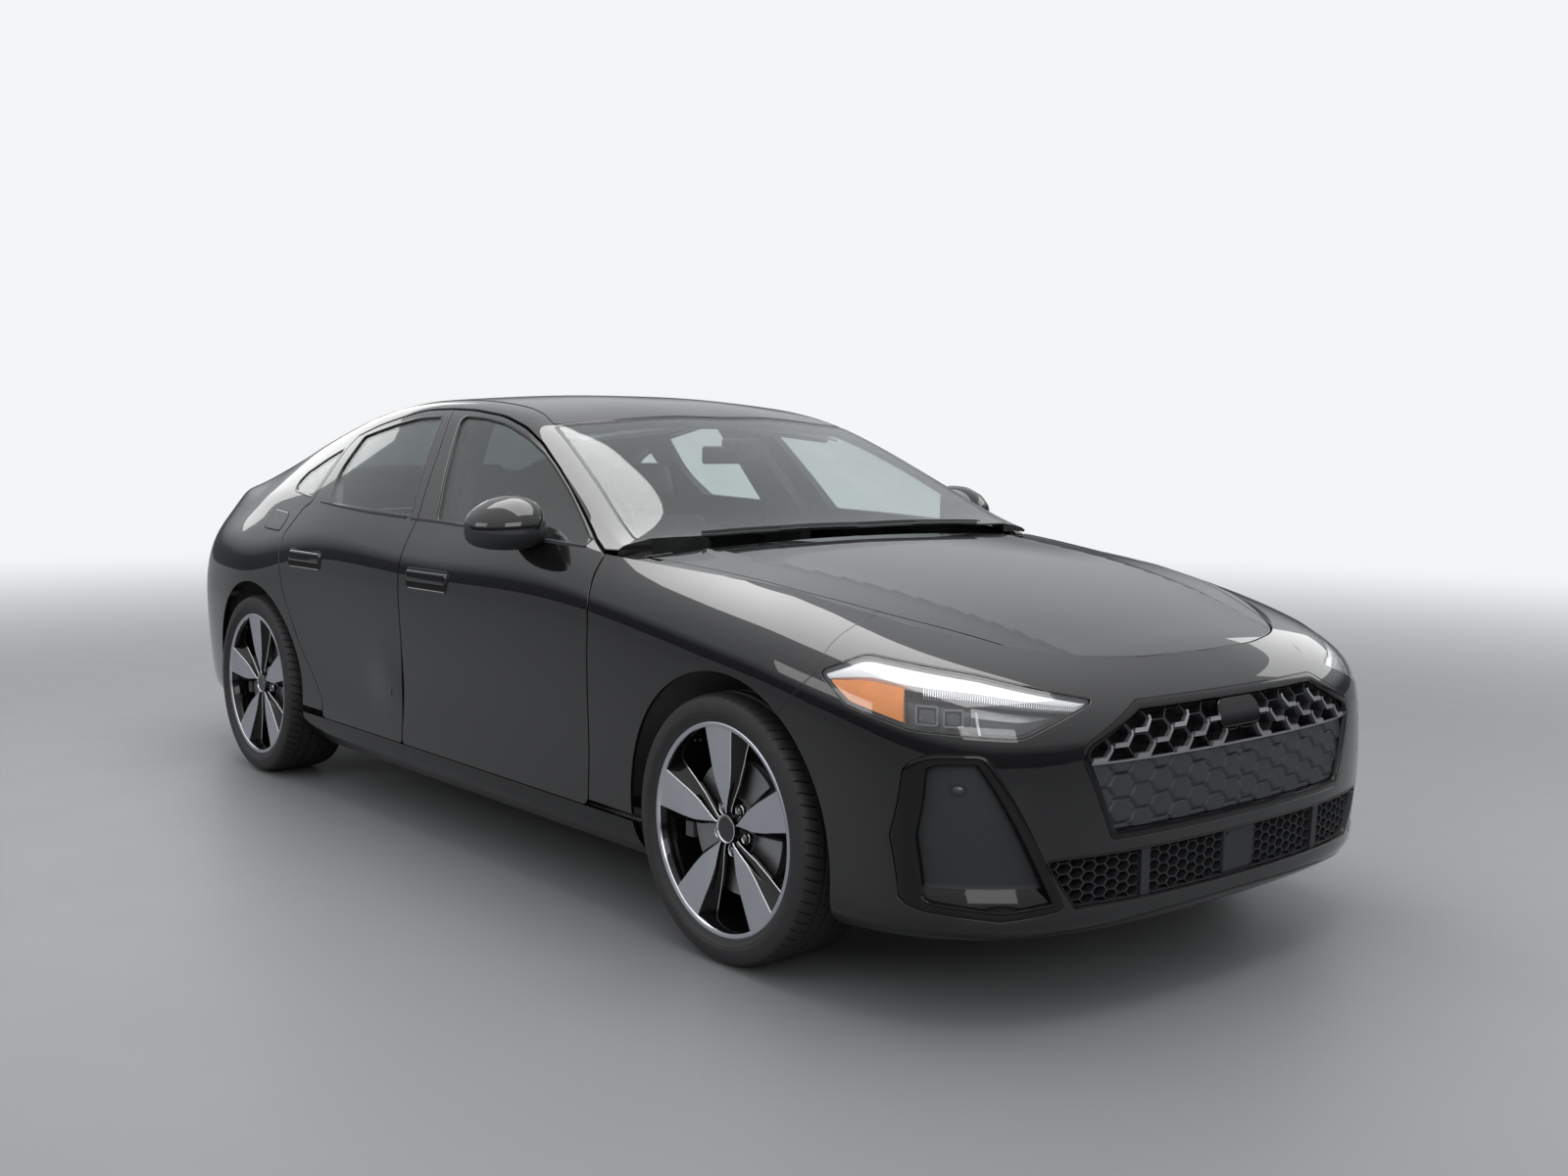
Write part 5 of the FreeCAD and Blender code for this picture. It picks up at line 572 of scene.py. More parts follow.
def clip(sheet, spots, rim, faces, cut):
    """Keep the part of the mesh where a cut's value is positive."""
    p = sheet.at(spots[:, 0], spots[:, 1])
    value = cut(p, spots[:, 0], spots[:, 1])
    keep = value >= 0
    count = keep[faces].sum(1)
    mixed = faces[(count > 0) & (count < 3)]
    whole = faces[count == 3]
    if not len(mixed):
        return tidy(spots, rim, whole)
    edges = np.sort(np.concatenate([mixed[:, [0, 1]], mixed[:, [1, 2]], mixed[:, [2, 0]]]), axis=1)
    edges = np.unique(edges[keep[edges[:, 0]] != keep[edges[:, 1]]], axis=0)
    a, b = edges.T
    low, high = spots[a], spots[b]
    low_value, high_value = value[a], value[b]
    for _ in range(3):
        part = np.clip(low_value / (low_value - high_value), .02, .98)[:, None]
        middle = low + (high - low) * part
        middle_value = cut(sheet.at(middle[:, 0], middle[:, 1]), middle[:, 0], middle[:, 1])
        same = (middle_value >= 0) == (low_value >= 0)
        low, low_value = np.where(same[:, None], middle, low), np.where(same, middle_value, low_value)
        high, high_value = np.where(same[:, None], high, middle), np.where(same, high_value, middle_value)
    part = np.clip(low_value / np.where(low_value == high_value, 1, low_value - high_value), 0, 1)[:, None]
    fresh = low + (high - low) * part
    number = {(int(i), int(j)): len(spots) + k for k, (i, j) in enumerate(edges)}
    spots = np.concatenate([spots, fresh])
    rim = np.concatenate([rim, np.ones(len(fresh), bool)])
    extra = []
    for face in mixed:
        states = keep[face]
        if states.sum() == 1:
            k = int(np.argmax(states))
            i, j, m = (int(face[(k + s) % 3]) for s in range(3))
            extra.append((i, number[tuple(sorted((i, j)))], number[tuple(sorted((i, m)))]))
        else:
            k = int(np.argmin(states))
            m, i, j = (int(face[(k + s) % 3]) for s in range(3))
            first, second = number[tuple(sorted((j, m)))], number[tuple(sorted((i, m)))]
            extra.append((i, j, first))
            extra.append((i, first, second))
    return tidy(spots, rim, np.concatenate([whole, np.array(extra)]))


def trimmed(sheet, u_range, v_range, cuts, step=34, fine=2, sink=0.0, relief=None):
    """A piece of a surface cut by outlines: points, outward normals, faces and rim flags."""
    spots, faces = grid_on(sheet, u_range, v_range, step)
    rim = np.zeros(len(spots), bool)
    p = sheet.at(spots[:, 0], spots[:, 1])
    for cut in cuts:
        value = cut(p, spots[:, 0], spots[:, 1])
        faces = faces[value[faces].max(1) > -step * 2]
    spots, rim, faces = tidy(spots, rim, faces)
    spots, faces = refine(sheet, spots, faces, cuts, fine, step)
    rim = np.zeros(len(spots), bool)
    for cut in cuts:
        spots, rim, faces = clip(sheet, spots, rim, faces, cut)
    u, v = spots.T

    def shaped(u, v):
        base = sheet.at(u, v)
        if relief is None and not sink:
            return base
        lift = (relief(base) if relief else 0) - sink
        return base + sheet.normal(u, v) * (lift[:, None] if relief else lift)

    points = shaped(u, v)
    normals = sheet.normal(u, v, shaped if relief else None)
    turn = np.cross(points[faces[:, 1]] - points[faces[:, 0]], points[faces[:, 2]] - points[faces[:, 0]])
    flip = np.einsum("ij,ij->i", turn, normals[faces[:, 0]]) < 0
    faces[flip] = faces[flip][:, ::-1]
    area = np.linalg.norm(turn, axis=1)
    return points, normals, faces[area > 1e-4], rim


def rim_edges(faces, rim):
    """The directed edges of the cut's line."""
    edges = np.concatenate([faces[:, [0, 1]], faces[:, [1, 2]], faces[:, [2, 0]]])
    key = np.sort(edges, axis=1)
    _, index, count = np.unique(key, axis=0, return_index=True, return_counts=True)
    single = edges[index[count == 1]]
    return single[rim[single[:, 0]] & rim[single[:, 1]]]


def edged(part, rings, back=None):
    """Roll the cut's edge over rings of (outward, down, normal's lean), and close the back if asked."""
    points, normals, faces, rim = part
    edges = rim_edges(faces, rim)
    outward = np.zeros_like(points)
    for a, b in ((edges[:, 0], edges[:, 1]),):
        run = points[b] - points[a]
        for end in (a, b):
            np.add.at(outward, end, np.cross(run, normals[end]))
    size_of = np.linalg.norm(outward, axis=1)
    used = np.where(size_of > 1e-9)[0]
    outward[used] /= size_of[used][:, None]
    all_points, all_normals, all_faces = [points], [normals], [faces]
    total = len(points)
    index = np.full(len(points), -1)
    index[used] = np.arange(len(used))
    before = np.arange(len(points))
    for out, down, lean in rings:
        base = points[used] + outward[used] * out - normals[used] * down
        angle = math.radians(lean)
        all_points.append(base)
        all_normals.append(normals[used] * math.cos(angle) + outward[used] * math.sin(angle))
        now = np.full(len(points), -1)
        now[used] = total + np.arange(len(used))
        a, b = edges.T
        all_faces.append(np.stack([before[a], now[a], now[b]], 1))
        all_faces.append(np.stack([before[a], now[b], before[b]], 1))
        before = now
        total += len(used)
    if back is not None:
        all_points.append(points - normals * back)
        all_normals.append(-normals)
        all_faces.append(faces[:, ::-1] + total)
        a, b = edges.T
        all_faces.append(np.stack([before[a], a + total, b + total], 1))
        all_faces.append(np.stack([before[a], b + total, before[b]], 1))
    return np.concatenate(all_points), np.concatenate(all_normals), np.concatenate(all_faces)


roll = [(.5, .08, 15), (1.1, .35, 40), (1.6, .95, 65), (1.8, 1.8, 88), (1.8, 7, 90)]
pane_roll = [(.3, .1, 35), (.5, .5, 80), (.5, 3.6, 90)]


def mesh_of(name, points, faces, normals=None, materials=(), kinds=None, smooth=None):
    """A mesh object from points in millimetres."""
    mesh = bpy.data.meshes.new(name)
    points = np.asarray(points, float) * MM
    if isinstance(faces, np.ndarray) and faces.ndim == 2:
        count, corners = faces.shape
        mesh.vertices.add(len(points))
        mesh.vertices.foreach_set("co", points.ravel())
        mesh.loops.add(count * corners)
        mesh.loops.foreach_set("vertex_index", faces.ravel().astype(np.int32))
        mesh.polygons.add(count)
        mesh.polygons.foreach_set("loop_start", np.arange(count, dtype=np.int32) * corners)
        mesh.update(calc_edges=True)
    else:
        mesh.from_pydata([tuple(p) for p in points], [], [tuple(int(i) for i in f) for f in faces])
        mesh.update()
    for item in materials:
        mesh.materials.append(item)
    if kinds is not None:
        mesh.polygons.foreach_set("material_index", np.asarray(kinds, dtype=np.int32))
    mesh.shade_smooth()
    if normals is not None:
        lengths = np.maximum(np.linalg.norm(normals, axis=1), 1e-9)[:, None]
        mesh.normals_split_custom_set_from_vertices([tuple(n) for n in normals / lengths])
    elif smooth is not None:
        mesh.set_sharp_from_angle(angle=math.radians(smooth))
    piece = bpy.data.objects.new(name, mesh)
    bpy.context.scene.collection.objects.link(piece)
    return piece


def disc_section(radius, count):
    """A round section as a closed line of points."""
    return [(radius * math.cos(a), radius * math.sin(a)) for a in np.linspace(0, 2 * math.pi, count + 1)[:-1]]


def place(piece, body, slot=None, replaces=()):
    """Rides a piece on its body and hides the nodes it replaces; the slot is not used."""
    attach(piece, body)
    if replaces:
        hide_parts(*replaces)
    return piece


def laid(name, part, material, body, slot, replaces=()):
    """A surface part made into one piece on its body."""
    place(mesh_of(name, part[0], part[2], part[1], [material]), body, slot, replaces)


def twins(name, data, materials, bodies, slot=None, replaces=None, **more):
    """A left-hand piece and its right-hand twin."""
    points, normals, faces = data
    made = [place(mesh_of(name + "_left", points, faces, normals, materials, **more), bodies[0], slot,
                  (replaces[0],) if replaces else ())]
    flip = np.array([1, -1, 1])
    made.append(place(mesh_of(name + "_right", points * flip, faces[:, ::-1],
                              None if normals is None else normals * flip, materials, **more),
                      bodies[1], slot, (replaces[1],) if replaces and len(replaces) > 1 else ()))
    return made


# Materials
def noise_material(name, colour, rough, metallic=0.0, coat=0.0, coat_rough=.03, spread=.04, scale=60.0,
                   bump=.05, rough_spread=.06, sheen=0.0, ior=1.5, distance=.0006, stretch=(1, 1, 1),
                   specular=.5, coat_ior=1.5):
    """A surface with its own grain: colour, roughness and bump vary together."""
    item = bpy.data.materials.new(name)
    item.use_nodes = True
    tree = item.node_tree
    shader = tree.nodes["Principled BSDF"]
    shader.inputs["Metallic"].default_value = metallic
    shader.inputs["Coat Weight"].default_value = coat
    shader.inputs["Coat Roughness"].default_value = coat_rough
    shader.inputs["Coat IOR"].default_value = coat_ior
    shader.inputs["Sheen Weight"].default_value = sheen
    shader.inputs["IOR"].default_value = ior
    shader.inputs["Specular IOR Level"].default_value = specular
    place_node = tree.nodes.new("ShaderNodeTexCoord")
    mapping = tree.nodes.new("ShaderNodeMapping")
    mapping.inputs["Scale"].default_value = stretch
    grain = tree.nodes.new("ShaderNodeTexNoise")
    grain.inputs["Scale"].default_value = scale
    grain.inputs["Detail"].default_value = 4
    wide = tree.nodes.new("ShaderNodeTexNoise")
    wide.inputs["Scale"].default_value = scale / 18
    tree.links.new(place_node.outputs["Object"], mapping.inputs["Vector"])
    tree.links.new(mapping.outputs["Vector"], grain.inputs["Vector"])
    tree.links.new(mapping.outputs["Vector"], wide.inputs["Vector"])
    ramp = tree.nodes.new("ShaderNodeMix")
    ramp.data_type = "RGBA"
    dark = tuple(max(0, c * (1 - spread * 2)) for c in colour) + (1,)
    light = tuple(min(1, c * (1 + spread * 2) + spread * .01) for c in colour) + (1,)
    ramp.inputs["A"].default_value = dark
    ramp.inputs["B"].default_value = light
    tree.links.new(wide.outputs["Fac"], ramp.inputs["Factor"])
    tree.links.new(ramp.outputs["Result"], shader.inputs["Base Color"])
    level = tree.nodes.new("ShaderNodeMapRange")
    level.inputs["To Min"].default_value = max(0, rough - rough_spread)
    level.inputs["To Max"].default_value = min(1, rough + rough_spread)
    tree.links.new(grain.outputs["Fac"], level.inputs["Value"])
    tree.links.new(level.outputs["Result"], shader.inputs["Roughness"])
    if bump:
        relief = tree.nodes.new("ShaderNodeBump")
        relief.inputs["Strength"].default_value = bump
        relief.inputs["Distance"].default_value = distance
        tree.links.new(grain.outputs["Fac"], relief.inputs["Height"])
        tree.links.new(relief.outputs["Normal"], shader.inputs["Normal"])
    return item


def glass_material(name, tint, clear, rough=.0):
    """Thin glass: it lets a share of the light straight through and reflects like glass."""
    item = bpy.data.materials.new(name)
    item.use_nodes = True
    tree = item.node_tree
    tree.nodes.remove(tree.nodes["Principled BSDF"])
    out = tree.nodes["Material Output"]
    through_node = tree.nodes.new("ShaderNodeBsdfTransparent")
    shine = tree.nodes.new("ShaderNodeBsdfGlossy")
    shine.inputs["Roughness"].default_value = rough
    shine.inputs["Color"].default_value = (1, 1, 1, 1)
    place_node = tree.nodes.new("ShaderNodeTexCoord")
    dust = tree.nodes.new("ShaderNodeTexNoise")
    dust.inputs["Scale"].default_value = 7
    tree.links.new(place_node.outputs["Object"], dust.inputs["Vector"])
    mix_colour = tree.nodes.new("ShaderNodeMix")
    mix_colour.data_type = "RGBA"
    mix_colour.inputs["A"].default_value = tuple(c * clear for c in tint) + (1,)
    mix_colour.inputs["B"].default_value = tuple(c * clear * .94 for c in tint) + (1,)
    tree.links.new(dust.outputs["Fac"], mix_colour.inputs["Factor"])
    tree.links.new(mix_colour.outputs["Result"], through_node.inputs["Color"])
    slant = tree.nodes.new("ShaderNodeLayerWeight")
    slant.inputs["Blend"].default_value = .5
    steep = tree.nodes.new("ShaderNodeMath")
    steep.operation = "POWER"
    steep.inputs[1].default_value = 5
    level = tree.nodes.new("ShaderNodeMapRange")
    level.inputs["To Min"].default_value, level.inputs["To Max"].default_value = .045, .9
    mix = tree.nodes.new("ShaderNodeMixShader")
    tree.links.new(slant.outputs["Facing"], steep.inputs[0])
    tree.links.new(steep.outputs[0], level.inputs["Value"])
    tree.links.new(level.outputs["Result"], mix.inputs["Fac"])
    tree.links.new(through_node.outputs["BSDF"], mix.inputs[1])
    tree.links.new(shine.outputs["BSDF"], mix.inputs[2])
    tree.links.new(mix.outputs["Shader"], out.inputs["Surface"])
    return item


paint = noise_material("paint", (.0045, .0045, .005), .24, coat=1.0, coat_rough=.012, scale=900, bump=.006,
                       rough_spread=.05, distance=.0002, specular=.02, coat_ior=1.65)
gloss = noise_material("gloss_black", (.0035, .0035, .004), .12, coat=.7, scale=400, bump=.006,
                       rough_spread=.04, distance=.0002, specular=.05)
cap_black = noise_material("cap_black", (.008, .008, .009), .3, coat=.4, scale=500, bump=.06)
matte = noise_material("matte_plastic", (.022, .023, .025), .55, scale=700, bump=.25, rough_spread=.10)
rough_plastic = noise_material("grained_plastic", (.016, .016, .017), .7, scale=1500, bump=.5,
                               rough_spread=.12)
panel_plastic = noise_material("panel_plastic", (.030, .033, .038), .5, scale=900, bump=.18, rough_spread=.08)
satin_dark = noise_material("dark_satin", (.10, .10, .105), .3, metallic=.8, scale=500, bump=.04,
                            rough_spread=.08)
lamp_grey = noise_material("lamp_cover", (.13, .135, .145), .22, coat=.6, scale=300, bump=.04)
satin = noise_material("satin_grey", (.42, .42, .44), .34, metallic=.85, scale=500, bump=.04,
                       rough_spread=.08)
machined = noise_material("machined_face", (.52, .53, .58), .34, metallic=.9, scale=160, bump=.05,
                          rough_spread=.10, stretch=(1, 8, 1))
bright = noise_material("bright_edge", (.85, .85, .86), .16, metallic=1.0, scale=300, bump=.02)
steel = noise_material("steel", (.34, .34, .35), .38, metallic=1.0, scale=120, bump=.10, spread=.10,
                       rough_spread=.12)
cast = noise_material("cast_metal", (.16, .16, .165), .6, metallic=.7, scale=220, bump=.45, spread=.12)
structure_paint = noise_material("structure_coat", (.030, .031, .033), .6, scale=160, bump=.3, spread=.15)
rubber = noise_material("tyre_rubber", (.019, .019, .020), .62, scale=420, bump=.22, spread=.12,
                        rough_spread=.10)
seal = noise_material("seal_rubber", (.008, .008, .008), .75, scale=800, bump=.2, specular=.2)
headliner = noise_material("headliner", (.30, .30, .31), .95, scale=1800, bump=.5, sheen=.3)
carpet = noise_material("carpet", (.018, .018, .019), .98, scale=1400, bump=.8, sheen=.5, spread=.2)
leather = noise_material("seat_leather", (.026, .026, .028), .48, scale=520, bump=.45, spread=.10,
                         rough_spread=.10)
soft_dash = noise_material("dash_cover", (.022, .022, .024), .62, scale=900, bump=.4)
screen = noise_material("screen_glass", (.004, .004, .006), .05, coat=1, scale=90, bump=.0, rough_spread=.02)
lamp_white = noise_material("lamp_guide", (.86, .87, .90), .20, coat=.8, scale=220, bump=.06)
lamp_dark = noise_material("lamp_bowl", (.030, .031, .034), .28, coat=.5, scale=260, bump=.05)
amber = noise_material("amber_reflector", (.90, .24, .0), .18, coat=1.0, scale=520, bump=.35, spread=.12)
red_lens = noise_material("red_lens", (.26, .006, .008), .10, coat=1.0, scale=420, bump=.10, spread=.15)
mirror_glass = noise_material("mirror_glass", (.80, .82, .84), .03, metallic=1.0, scale=80, bump=.0,
                              rough_spread=.015)
plate_white = noise_material("blank_plate", (.62, .63, .62), .45, scale=260, bump=.06)
engine_cover = noise_material("engine_plastic", (.035, .036, .038), .5, scale=420, bump=.35)
window_glass = glass_material("window_glass", (.93, .97, .96), .92)
dark_glass = glass_material("rear_glass", (.55, .60, .60), .60)
lens_glass = glass_material("lamp_lens", (1, 1, 1), .97)


class Build:
    """Collects points and faces of one piece, in millimetres."""

    def __init__(self):
        self.points, self.faces, self.kinds, self.total = [], [], [], 0

    def add(self, points, faces, kinds=0):
        """Adds points and faces; faces of four are split in two."""
        points = np.asarray(points, float)
        faces = np.asarray(faces, int)
        kinds = np.broadcast_to(np.asarray(kinds), len(faces)).copy()
        if faces.shape[1] == 4:
            faces = np.concatenate([faces[:, [0, 1, 2]], faces[:, [0, 2, 3]]])
            kinds = np.concatenate([kinds, kinds])
        self.points.append(points)
        self.faces.append(faces + self.total)
        self.kinds.append(kinds)
        self.total += len(points)
        return self

    def grid(self, rows, kinds=0, ring_rows=False, ring_line=False, caps=None):
        """Rows of points joined by faces; kinds may be one per step along a row."""
        rows = np.asarray(rows, float)
        n, m = rows.shape[:2]
        i = np.arange(n if ring_rows else n - 1)
        j = np.arange(m if ring_line else m - 1)
        a, b = np.meshgrid(i, j, indexing="ij")
        a, b = a.ravel(), b.ravel()
        c, d = (a + 1) % n, (b + 1) % m
        faces = np.stack([a * m + b, c * m + b, c * m + d, a * m + d], 1)
        along = np.broadcast_to(np.asarray(kinds), len(j))
        self.add(rows.reshape(-1, 3), faces, along[b])
        if caps is not None:
            for row, turn in ((rows[0], 1), (rows[-1], -1)):
                self.fan(row[::turn], caps)
        return self

    def fan(self, loop, kind=0, dish=None):
        """Close a loop of points with triangles to its middle."""
        loop = np.asarray(loop, float)
        middle = loop.mean(0) if dish is None else np.asarray(dish, float)
        count = len(loop)
        k = np.arange(count)
        return self.add(np.concatenate([loop, [middle]]),
                        np.stack([k, (k + 1) % count, np.full(count, count)], 1), kind)

    def flat(self, loop, kind=0):
        """Close any plane loop, also a hollow one."""
        loop = [Vector(p) for p in np.asarray(loop, float)]
        return self.add(loop, tessellate_polygon([loop]), kind)

    def lathe(self, profile, kinds=0, steps=96, closed=False, first=0.0, last=360.0, centre=(0, 0, 0)):
        """Turn a profile of (radius, y) about the y axis."""
        profile = np.asarray(profile, float)
        whole = abs(last - first) >= 360
        turns = np.radians(np.linspace(first, last, steps + 1))
        turns = turns[:-1] if whole else turns
        rows = np.stack([profile[None, :, 0] * np.sin(turns)[:, None],
                         np.broadcast_to(profile[None, :, 1], (len(turns), len(profile))),
                         profile[None, :, 0] * np.cos(turns)[:, None]], 2) + np.array(centre)
        return self.grid(rows, kinds, ring_rows=whole, ring_line=closed)

    def sweep(self, path, section, kinds=0, up=(0, 0, 1), closed=False, caps=None):
        """Carry a closed section of (across, up) along a path."""
        path = np.asarray(path, float)
        ahead = np.roll(path, -1, 0) - np.roll(path, 1, 0)
        if not closed:
            ahead[0], ahead[-1] = path[1] - path[0], path[-1] - path[-2]
        ahead /= np.maximum(np.linalg.norm(ahead, axis=1), 1e-9)[:, None]
        up = np.broadcast_to(np.asarray(up, float), path.shape)
        across = np.cross(ahead, up)
        across /= np.maximum(np.linalg.norm(across, axis=1), 1e-9)[:, None]
        over = np.cross(across, ahead)
        section = np.asarray(section, float)
        rows = (path[:, None] + across[:, None] * section[None, :, :1] + over[:, None] * section[None, :, 1:])
        return self.grid(rows, kinds, ring_rows=closed, ring_line=True, caps=caps)

    def block(self, low, high, radius=0, kind=0, steps=3):
        """A box with rounded edges along all its sides."""
        low, high = np.asarray(low, float), np.asarray(high, float)
        radius = min(radius, *(np.abs(high - low) / 2.02))
        if radius <= 0:
            corners = np.array([[x, y, z] for x in (low[0], high[0]) for y in (low[1], high[1])
                                for z in (low[2], high[2])])
            return self.add(corners, [(0, 1, 3, 2), (4, 6, 7, 5), (0, 4, 5, 1), (2, 3, 7, 6), (0, 2, 6, 4),
                                      (1, 5, 7, 3)], kind)
        rows = []
        angles = np.linspace(0, math.pi / 2, steps + 1)
        stack = [(math.sin(a) * radius, low[2] + radius - math.cos(a) * radius) for a in angles]
        stack += [(math.cos(a) * radius, high[2] - radius + math.sin(a) * radius) for a in angles]
        for out, z in stack:
            row = []
            for k, (x, y) in enumerate(((high[0], high[1]), (low[0], high[1]), (low[0], low[1]),
                                        (high[0], low[1]))):
                x += -radius if x == high[0] else radius
                y += -radius if y == high[1] else radius
                for a in angles:
                    turn = a + k * math.pi / 2
                    row.append((x + math.cos(turn) * out, y + math.sin(turn) * out, z))
            rows.append(row)
        return self.grid(rows, kind, ring_line=True, caps=kind)

    def moved(self, matrix):
        """Turns and moves what has been collected so far."""
        matrix = np.array(matrix, float)
        self.points = [p @ matrix[:3, :3].T + matrix[:3, 3] for p in self.points]
        return self

    def make(self, name, materials, smooth=32):
        """Makes the piece, with its faces turned outward."""
        piece = mesh_of(name, np.concatenate(self.points), np.concatenate(self.faces), None, materials,
                        np.concatenate(self.kinds), smooth)
        work = bmesh.new()
        work.from_mesh(piece.data)
        bmesh.ops.remove_doubles(work, verts=work.verts, dist=1e-6)
        bmesh.ops.recalc_face_normals(work, faces=work.faces)
        work.to_mesh(piece.data)
        work.free()
        piece.data.set_sharp_from_angle(angle=math.radians(smooth))
        return piece


def twin_build(name, build, materials, bodies, slot=None, replaces=None, smooth=32):
    """A left-hand piece and its mirrored twin."""
    left = build.make(name + "_left", materials, smooth)
    place(left, bodies[0], slot, (replaces[0],) if replaces else ())
    build.points = [p * np.array([1, -1, 1]) for p in build.points]
    right = build.make(name + "_right", materials, smooth)
    place(right, bodies[1], slot, (replaces[1],) if replaces and len(replaces) > 1 else ())
    return left, right


def locate(sheet, targets, axes, u_range, v_range):
    """Parameters of the surface's points with given coordinates along two axes."""
    targets = np.asarray(targets, float)
    view = axes if callable(axes) else lambda p: p[:, axes]
    u, v = np.meshgrid(np.linspace(*u_range, 90), np.linspace(*v_range, 60), indexing="ij")
    u, v = u.ravel(), v.ravel()
    known = view(sheet.at(u, v))
    start = np.array([int(np.argmin(((known - t) ** 2).sum(1))) for t in targets])
    spot = np.stack([u[start], v[start]], 1)
    step = .002
    for _ in range(7):
        here = view(sheet.at(spot[:, 0], spot[:, 1]))
        by_u = (view(sheet.at(spot[:, 0] + step, spot[:, 1])) - here) / step
        by_v = (view(sheet.at(spot[:, 0], spot[:, 1] + step)) - here) / step
        gap = targets - here
        det = by_u[:, 0] * by_v[:, 1] - by_u[:, 1] * by_v[:, 0]
        det = np.where(np.abs(det) < 1e-6, 1e-6, det)
        move = np.stack([(gap[:, 0] * by_v[:, 1] - gap[:, 1] * by_v[:, 0]) / det,
                         (by_u[:, 0] * gap[:, 1] - by_u[:, 1] * gap[:, 0]) / det], 1)
        spot += np.clip(move, -1, 1)
        spot[:, 0] = np.clip(spot[:, 0], *u_range)
        spot[:, 1] = np.clip(spot[:, 1], v_range[0], v_range[1] - 1e-4)
    return spot[:, 0], spot[:, 1]


def on_nose(yz, lift=0.0):
    """Points of the nose over places in the front view, lifted along the normal."""
    u, v = locate(ring, yz, [1, 2], (ring_u(-12), ring_u(12)), (0, ring_top))
    return ring.at(u, v) + ring.normal(u, v) * np.reshape(lift, (-1, 1))


def on_tail(yz, lift=0.0):
    """Points of the tail over places in the rear view."""
    u, v = locate(ring, yz, [1, 2], (ring_u(last_station - 12), ring_u(last_station + 12)), (0, ring_top))
    return ring.at(u, v) + ring.normal(u, v) * np.reshape(lift, (-1, 1))


def on_flank(xz, lift=0.0):
    """Points of the flank over places in the side view."""
    u, v = locate(side, xz, [0, 2], (side_u(12), side_u(35)), (0, side_top))
    return side.at(u, v) + side.normal(u, v) * np.reshape(lift, (-1, 1))


def on_upper(xy, lift=0.0):
    """Points of the upper body over places in plan."""
    u, v = locate(upper, xy, [0, 1], (upper_u(1150), upper_u(-2380)), (0, upper_top))
    return upper.at(u, v) + upper.normal(u, v) * np.reshape(lift, (-1, 1))


def resampled(line, step, closed=True):
    """The line again with points at even steps, its corners kept near enough."""
    line = np.asarray(line, float)
    if closed:
        line = np.concatenate([line, line[:1]])
    lengths = np.concatenate([[0], np.cumsum(np.linalg.norm(np.diff(line, axis=0), axis=1))])
    count = max(4, int(lengths[-1] / step))
    places = np.linspace(0, lengths[-1], count, endpoint=not closed)
    return np.stack([np.interp(places, lengths, line[:, k]) for k in range(line.shape[1])], 1)


def inset_line(line, gap):
    """A closed plane line moved inwards; outwards where the gap is negative."""
    line = np.asarray(line, float)
    before, after = line - np.roll(line, 1, 0), np.roll(line, -1, 0) - line
    before /= np.maximum(np.linalg.norm(before, axis=1), 1e-9)[:, None]
    after /= np.maximum(np.linalg.norm(after, axis=1), 1e-9)[:, None]
    area = (line[:, 0] * np.roll(line[:, 1], -1) - np.roll(line[:, 0], -1) * line[:, 1]).sum()
    turn = 1 if area > 0 else -1
    normal = np.stack([-(before[:, 1] + after[:, 1]), before[:, 0] + after[:, 0]], 1) * turn
    size_of = np.maximum((normal ** 2).sum(1), .35)[:, None]
    return line + normal * 2 / size_of * gap


def rolled_band(build, line, rings, where, kinds=0):
    """A band along a closed outline: rings of (inset, lift) laid on a surface."""
    rows = [where(inset_line(line, inset), lift) for inset, lift in rings]
    rows = np.stack(rows, 1)
    return build.grid(rows, kinds, ring_rows=True)


def filled(line, step, where, lift, build, kind=0):
    """Fill an outline on a surface with a fine grid of triangles clipped to it."""
    low, high = line.min(0), line.max(0)
    counts = np.maximum(2, ((high - low) / step).astype(int))
    a, b = np.meshgrid(np.linspace(low[0], high[0], counts[0] + 1),
                       np.linspace(low[1], high[1], counts[1] + 1), indexing="ij")
    spots = np.stack([a.ravel(), b.ravel()], 1)
    n = counts[1] + 1
    i, j = np.meshgrid(np.arange(counts[0]), np.arange(counts[1]), indexing="ij")
    k = (i * n + j).ravel()
    faces = np.concatenate([np.stack([k, k + n, k + n + 1], 1), np.stack([k, k + n + 1, k + 1], 1)])
    plane = Plane()
    rim = np.zeros(len(spots), bool)
    spots, rim, faces = clip(plane, spots, rim, faces, lambda p, u, v: distance(line, np.stack([u, v], 1)))
    build.add(where(spots, lift(spots) if callable(lift) else lift), faces, kind)
    return spots, faces


class Plane:
    """A flat stand-in for a surface, where parameters are the places themselves."""

    @staticmethod
    def at(u, v):
        return np.stack([u, v, np.zeros_like(u)], 1)


# Camera at the photograph's place
scene = bpy.context.scene
camera_data = bpy.data.cameras.new("photo_camera")
camera_data.sensor_width = 36
camera_data.lens = 36.9
camera = bpy.data.objects.new("photo_camera", camera_data)
azimuth, elevation, bank = math.radians(49.896), math.radians(5.535), math.radians(-.523)
backward = Vector((math.sin(azimuth) * math.cos(elevation), -math.cos(azimuth) * math.cos(elevation),
                   math.sin(elevation)))
across = (-backward).cross(Vector((0, 0, 1))).normalized()
upward = across.cross(-backward)
turned_across = across * math.cos(bank) - upward * math.sin(bank)
turned_up = across * math.sin(bank) + upward * math.cos(bank)
frame_matrix = Matrix((turned_across, turned_up, backward)).transposed().to_4x4()
frame_matrix.translation = Vector((4.59508, -3.28625, 1.31348))
camera.matrix_world = frame_matrix
camera_data.clip_end = 200
scene.collection.objects.link(camera)
scene.camera = camera
scene.view_settings.view_transform = "Standard"

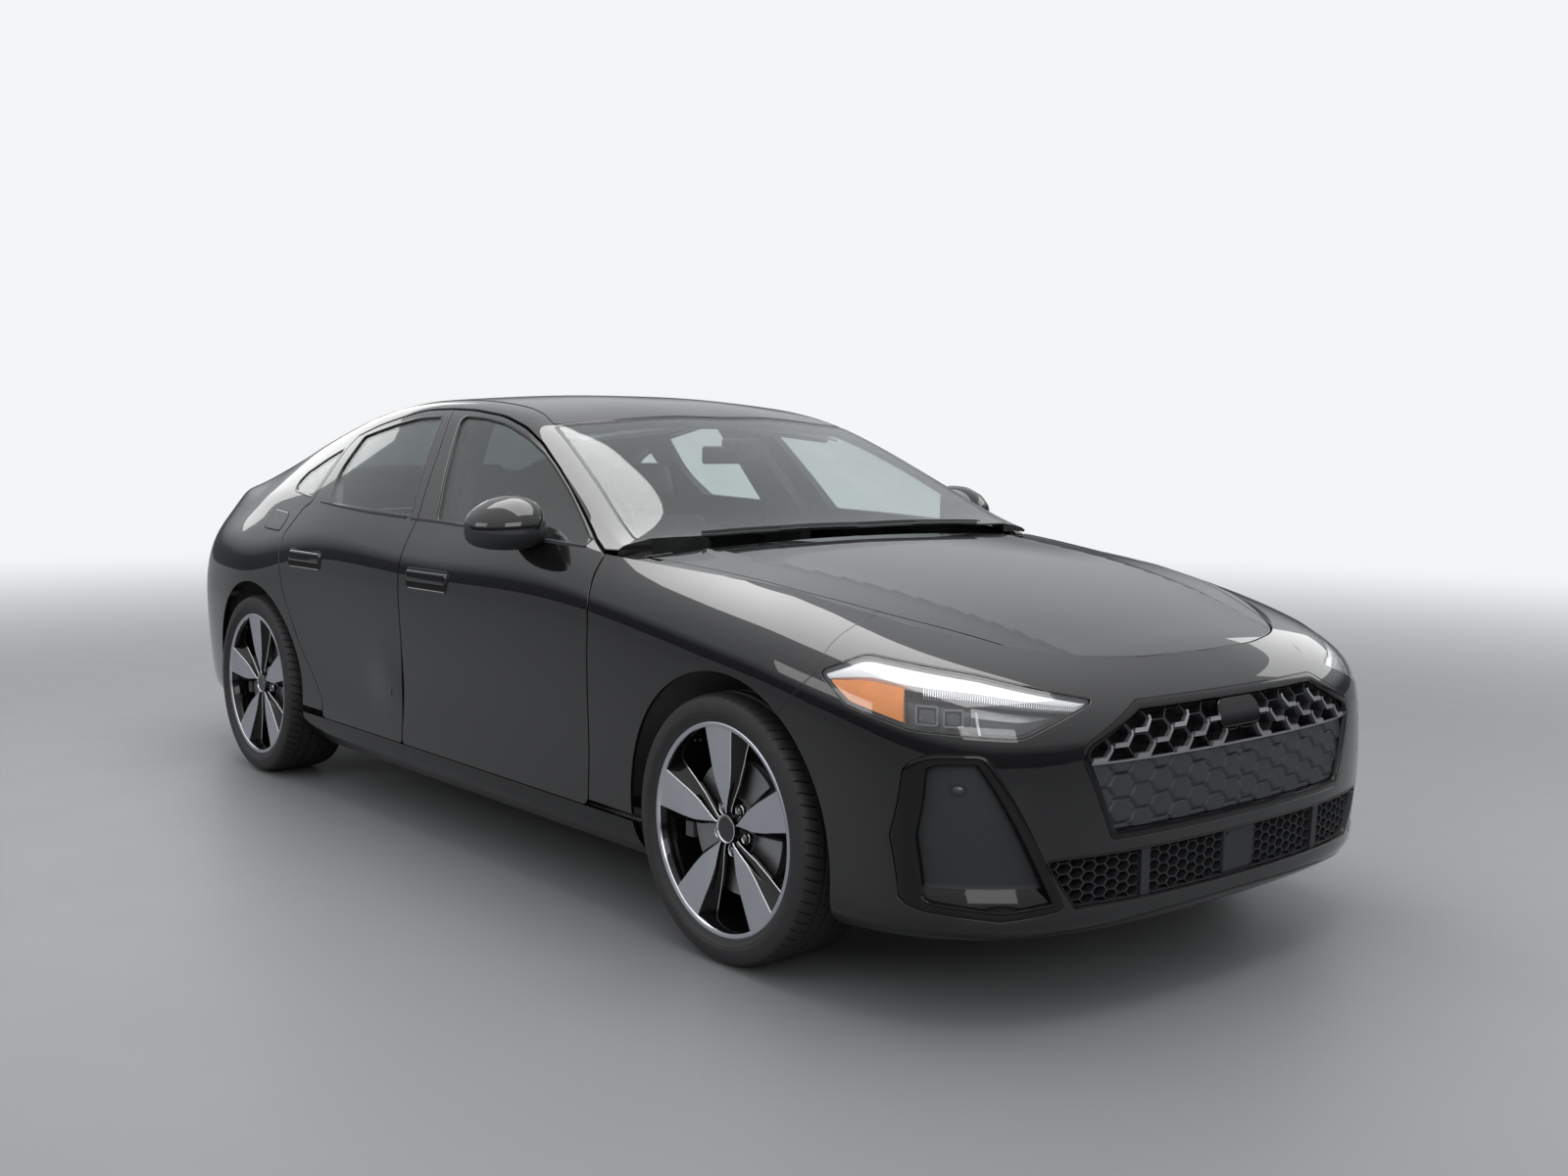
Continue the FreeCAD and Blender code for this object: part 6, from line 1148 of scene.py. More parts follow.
# Plain pale studio
world = bpy.data.worlds.new("studio")
scene.world = world
world.use_nodes = True
tree = world.node_tree
background = tree.nodes["Background"]
directions = tree.nodes.new("ShaderNodeTexCoord")
parts = tree.nodes.new("ShaderNodeSeparateXYZ")
tree.links.new(directions.outputs["Generated"], parts.inputs["Vector"])
fade = tree.nodes.new("ShaderNodeValToRGB")
fade.color_ramp.elements[0].position, fade.color_ramp.elements[0].color = .0, (.10, .105, .11, 1)
fade.color_ramp.elements[1].position, fade.color_ramp.elements[1].color = 1.0, (1.5, 1.52, 1.55, 1)
middle_tone = fade.color_ramp.elements.new(.08)
middle_tone.color = (.13, .135, .145, 1)
upper_tone = fade.color_ramp.elements.new(.20)
upper_tone.color = (.80, .82, .84, 1)
tree.links.new(parts.outputs["Z"], fade.inputs["Fac"])
tree.links.new(fade.outputs["Color"], background.inputs["Color"])
background.inputs["Strength"].default_value = .75
seen = tree.nodes.new("ShaderNodeBackground")
seen.inputs["Color"].default_value = (.90, .91, .92, 1)
rays = tree.nodes.new("ShaderNodeLightPath")
join = tree.nodes.new("ShaderNodeMixShader")
tree.links.new(rays.outputs["Is Camera Ray"], join.inputs["Fac"])
tree.links.new(background.outputs["Background"], join.inputs[1])
tree.links.new(seen.outputs["Background"], join.inputs[2])
tree.links.new(join.outputs["Shader"], tree.nodes["World Output"].inputs["Surface"])

floor_mesh = bpy.data.meshes.new("studio_floor")
floor_mesh.from_pydata([(-60, -60, 0), (60, -60, 0), (60, 60, 0), (-60, 60, 0)], [], [(0, 1, 2, 3)])
floor_piece = bpy.data.objects.new("studio_floor", floor_mesh)
scene.collection.objects.link(floor_piece)
floor_coat = noise_material("floor_coating", (.20, .204, .208), .45, scale=3, bump=.01, spread=.02,
                            rough_spread=.05)
floor_mesh.materials.append(floor_coat)
tree = floor_coat.node_tree
spot_node = tree.nodes.new("ShaderNodeTexCoord")
far_node = tree.nodes.new("ShaderNodeVectorMath")
far_node.operation = "LENGTH"
far_share = tree.nodes.new("ShaderNodeMapRange")
far_share.interpolation_type = "SMOOTHSTEP"
far_share.inputs["From Min"].default_value, far_share.inputs["From Max"].default_value = 3.5, 13.0
plain = tree.nodes.new("ShaderNodeEmission")
plain.inputs["Color"].default_value = (.90, .91, .92, 1)
seen_by = tree.nodes.new("ShaderNodeLightPath")
share = tree.nodes.new("ShaderNodeMath")
share.operation = "MULTIPLY"
blend = tree.nodes.new("ShaderNodeMixShader")
tree.links.new(spot_node.outputs["Object"], far_node.inputs[0])
tree.links.new(far_node.outputs["Value"], far_share.inputs["Value"])
tree.links.new(far_share.outputs["Result"], share.inputs[0])
tree.links.new(seen_by.outputs["Is Camera Ray"], share.inputs[1])
tree.links.new(share.outputs[0], blend.inputs["Fac"])
tree.links.new(tree.nodes["Principled BSDF"].outputs["BSDF"], blend.inputs[1])
tree.links.new(plain.outputs["Emission"], blend.inputs[2])
tree.links.new(blend.outputs["Shader"], tree.nodes["Material Output"].inputs["Surface"])


def lamp(name, spot, target, wide, high, power, colour=(1, 1, 1)):
    """A large soft area light aimed at a point."""
    data = bpy.data.lights.new(name, "AREA")
    data.shape = "RECTANGLE"
    data.size, data.size_y, data.energy, data.color = wide, high, power, colour
    item = bpy.data.objects.new(name, data)
    item.location = spot
    item.rotation_euler = (Vector(target) - Vector(spot)).to_track_quat("-Z", "Y").to_euler()
    scene.collection.objects.link(item)


lamp("ceiling", (.4, 0, 4.6), (.4, 0, 0), 6.5, 3.0, 190)
lamp("front_fill", (7.5, -3.5, 3.2), (1.2, -.4, .6), 4, 2.0, 60)
lamp("side_fill", (-1.5, -7.5, 3.6), (-.4, 0, .6), 5, 2.0, 60)
lamp("far_fill", (1.5, 7.5, 3.6), (0, 0, .7), 5, 2.0, 50)
lamp("rear_fill", (-7.5, .5, 3.2), (-1.5, 0, .8), 4, 2.0, 36)

# Painted skins over the panels
both_sides = ("body", "body")
doors = ("front_door_left", "front_door_right"), ("rear_door_left", "rear_door_right")
front_door_line, rear_door_line = side_line(front_door_shares), side_line(rear_door_shares)
front_glass_line, rear_glass_line = side_line(front_glass_shares), side_line(rear_glass_shares)
quarter_line = side_line(quarter_glass_shares)
screen_line, roof_line = plan_line(windscreen_shares), plan_line(roof_shares)
gate_line, gate_glass_line = plan_line(gate_plan_shares), plan_line(gate_glass_shares)
bonnet_line = plan_line(bonnet_plan_shares)
gate_face_line, gate_lamp_line = front_line(gate_face_shares), front_line(gate_lamp_shares)
tail_lamp_line = front_line(tail_lamp_shares, whole=False)
grille_line, mesh_line = front_line(grille_shares), front_line(lower_mesh_shares)
curtain_line = front_line(curtain_shares, whole=False)
plate_line, diffuser_line = front_line(plate_shares), front_line(diffuser_shares)
lamp_line = rounded([(a * front_overhang, z * height, r * height) for a, z, r in headlamp_shares])
fender_joint = [(front_axle - x * wheelbase, z * height) for x, z in fender_joint_shares]
rear_joint = [(front_axle - x * wheelbase, z * height) for x, z in rear_joint_shares]
top_z, tail_x = height + 60, -half_length - 60
bumper_front_line = rounded([(front_axle, tyre_radius, 0), fender_joint[2] + (0,), fender_joint[1] + (20,),
                             fender_joint[0] + (0,), (fender_joint[0][0], top_z, 0),
                             (half_length + 60, top_z, 0), (half_length + 60, 0, 0), (front_axle, 0, 0)])
bumper_rear_line = rounded([(rear_axle, tyre_radius, 0), rear_joint[0] + (0,), rear_joint[1] + (30,),
                            (tail_x, rear_joint[1][1], 0), (tail_x, 0, 0), (rear_axle, 0, 0)])
inside_door_x = front_axle - front_door_shares[0][0] * wheelbase - 60
pillar_x, foot_z, sill_z = front_axle - .1935 * wheelbase, .6863 * height, .1960 * height
keep_side_line = rounded([(pillar_x, top_z, 0), (pillar_x, foot_z, 0), (inside_door_x, foot_z, 0),
                          (inside_door_x, sill_z, 0), (tail_x, sill_z, 0), (tail_x, top_z, 0)])
keep_fender_line = rounded([(inside_door_x, sill_z, 0), (half_length, sill_z, 0), (half_length, top_z, 0),
                            (inside_door_x, top_z, 0)])
front_arch = circle(front_axle, tyre_radius, arch_radius)
rear_arch = circle(rear_axle, tyre_radius, arch_radius)
belt_guard_z, fender_seam_z, bumper_seam_z, face_top_z = 953, 700, 600, 1036
high_up = lambda p, u, v: belt_guard_z - p[:, 2]
ahead_of_tail = lambda p, u, v: p[:, 0] - (rear_axle - rear_overhang * .735)
shut, lid_shut, seam = 2.5 + 1.8, 2.2 + 1.8, .7 + 1.8
proud = -.7
ring_top, side_top = ring.v_count - 3.0, side.v_count - 3.0


def painted(sheet, u_range, v_range, cuts, **more):
    """A painted skin: trimmed, standing proud of its panel, with rolled edges."""
    return edged(trimmed(sheet, u_range, v_range, cuts, sink=proud, **more), roll)


body_side_cuts = [
    inside(from_side(keep_side_line), 1.8),
    outside(from_side(front_door_line), shut), outside(from_side(rear_door_line), shut),
    outside(from_side(quarter_line), 2.4), outside(rear_arch, 1.8),
    outside(from_side(bumper_rear_line), seam),
    unless(outside(from_above(screen_line), 2.2), high_up),
                  unless(outside(from_above(roof_line), seam), high_up),
    unless(outside(from_above(gate_line), lid_shut), high_up),
    unless(outside(from_front(gate_face_line), lid_shut), ahead_of_tail),
    unless(outside(from_front(tail_lamp_line), 2.4), ahead_of_tail),
]
side_skin = painted(side, (side_u(12), side_u(37)), (.9, side_top), body_side_cuts)
twins("body_side_skin", side_skin, [paint], both_sides, "paint")

fender_cuts = [
    inside(from_side(keep_fender_line), 1.8), outside(from_side(front_door_line), shut),
    outside(from_side(bumper_front_line), seam), outside(front_arch, 1.8), outside(from_lamp(lamp_line), 2.2),
    rows_within(.9, ring_top + 1),
    unless(outside(from_above(bonnet_line), lid_shut), lambda p, u, v: fender_seam_z - p[:, 2]),
]
fender_skin = painted(ring, (ring_u(6), ring_u(15)), (.9, ring_top), fender_cuts)
twins("fender_skin", fender_skin, [paint], both_sides, "paint")

strip_edge = ring.at(ring_u(np.arange(8, 27) / 2), np.full(19, ring_top))[:, :2]
strip_line = np.concatenate([strip_edge, [[strip_edge[-1][0], half_width * .80],
                                          [front_axle, half_width * .35],
                                          [strip_edge[0][0], half_width * .35]]])
hinge_x, hinge_z, hinge_reach, hinge_half_width = 1076.5, 955.3, 38, 792
hinge_room = circle(hinge_x, hinge_z, hinge_reach)
strip_cuts = [lambda p, u, v: distance(strip_line, p[:, :2]) - 1.0,
              outside(from_above(bonnet_line), lid_shut), outside(from_above(screen_line), 2.2),
              unless(outside(hinge_room, 1.8), lambda p, u, v: np.abs(p[:, 1]) - hinge_half_width)]
joint_x = fender_joint[0][0]
for name, cut in (("fender_strip_skin", lambda p, u, v: joint_x - seam - p[:, 0]),
                  ("bumper_strip_skin", lambda p, u, v: p[:, 0] - joint_x - seam)):
    strip_skin = painted(lid, (0, 15), (0, 7), strip_cuts + [cut, outside(from_lamp(lamp_line), 2.2)])
    twins(name, strip_skin, [paint], both_sides, "paint")

front_door_cuts = [inside(from_side(front_door_line), shut), outside(from_side(front_glass_line), 2.0)]
front_door_skin = painted(side, (side_u(12), side_u(25)), (.7, side_top), front_door_cuts)
twins("front_door_skin", front_door_skin, [paint], doors[0], "paint")
rear_door_cuts = [inside(from_side(rear_door_line), shut), outside(from_side(rear_glass_line), 2.0),
                  outside(rear_arch, shut + 2)]
swell_x, swell_z, swell_rise, swell_long, swell_high = -262, 478, 7.4, 125, 95


def hinge_swell(p):
    """A slight swelling of the rear door over its lower hinge."""
    along, up = (p[:, 0] - swell_x) / swell_long, (p[:, 2] - swell_z) / swell_high
    return swell_rise * np.exp(-along ** 2 - up ** 2)


rear_door_skin = painted(side, (side_u(19), side_u(31)), (.7, side_top), rear_door_cuts, relief=hinge_swell)
twins("rear_door_skin", rear_door_skin, [paint], doors[1], "paint")

# The bonnet with its two creases
crease_places = [690, 1100, 1500, 1900, 2200, 2330]
crease_reaches = [640, 600, 545, 470, 395, 350]
crease_height, crease_start, crease_run = 3.2, 640, 260
inner_fall, outer_fall = 70.0, 26.0


def bonnet_relief(p):
    """Two raised lines that run from the windscreen's corners to the grille."""
    reach = np.interp(p[:, 0], crease_places, crease_reaches)
    across_line = reach - np.abs(p[:, 1])
    fade = np.clip((p[:, 0] - crease_start) / crease_run, 0, 1)
    inner = np.exp(-np.maximum(across_line, 0) / inner_fall)
    outer = np.exp(-np.maximum(-across_line, 0) / outer_fall)
    return crease_height * fade * np.where(across_line > 0, inner, outer)


bonnet_skin = painted(lid, (0, 15), (0, 14), [inside(from_above(bonnet_line), lid_shut)], step=17,
                      relief=bonnet_relief)
laid("bonnet_skin", bonnet_skin, paint, "bonnet", "paint")

bumper_cuts = [
    inside(from_side(bumper_front_line), seam), outside(from_front(grille_line), 2.0),
    outside(from_front(mesh_line), 2.0), rows_within(.02, ring_top + 1),
    lambda p, u, v: -distance(curtain_line, np.stack([np.abs(p[:, 1]), p[:, 2]], 1)) - 2.0,
    outside(from_lamp(lamp_line), 2.2), outside(front_arch, 1.8),
    unless(outside(from_above(bonnet_line), lid_shut), lambda p, u, v: bumper_seam_z - p[:, 2]),
]
front_skin = painted(ring, (ring_u(-13), ring_u(13)), (0, ring_top), bumper_cuts)
laid("front_bumper_skin", front_skin, paint, "body", "paint")

rear_cuts = [inside(from_side(bumper_rear_line), seam), outside(from_front(diffuser_line), 2.0),
             outside(from_front(plate_line), 2.0), outside(rear_arch, 1.8), rows_within(.02, ring_top)]
rear_skin = painted(ring, (ring_u(last_station - 13), ring_u(last_station + 13)), (0, ring_top), rear_cuts)
laid("rear_bumper_skin", rear_skin, paint, "body", "paint")

upper_top = upper.v_count - 3.0
roof_skin = painted(upper, (upper_u(420), upper_u(-1000)), (2, upper_top - 2),
                    [inside(from_above(roof_line), seam)])
laid("roof_skin", roof_skin, paint, "body", "paint")

gate_start = lambda p, u, v: (front_axle - .8500 * wheelbase - 12 - 1.8) - p[:, 0]
gate_edge_reaches = [0, 195, 330, 437, 540]
gate_edge_places = [-2343, -2340, -2320, -2294, -2271]
gate_edge = lambda p, u, v: p[:, 0] - np.interp(np.abs(p[:, 1]), gate_edge_reaches, gate_edge_places)
gate_cuts = [inside(from_above(gate_line), lid_shut), gate_start, outside(from_above(gate_glass_line), 2.0),
             gate_edge]
gate_skin = painted(upper, (upper_u(-930), upper_u(-2400)), (.6, upper_top - .6), gate_cuts)
laid("tailgate_skin", gate_skin, paint, "tailgate", "paint")
face_cuts = [inside(from_front(gate_face_line), lid_shut), outside(from_front(gate_lamp_line), 2.0),
             lambda p, u, v: face_top_z - p[:, 2]]
face_skin = painted(ring, (ring_u(last_station - 8), ring_u(last_station + 8)), (4, ring_top), face_cuts)
laid("tailgate_face_skin", face_skin, paint, "tailgate", "paint")

skirt_cuts = [rows_within(.02, 1.7), lambda p, u, v: sill_z - 2.2 - p[:, 2], outside(front_arch, 2.2),
              outside(rear_arch, 2.2)]
skirt_skin = painted(ring, (ring_u(12), ring_u(28)), (0, 1.7), skirt_cuts)
twins("skirt_skin", skirt_skin, [gloss], both_sides, "trim")

# Glass: closed panes in the places of the source's panes
side_glass = edged(trimmed(side, (side_u(12), side_u(25)), (7, side_top),
                           [inside(from_side(front_glass_line), .8)], sink=5), pane_roll, back=4)
twins("front_door_pane", side_glass, [window_glass], doors[0], "glass",
      ("front_door_glass_left", "front_door_glass_right"))
side_glass = edged(trimmed(side, (side_u(19), side_u(31)), (7, side_top),
                           [inside(from_side(rear_glass_line), .8)], sink=5), pane_roll, back=4)
twins("rear_door_pane", side_glass, [window_glass], doors[1], "glass",
      ("rear_door_glass_left", "rear_door_glass_right"))
side_glass = edged(trimmed(side, (side_u(22), side_u(34)), (7, side_top),
                           [inside(from_side(quarter_line), .8)], sink=3), pane_roll, back=4)
quarters = twins("quarter_pane", side_glass, [window_glass], both_sides, "glass")
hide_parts("quarter_windows")
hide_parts("quarter_windows")
front_glass = edged(trimmed(upper, (upper_u(1110), upper_u(250)), (.4, upper_top - .4),
                            [inside(from_above(screen_line), 1.2)], sink=.4), pane_roll, back=4)
laid("windscreen_pane", front_glass, window_glass, "body", "glass", ("windscreen",))
back_glass = edged(trimmed(upper, (upper_u(-930), upper_u(-2000)), (2, upper_top - 2),
                           [inside(from_above(gate_glass_line), 1.2)], sink=.4), pane_roll, back=4)
laid("rear_window_pane", back_glass, dark_glass, "tailgate", "glass", ("rear_window",))

# Wheels: one shared rim and one shared tyre, set at the four hubs
five = 5
spoke_first, spoke_run = 40, 217
valve_reach, valve_depth, valve_turn, bolt_circle = 238, 78, .5, 56
spoke_places = [(spoke_first, 1, 7), (52, 3, 8), (70, 10, 9), (88, 17, 11), (110, 26, 13), (135, 32, 16),
                (160, 37, 20), (190, 41, 25), (220, 45.5, 30), (243, 49, 34), (257, 52, 36)]
rim_build = Build()
barrel = [(254, 107), (255.5, 109.8), (258, 111), (264.5, 112), (267.5, 110.5), (268, 106), (262, 101),
          (256, 95), (252, 84), (247, 60), (243, 20), (243, -40), (250, -78), (256, -92), (263, -104),
          (267.5, -108), (267.5, -112), (262, -112), (252, -104), (244, -84), (238, -40), (238, 20),
          (241, 58), (245, 82), (249, 98)]
rim_build.lathe(barrel, [2, 0, 0, 0, 2] + [1] * 20, steps=180, closed=True)
for number in range(five):
    turn = 2 * math.pi * number / five
    radial = np.array([math.sin(turn), 0, math.cos(turn)])
    side_way = np.array([math.cos(turn), 0, -math.sin(turn)])
    rows = []
    for radius, half, flank in spoke_places:
        share = (radius - spoke_first) / spoke_run
        face = 90 + 18 * share ** .8
        edge = face - 10 - 27 * share
        base = edge - 13
        waist_drop = face - 8 - 12 * share
        right = [(half, face), (half + 1.1, face - 1.5), (half + flank * .35, waist_drop),
                 (half + flank + .2, edge), (half + flank + 1.6, edge - 1.4), (half + flank - 3, base)]
        left = [(-a, b) for a, b in right[::-1]]
        row = left[1:] + [(0, face + .4)] + right + [(0, base - 6), left[0]]
        rows.append([radial * radius + side_way * a + np.array([0, b, 0]) for a, b in row])
    rim_build.grid(rows, [2, 1, 1, 2, 0, 0, 2, 1, 1, 2, 1, 1, 1, 1], ring_line=True, caps=1)
hub_profile = [(0, 92), (29, 92), (31.5, 90.5), (33.5, 92.5), (35.5, 92.2), (37, 89), (38.5, 80), (44, 72),
               (66, 66), (74, 60), (77, 48), (74, 36), (0, 36)]
rim_build.lathe(hub_profile, [3, 3, 2, 2, 1, 1, 1, 1, 1, 1, 1, 1], steps=90)
for number in range(five):
    turn = 2 * math.pi * (number + .5) / five
    spot = np.array([bolt_circle * math.sin(turn), 0, bolt_circle * math.cos(turn)])
    rim_build.lathe([(17, 66), (17, 72), (15.5, 73.5), (14, 72), (13.6, 60)], [1, 2, 2, 1], steps=24,
                    centre=spot)
    rim_build.lathe([(0, 79.5), (3.5, 79.5), (4.5, 78.5), (4.5, 75.5), (7.5, 77.5), (9.2, 76.5), (9.2, 62)],
                    [4, 4, 4, 4, 4, 4], steps=6, centre=spot)
valve = np.array([valve_reach * math.sin(valve_turn), valve_depth, valve_reach * math.cos(valve_turn)])
rim_build.lathe([(0, 16), (3.5, 15), (4, 2), (5.5, 0), (5.5, -8)], 3, steps=12, centre=valve)

tread = [(0, 0, 0), (8, 0, 0), (16.5, 0, 0), (18.5, 7, 7), (26.5, 7, 7), (28.5, 0, 0), (34, 0, 0),
         (35, 0, 4), (47, 0, 4), (48, 0, 0), (53, 0, 0), (55, 7, 7), (63, 7, 7), (65, 0, 0), (69, 0, 0),
         (70, 0, 5), (82, 0, 5.5), (94, 0, 5.5), (103, 0, 4.5), (109, 0, 3.0), (114, 0, 1.2)]
crown_half, crown_peak, crown_fall = 88, 338.6, 2.2
tread_edge_width, tread_edge_fall = 26, 8.6


def crown_radius(y):
    """Radius of the tread at a distance from the tyre's middle."""
    y = abs(y)
    if y < crown_half:
        return crown_peak - crown_fall * (y / crown_half) ** 2
    return crown_peak - crown_fall - tread_edge_fall * ((y - crown_half) / tread_edge_width) ** 1.9


outer_wall = [(117.5, 321), (119.8, 313), (121.6, 303), (122.2, 295), (121.5, 289), (120.2, 287.6),
              (120.4, 284.8), (118.5, 282.5), (115, 277), (112.5, 271), (111, 267.5), (103, 262), (96, 259)]
pitches = 72
columns = [0, .42, .47, .53, .58]
in_groove = [0, 0, 1, 1, 0]
inner_wall = [(70, 248), (0, 246), (-70, 248)]
lean_start, lean_run, lean_power, lean_most, tread_foot = 30, 84, 1.4, .8, 322
tyre_line = [(-y, r, 0, 0) for y, r in outer_wall[::-1]]
tyre_line += [(-y, crown_radius(y), plain, grooved) for y, plain, grooved in tread[::-1]]
tyre_line += [(y, crown_radius(y), plain, grooved) for y, plain, grooved in tread[1:]]
tyre_line += [(y, r, 0, 0) for y, r in outer_wall + inner_wall]
tyre_line = np.array(tyre_line, float)
profile, depth_plain, depth_groove = tyre_line[:, :2], tyre_line[:, 2], tyre_line[:, 3]
lean = np.clip((np.abs(profile[:, 0]) - lean_start) / lean_run, 0, 1) ** lean_power
lean = lean * lean_most * np.sign(profile[:, 0])
lean[np.abs(profile[:, 1]) < tread_foot] = 0
tyre_rows = []
for number in range(pitches):
    for share, deep in zip(columns, in_groove):
        turns = 2 * math.pi * (number + share + lean) / pitches
        radii = profile[:, 1] - (depth_groove if deep else depth_plain)
        tyre_rows.append(np.stack([radii * np.sin(turns), profile[:, 0], radii * np.cos(turns)], 1))
tyre_build = Build().grid(tyre_rows, 0, ring_rows=True, ring_line=True)

disc_build = Build()
disc_build.lathe([(78, 52.4), (79, 53.4), (170.6, 53.4), (172, 52.4), (172, 43), (168, 42), (168, 37),
                  (172, 36), (172, 27), (170.6, 25.8), (79, 25.8), (78, 27)],
                 [1, 0, 1, 1, 1, 1, 1, 1, 1, 0, 1, 1], steps=120, closed=True)
disc_build.lathe([(0, 60), (72, 60), (76, 58), (78, 53), (78, 40), (70, 36), (0, 36)], [1] * 6, steps=90)

rim_mesh = rim_build.make("rim_pattern", [machined, gloss, bright, cap_black, steel], 28)
tyre_mesh = tyre_build.make("tyre_pattern", [rubber], 40)
disc_mesh = disc_build.make("disc_pattern", [steel, cast], 30)
for item in (rim_mesh, tyre_mesh, disc_mesh):
    bpy.data.objects.remove(item)
pattern_names = ("rim_pattern", "tyre_pattern", "disc_pattern")
rim_data, tyre_data, disc_data = (bpy.data.meshes[name] for name in pattern_names)
for end, x in (("front", front_axle), ("rear", rear_axle)):
    for hand, sign in (("left", 1), ("right", -1)):
        spot = Matrix.Translation((x * MM, sign * track / 2 * MM, tyre_radius * MM))
        if sign < 0:
            spot = spot @ Matrix.Rotation(math.pi, 4, "Z")
        body = end + "_wheel_" + hand
        for kind, data, slot in (("rim", rim_data, "rim"), ("tyre", tyre_data, "tyre"),
                                 ("disc", disc_data, "rim")):
            piece = bpy.data.objects.new(kind + "_" + end + "_" + hand + "_dressed", data)
            scene.collection.objects.link(piece)
            piece.matrix_world = spot @ Matrix.Rotation(math.radians(3 if kind == "rim" else 0), 4, "Y")
            place(piece, body, slot, (kind + "_" + end + "_" + hand,) if kind != "disc" else ())

# Grille: frame, cells with satin strokes, closed lower panel
column_pitch, row_pitch, panel_top = 65.0, 57.0, 590.0
grille_fine = resampled(grille_line, 9)
grille_build = Build()
rolled_band(grille_build, grille_fine, [(.6, -2), (.9, .1), (3, .9), (12, .9), (17, -.6), (19.5, -5),
                                        (20, -14), (20, -46)], on_nose, [0, 0, 0, 0, 0, 0, 1])
inner_grille = inset_line(grille_fine, 19)


def cell_of(spots):
    """Each spot's offset from its cell's middle, and its place in the cell: 0 middle, 1 edge."""
    best = np.full(len(spots), 9.0)
    offset = np.zeros((len(spots), 2))
    reach = np.array([column_pitch * 2 / 3, row_pitch / 2])
    column = np.floor(np.abs(spots[:, 0]) / column_pitch)
    for add_column in (-1, 0, 1):
        k = column + add_column
        y = (k + .5) * column_pitch
        stagger = np.where(np.mod(k, 2) == 0, 0, row_pitch / 2)
        for add_row in (-1, 0, 1):
            rows_up = np.round((spots[:, 1] - panel_top - stagger) / row_pitch) + add_row
            z = panel_top + stagger + row_pitch * rows_up
            gap = np.stack([np.abs(spots[:, 0]) - y, spots[:, 1] - z], 1)
            share = np.abs(gap) / reach
            metric = np.maximum(share[:, 1], share[:, 0] + share[:, 1] / 2)
            nearer = metric < best
            best = np.where(nearer, metric, best)
            offset = np.where(nearer[:, None], gap, offset)
    return offset, best


def panel_lift(spots):
    """Depth of the grille's panel: sunk between its cells."""
    offset, share = cell_of(spots)
    groove = np.clip((share - .80) / .16, 0, 1)
    return -12 - 4.5 * groove ** 1.5 - offset[:, 1] * .12


panel_foot_half, panel_foot_z, panel_lean = 470, 414, .36
panel_half = panel_foot_half + (panel_top - panel_foot_z) * panel_lean
panel_line = rounded([(-panel_half + 4, panel_top - 1, 0), (-452, 436, 22), (452, 436, 22),
                      (panel_half - 4, panel_top - 1, 0)])
filled(panel_line, 4.6, on_nose, panel_lift, grille_build, 2)
ledge = np.stack([np.linspace(-panel_half + 6, panel_half - 6, 90), np.full(90, panel_top)], 1)
grille_build.sweep(on_nose(ledge, -13), [(-3, -3), (4.2, -3), (5, -1), (5, 1.2), (-3, 1.2)], 3, caps=3)
filled(inset_line(grille_fine, 4), 30, on_nose, -52, grille_build, 4)


def hollow_cell(build, middle, reach, wall, front, back, where, kind):
    """The walls of one six-sided cell."""
    rows = []
    for share, lift in ((1, back), (1, front), (1 - wall, front), (1 - wall, back)):
        corners = [(1, 0), (.5, 1), (-.5, 1), (-1, 0), (-.5, -1), (.5, -1)]
        rows.append(where([(middle[0] + a * reach[0] * share, middle[1] + b * reach[1] * share)
                           for a, b in corners], lift))
    build.grid(np.stack(rows, 1), kind, ring_rows=True)


def stroke(build, line, front, back, where, kind, lean=0.0):
    """A flat bar bounded by a line of places, from a front lift to a back lift."""
    line = np.asarray(line, float)
    first, last = where(line, front), where(line, back)
    first[:, 2] += lean
    build.grid(np.stack([first, last], 0), kind, ring_line=True)
    build.flat(first, kind).flat(last, kind)


cells = []
for k in range(9):
    for j in range(-1, 4):
        y = (k + .5) * column_pitch
        z = panel_top + (0 if k % 2 == 0 else row_pitch / 2) + row_pitch * j
        cells.append((y, z))
for y, z in cells:
    gap = distance(inner_grille, np.array([(y, z), (y, z - 20), (y - 30, z), (y + 30, z)]))
    if gap.max() < -4 or z < panel_top + 2:
        continue
    whole = gap.min() > 2
    for sign in (1, -1):
        if gap[0] > 6:
            hollow_cell(grille_build, (y * sign, z), (column_pitch * 2 / 3 - 1, row_pitch / 2 - 1), .09, -14,
                        -46, on_nose, 1)
        if y < 90 or gap[0] < 3:
            continue
        shape = [(-24, -26), (17, -26), (37, -2), (37, 9), (31, 9), (30, 0), (14, -16), (-19, -16)]
        line = np.array([((y - a) * sign, z + b) for a, b in shape])
        inside_gap = distance(inner_grille, line)
        if inside_gap.min() < -12:
            continue
        stroke(grille_build, line, -4, -16, on_nose, 3, lean=-1)
pad = rounded([(-78, 628, 26), (78, 628, 26), (84, 664, 26), (70, 698, 26), (-70, 698, 26), (-84, 664, 26)])
rolled_band(grille_build, pad, [(0, -16), (0, -7), (1.5, -5), (4, -4)], on_nose, 0)
filled(inset_line(pad, 4), 12, on_nose, -4, grille_build, 0)
place(grille_build.make("grille_dressed", [gloss, matte, panel_plastic, satin, seal], 34), "body", "grille",
      ("grille",))

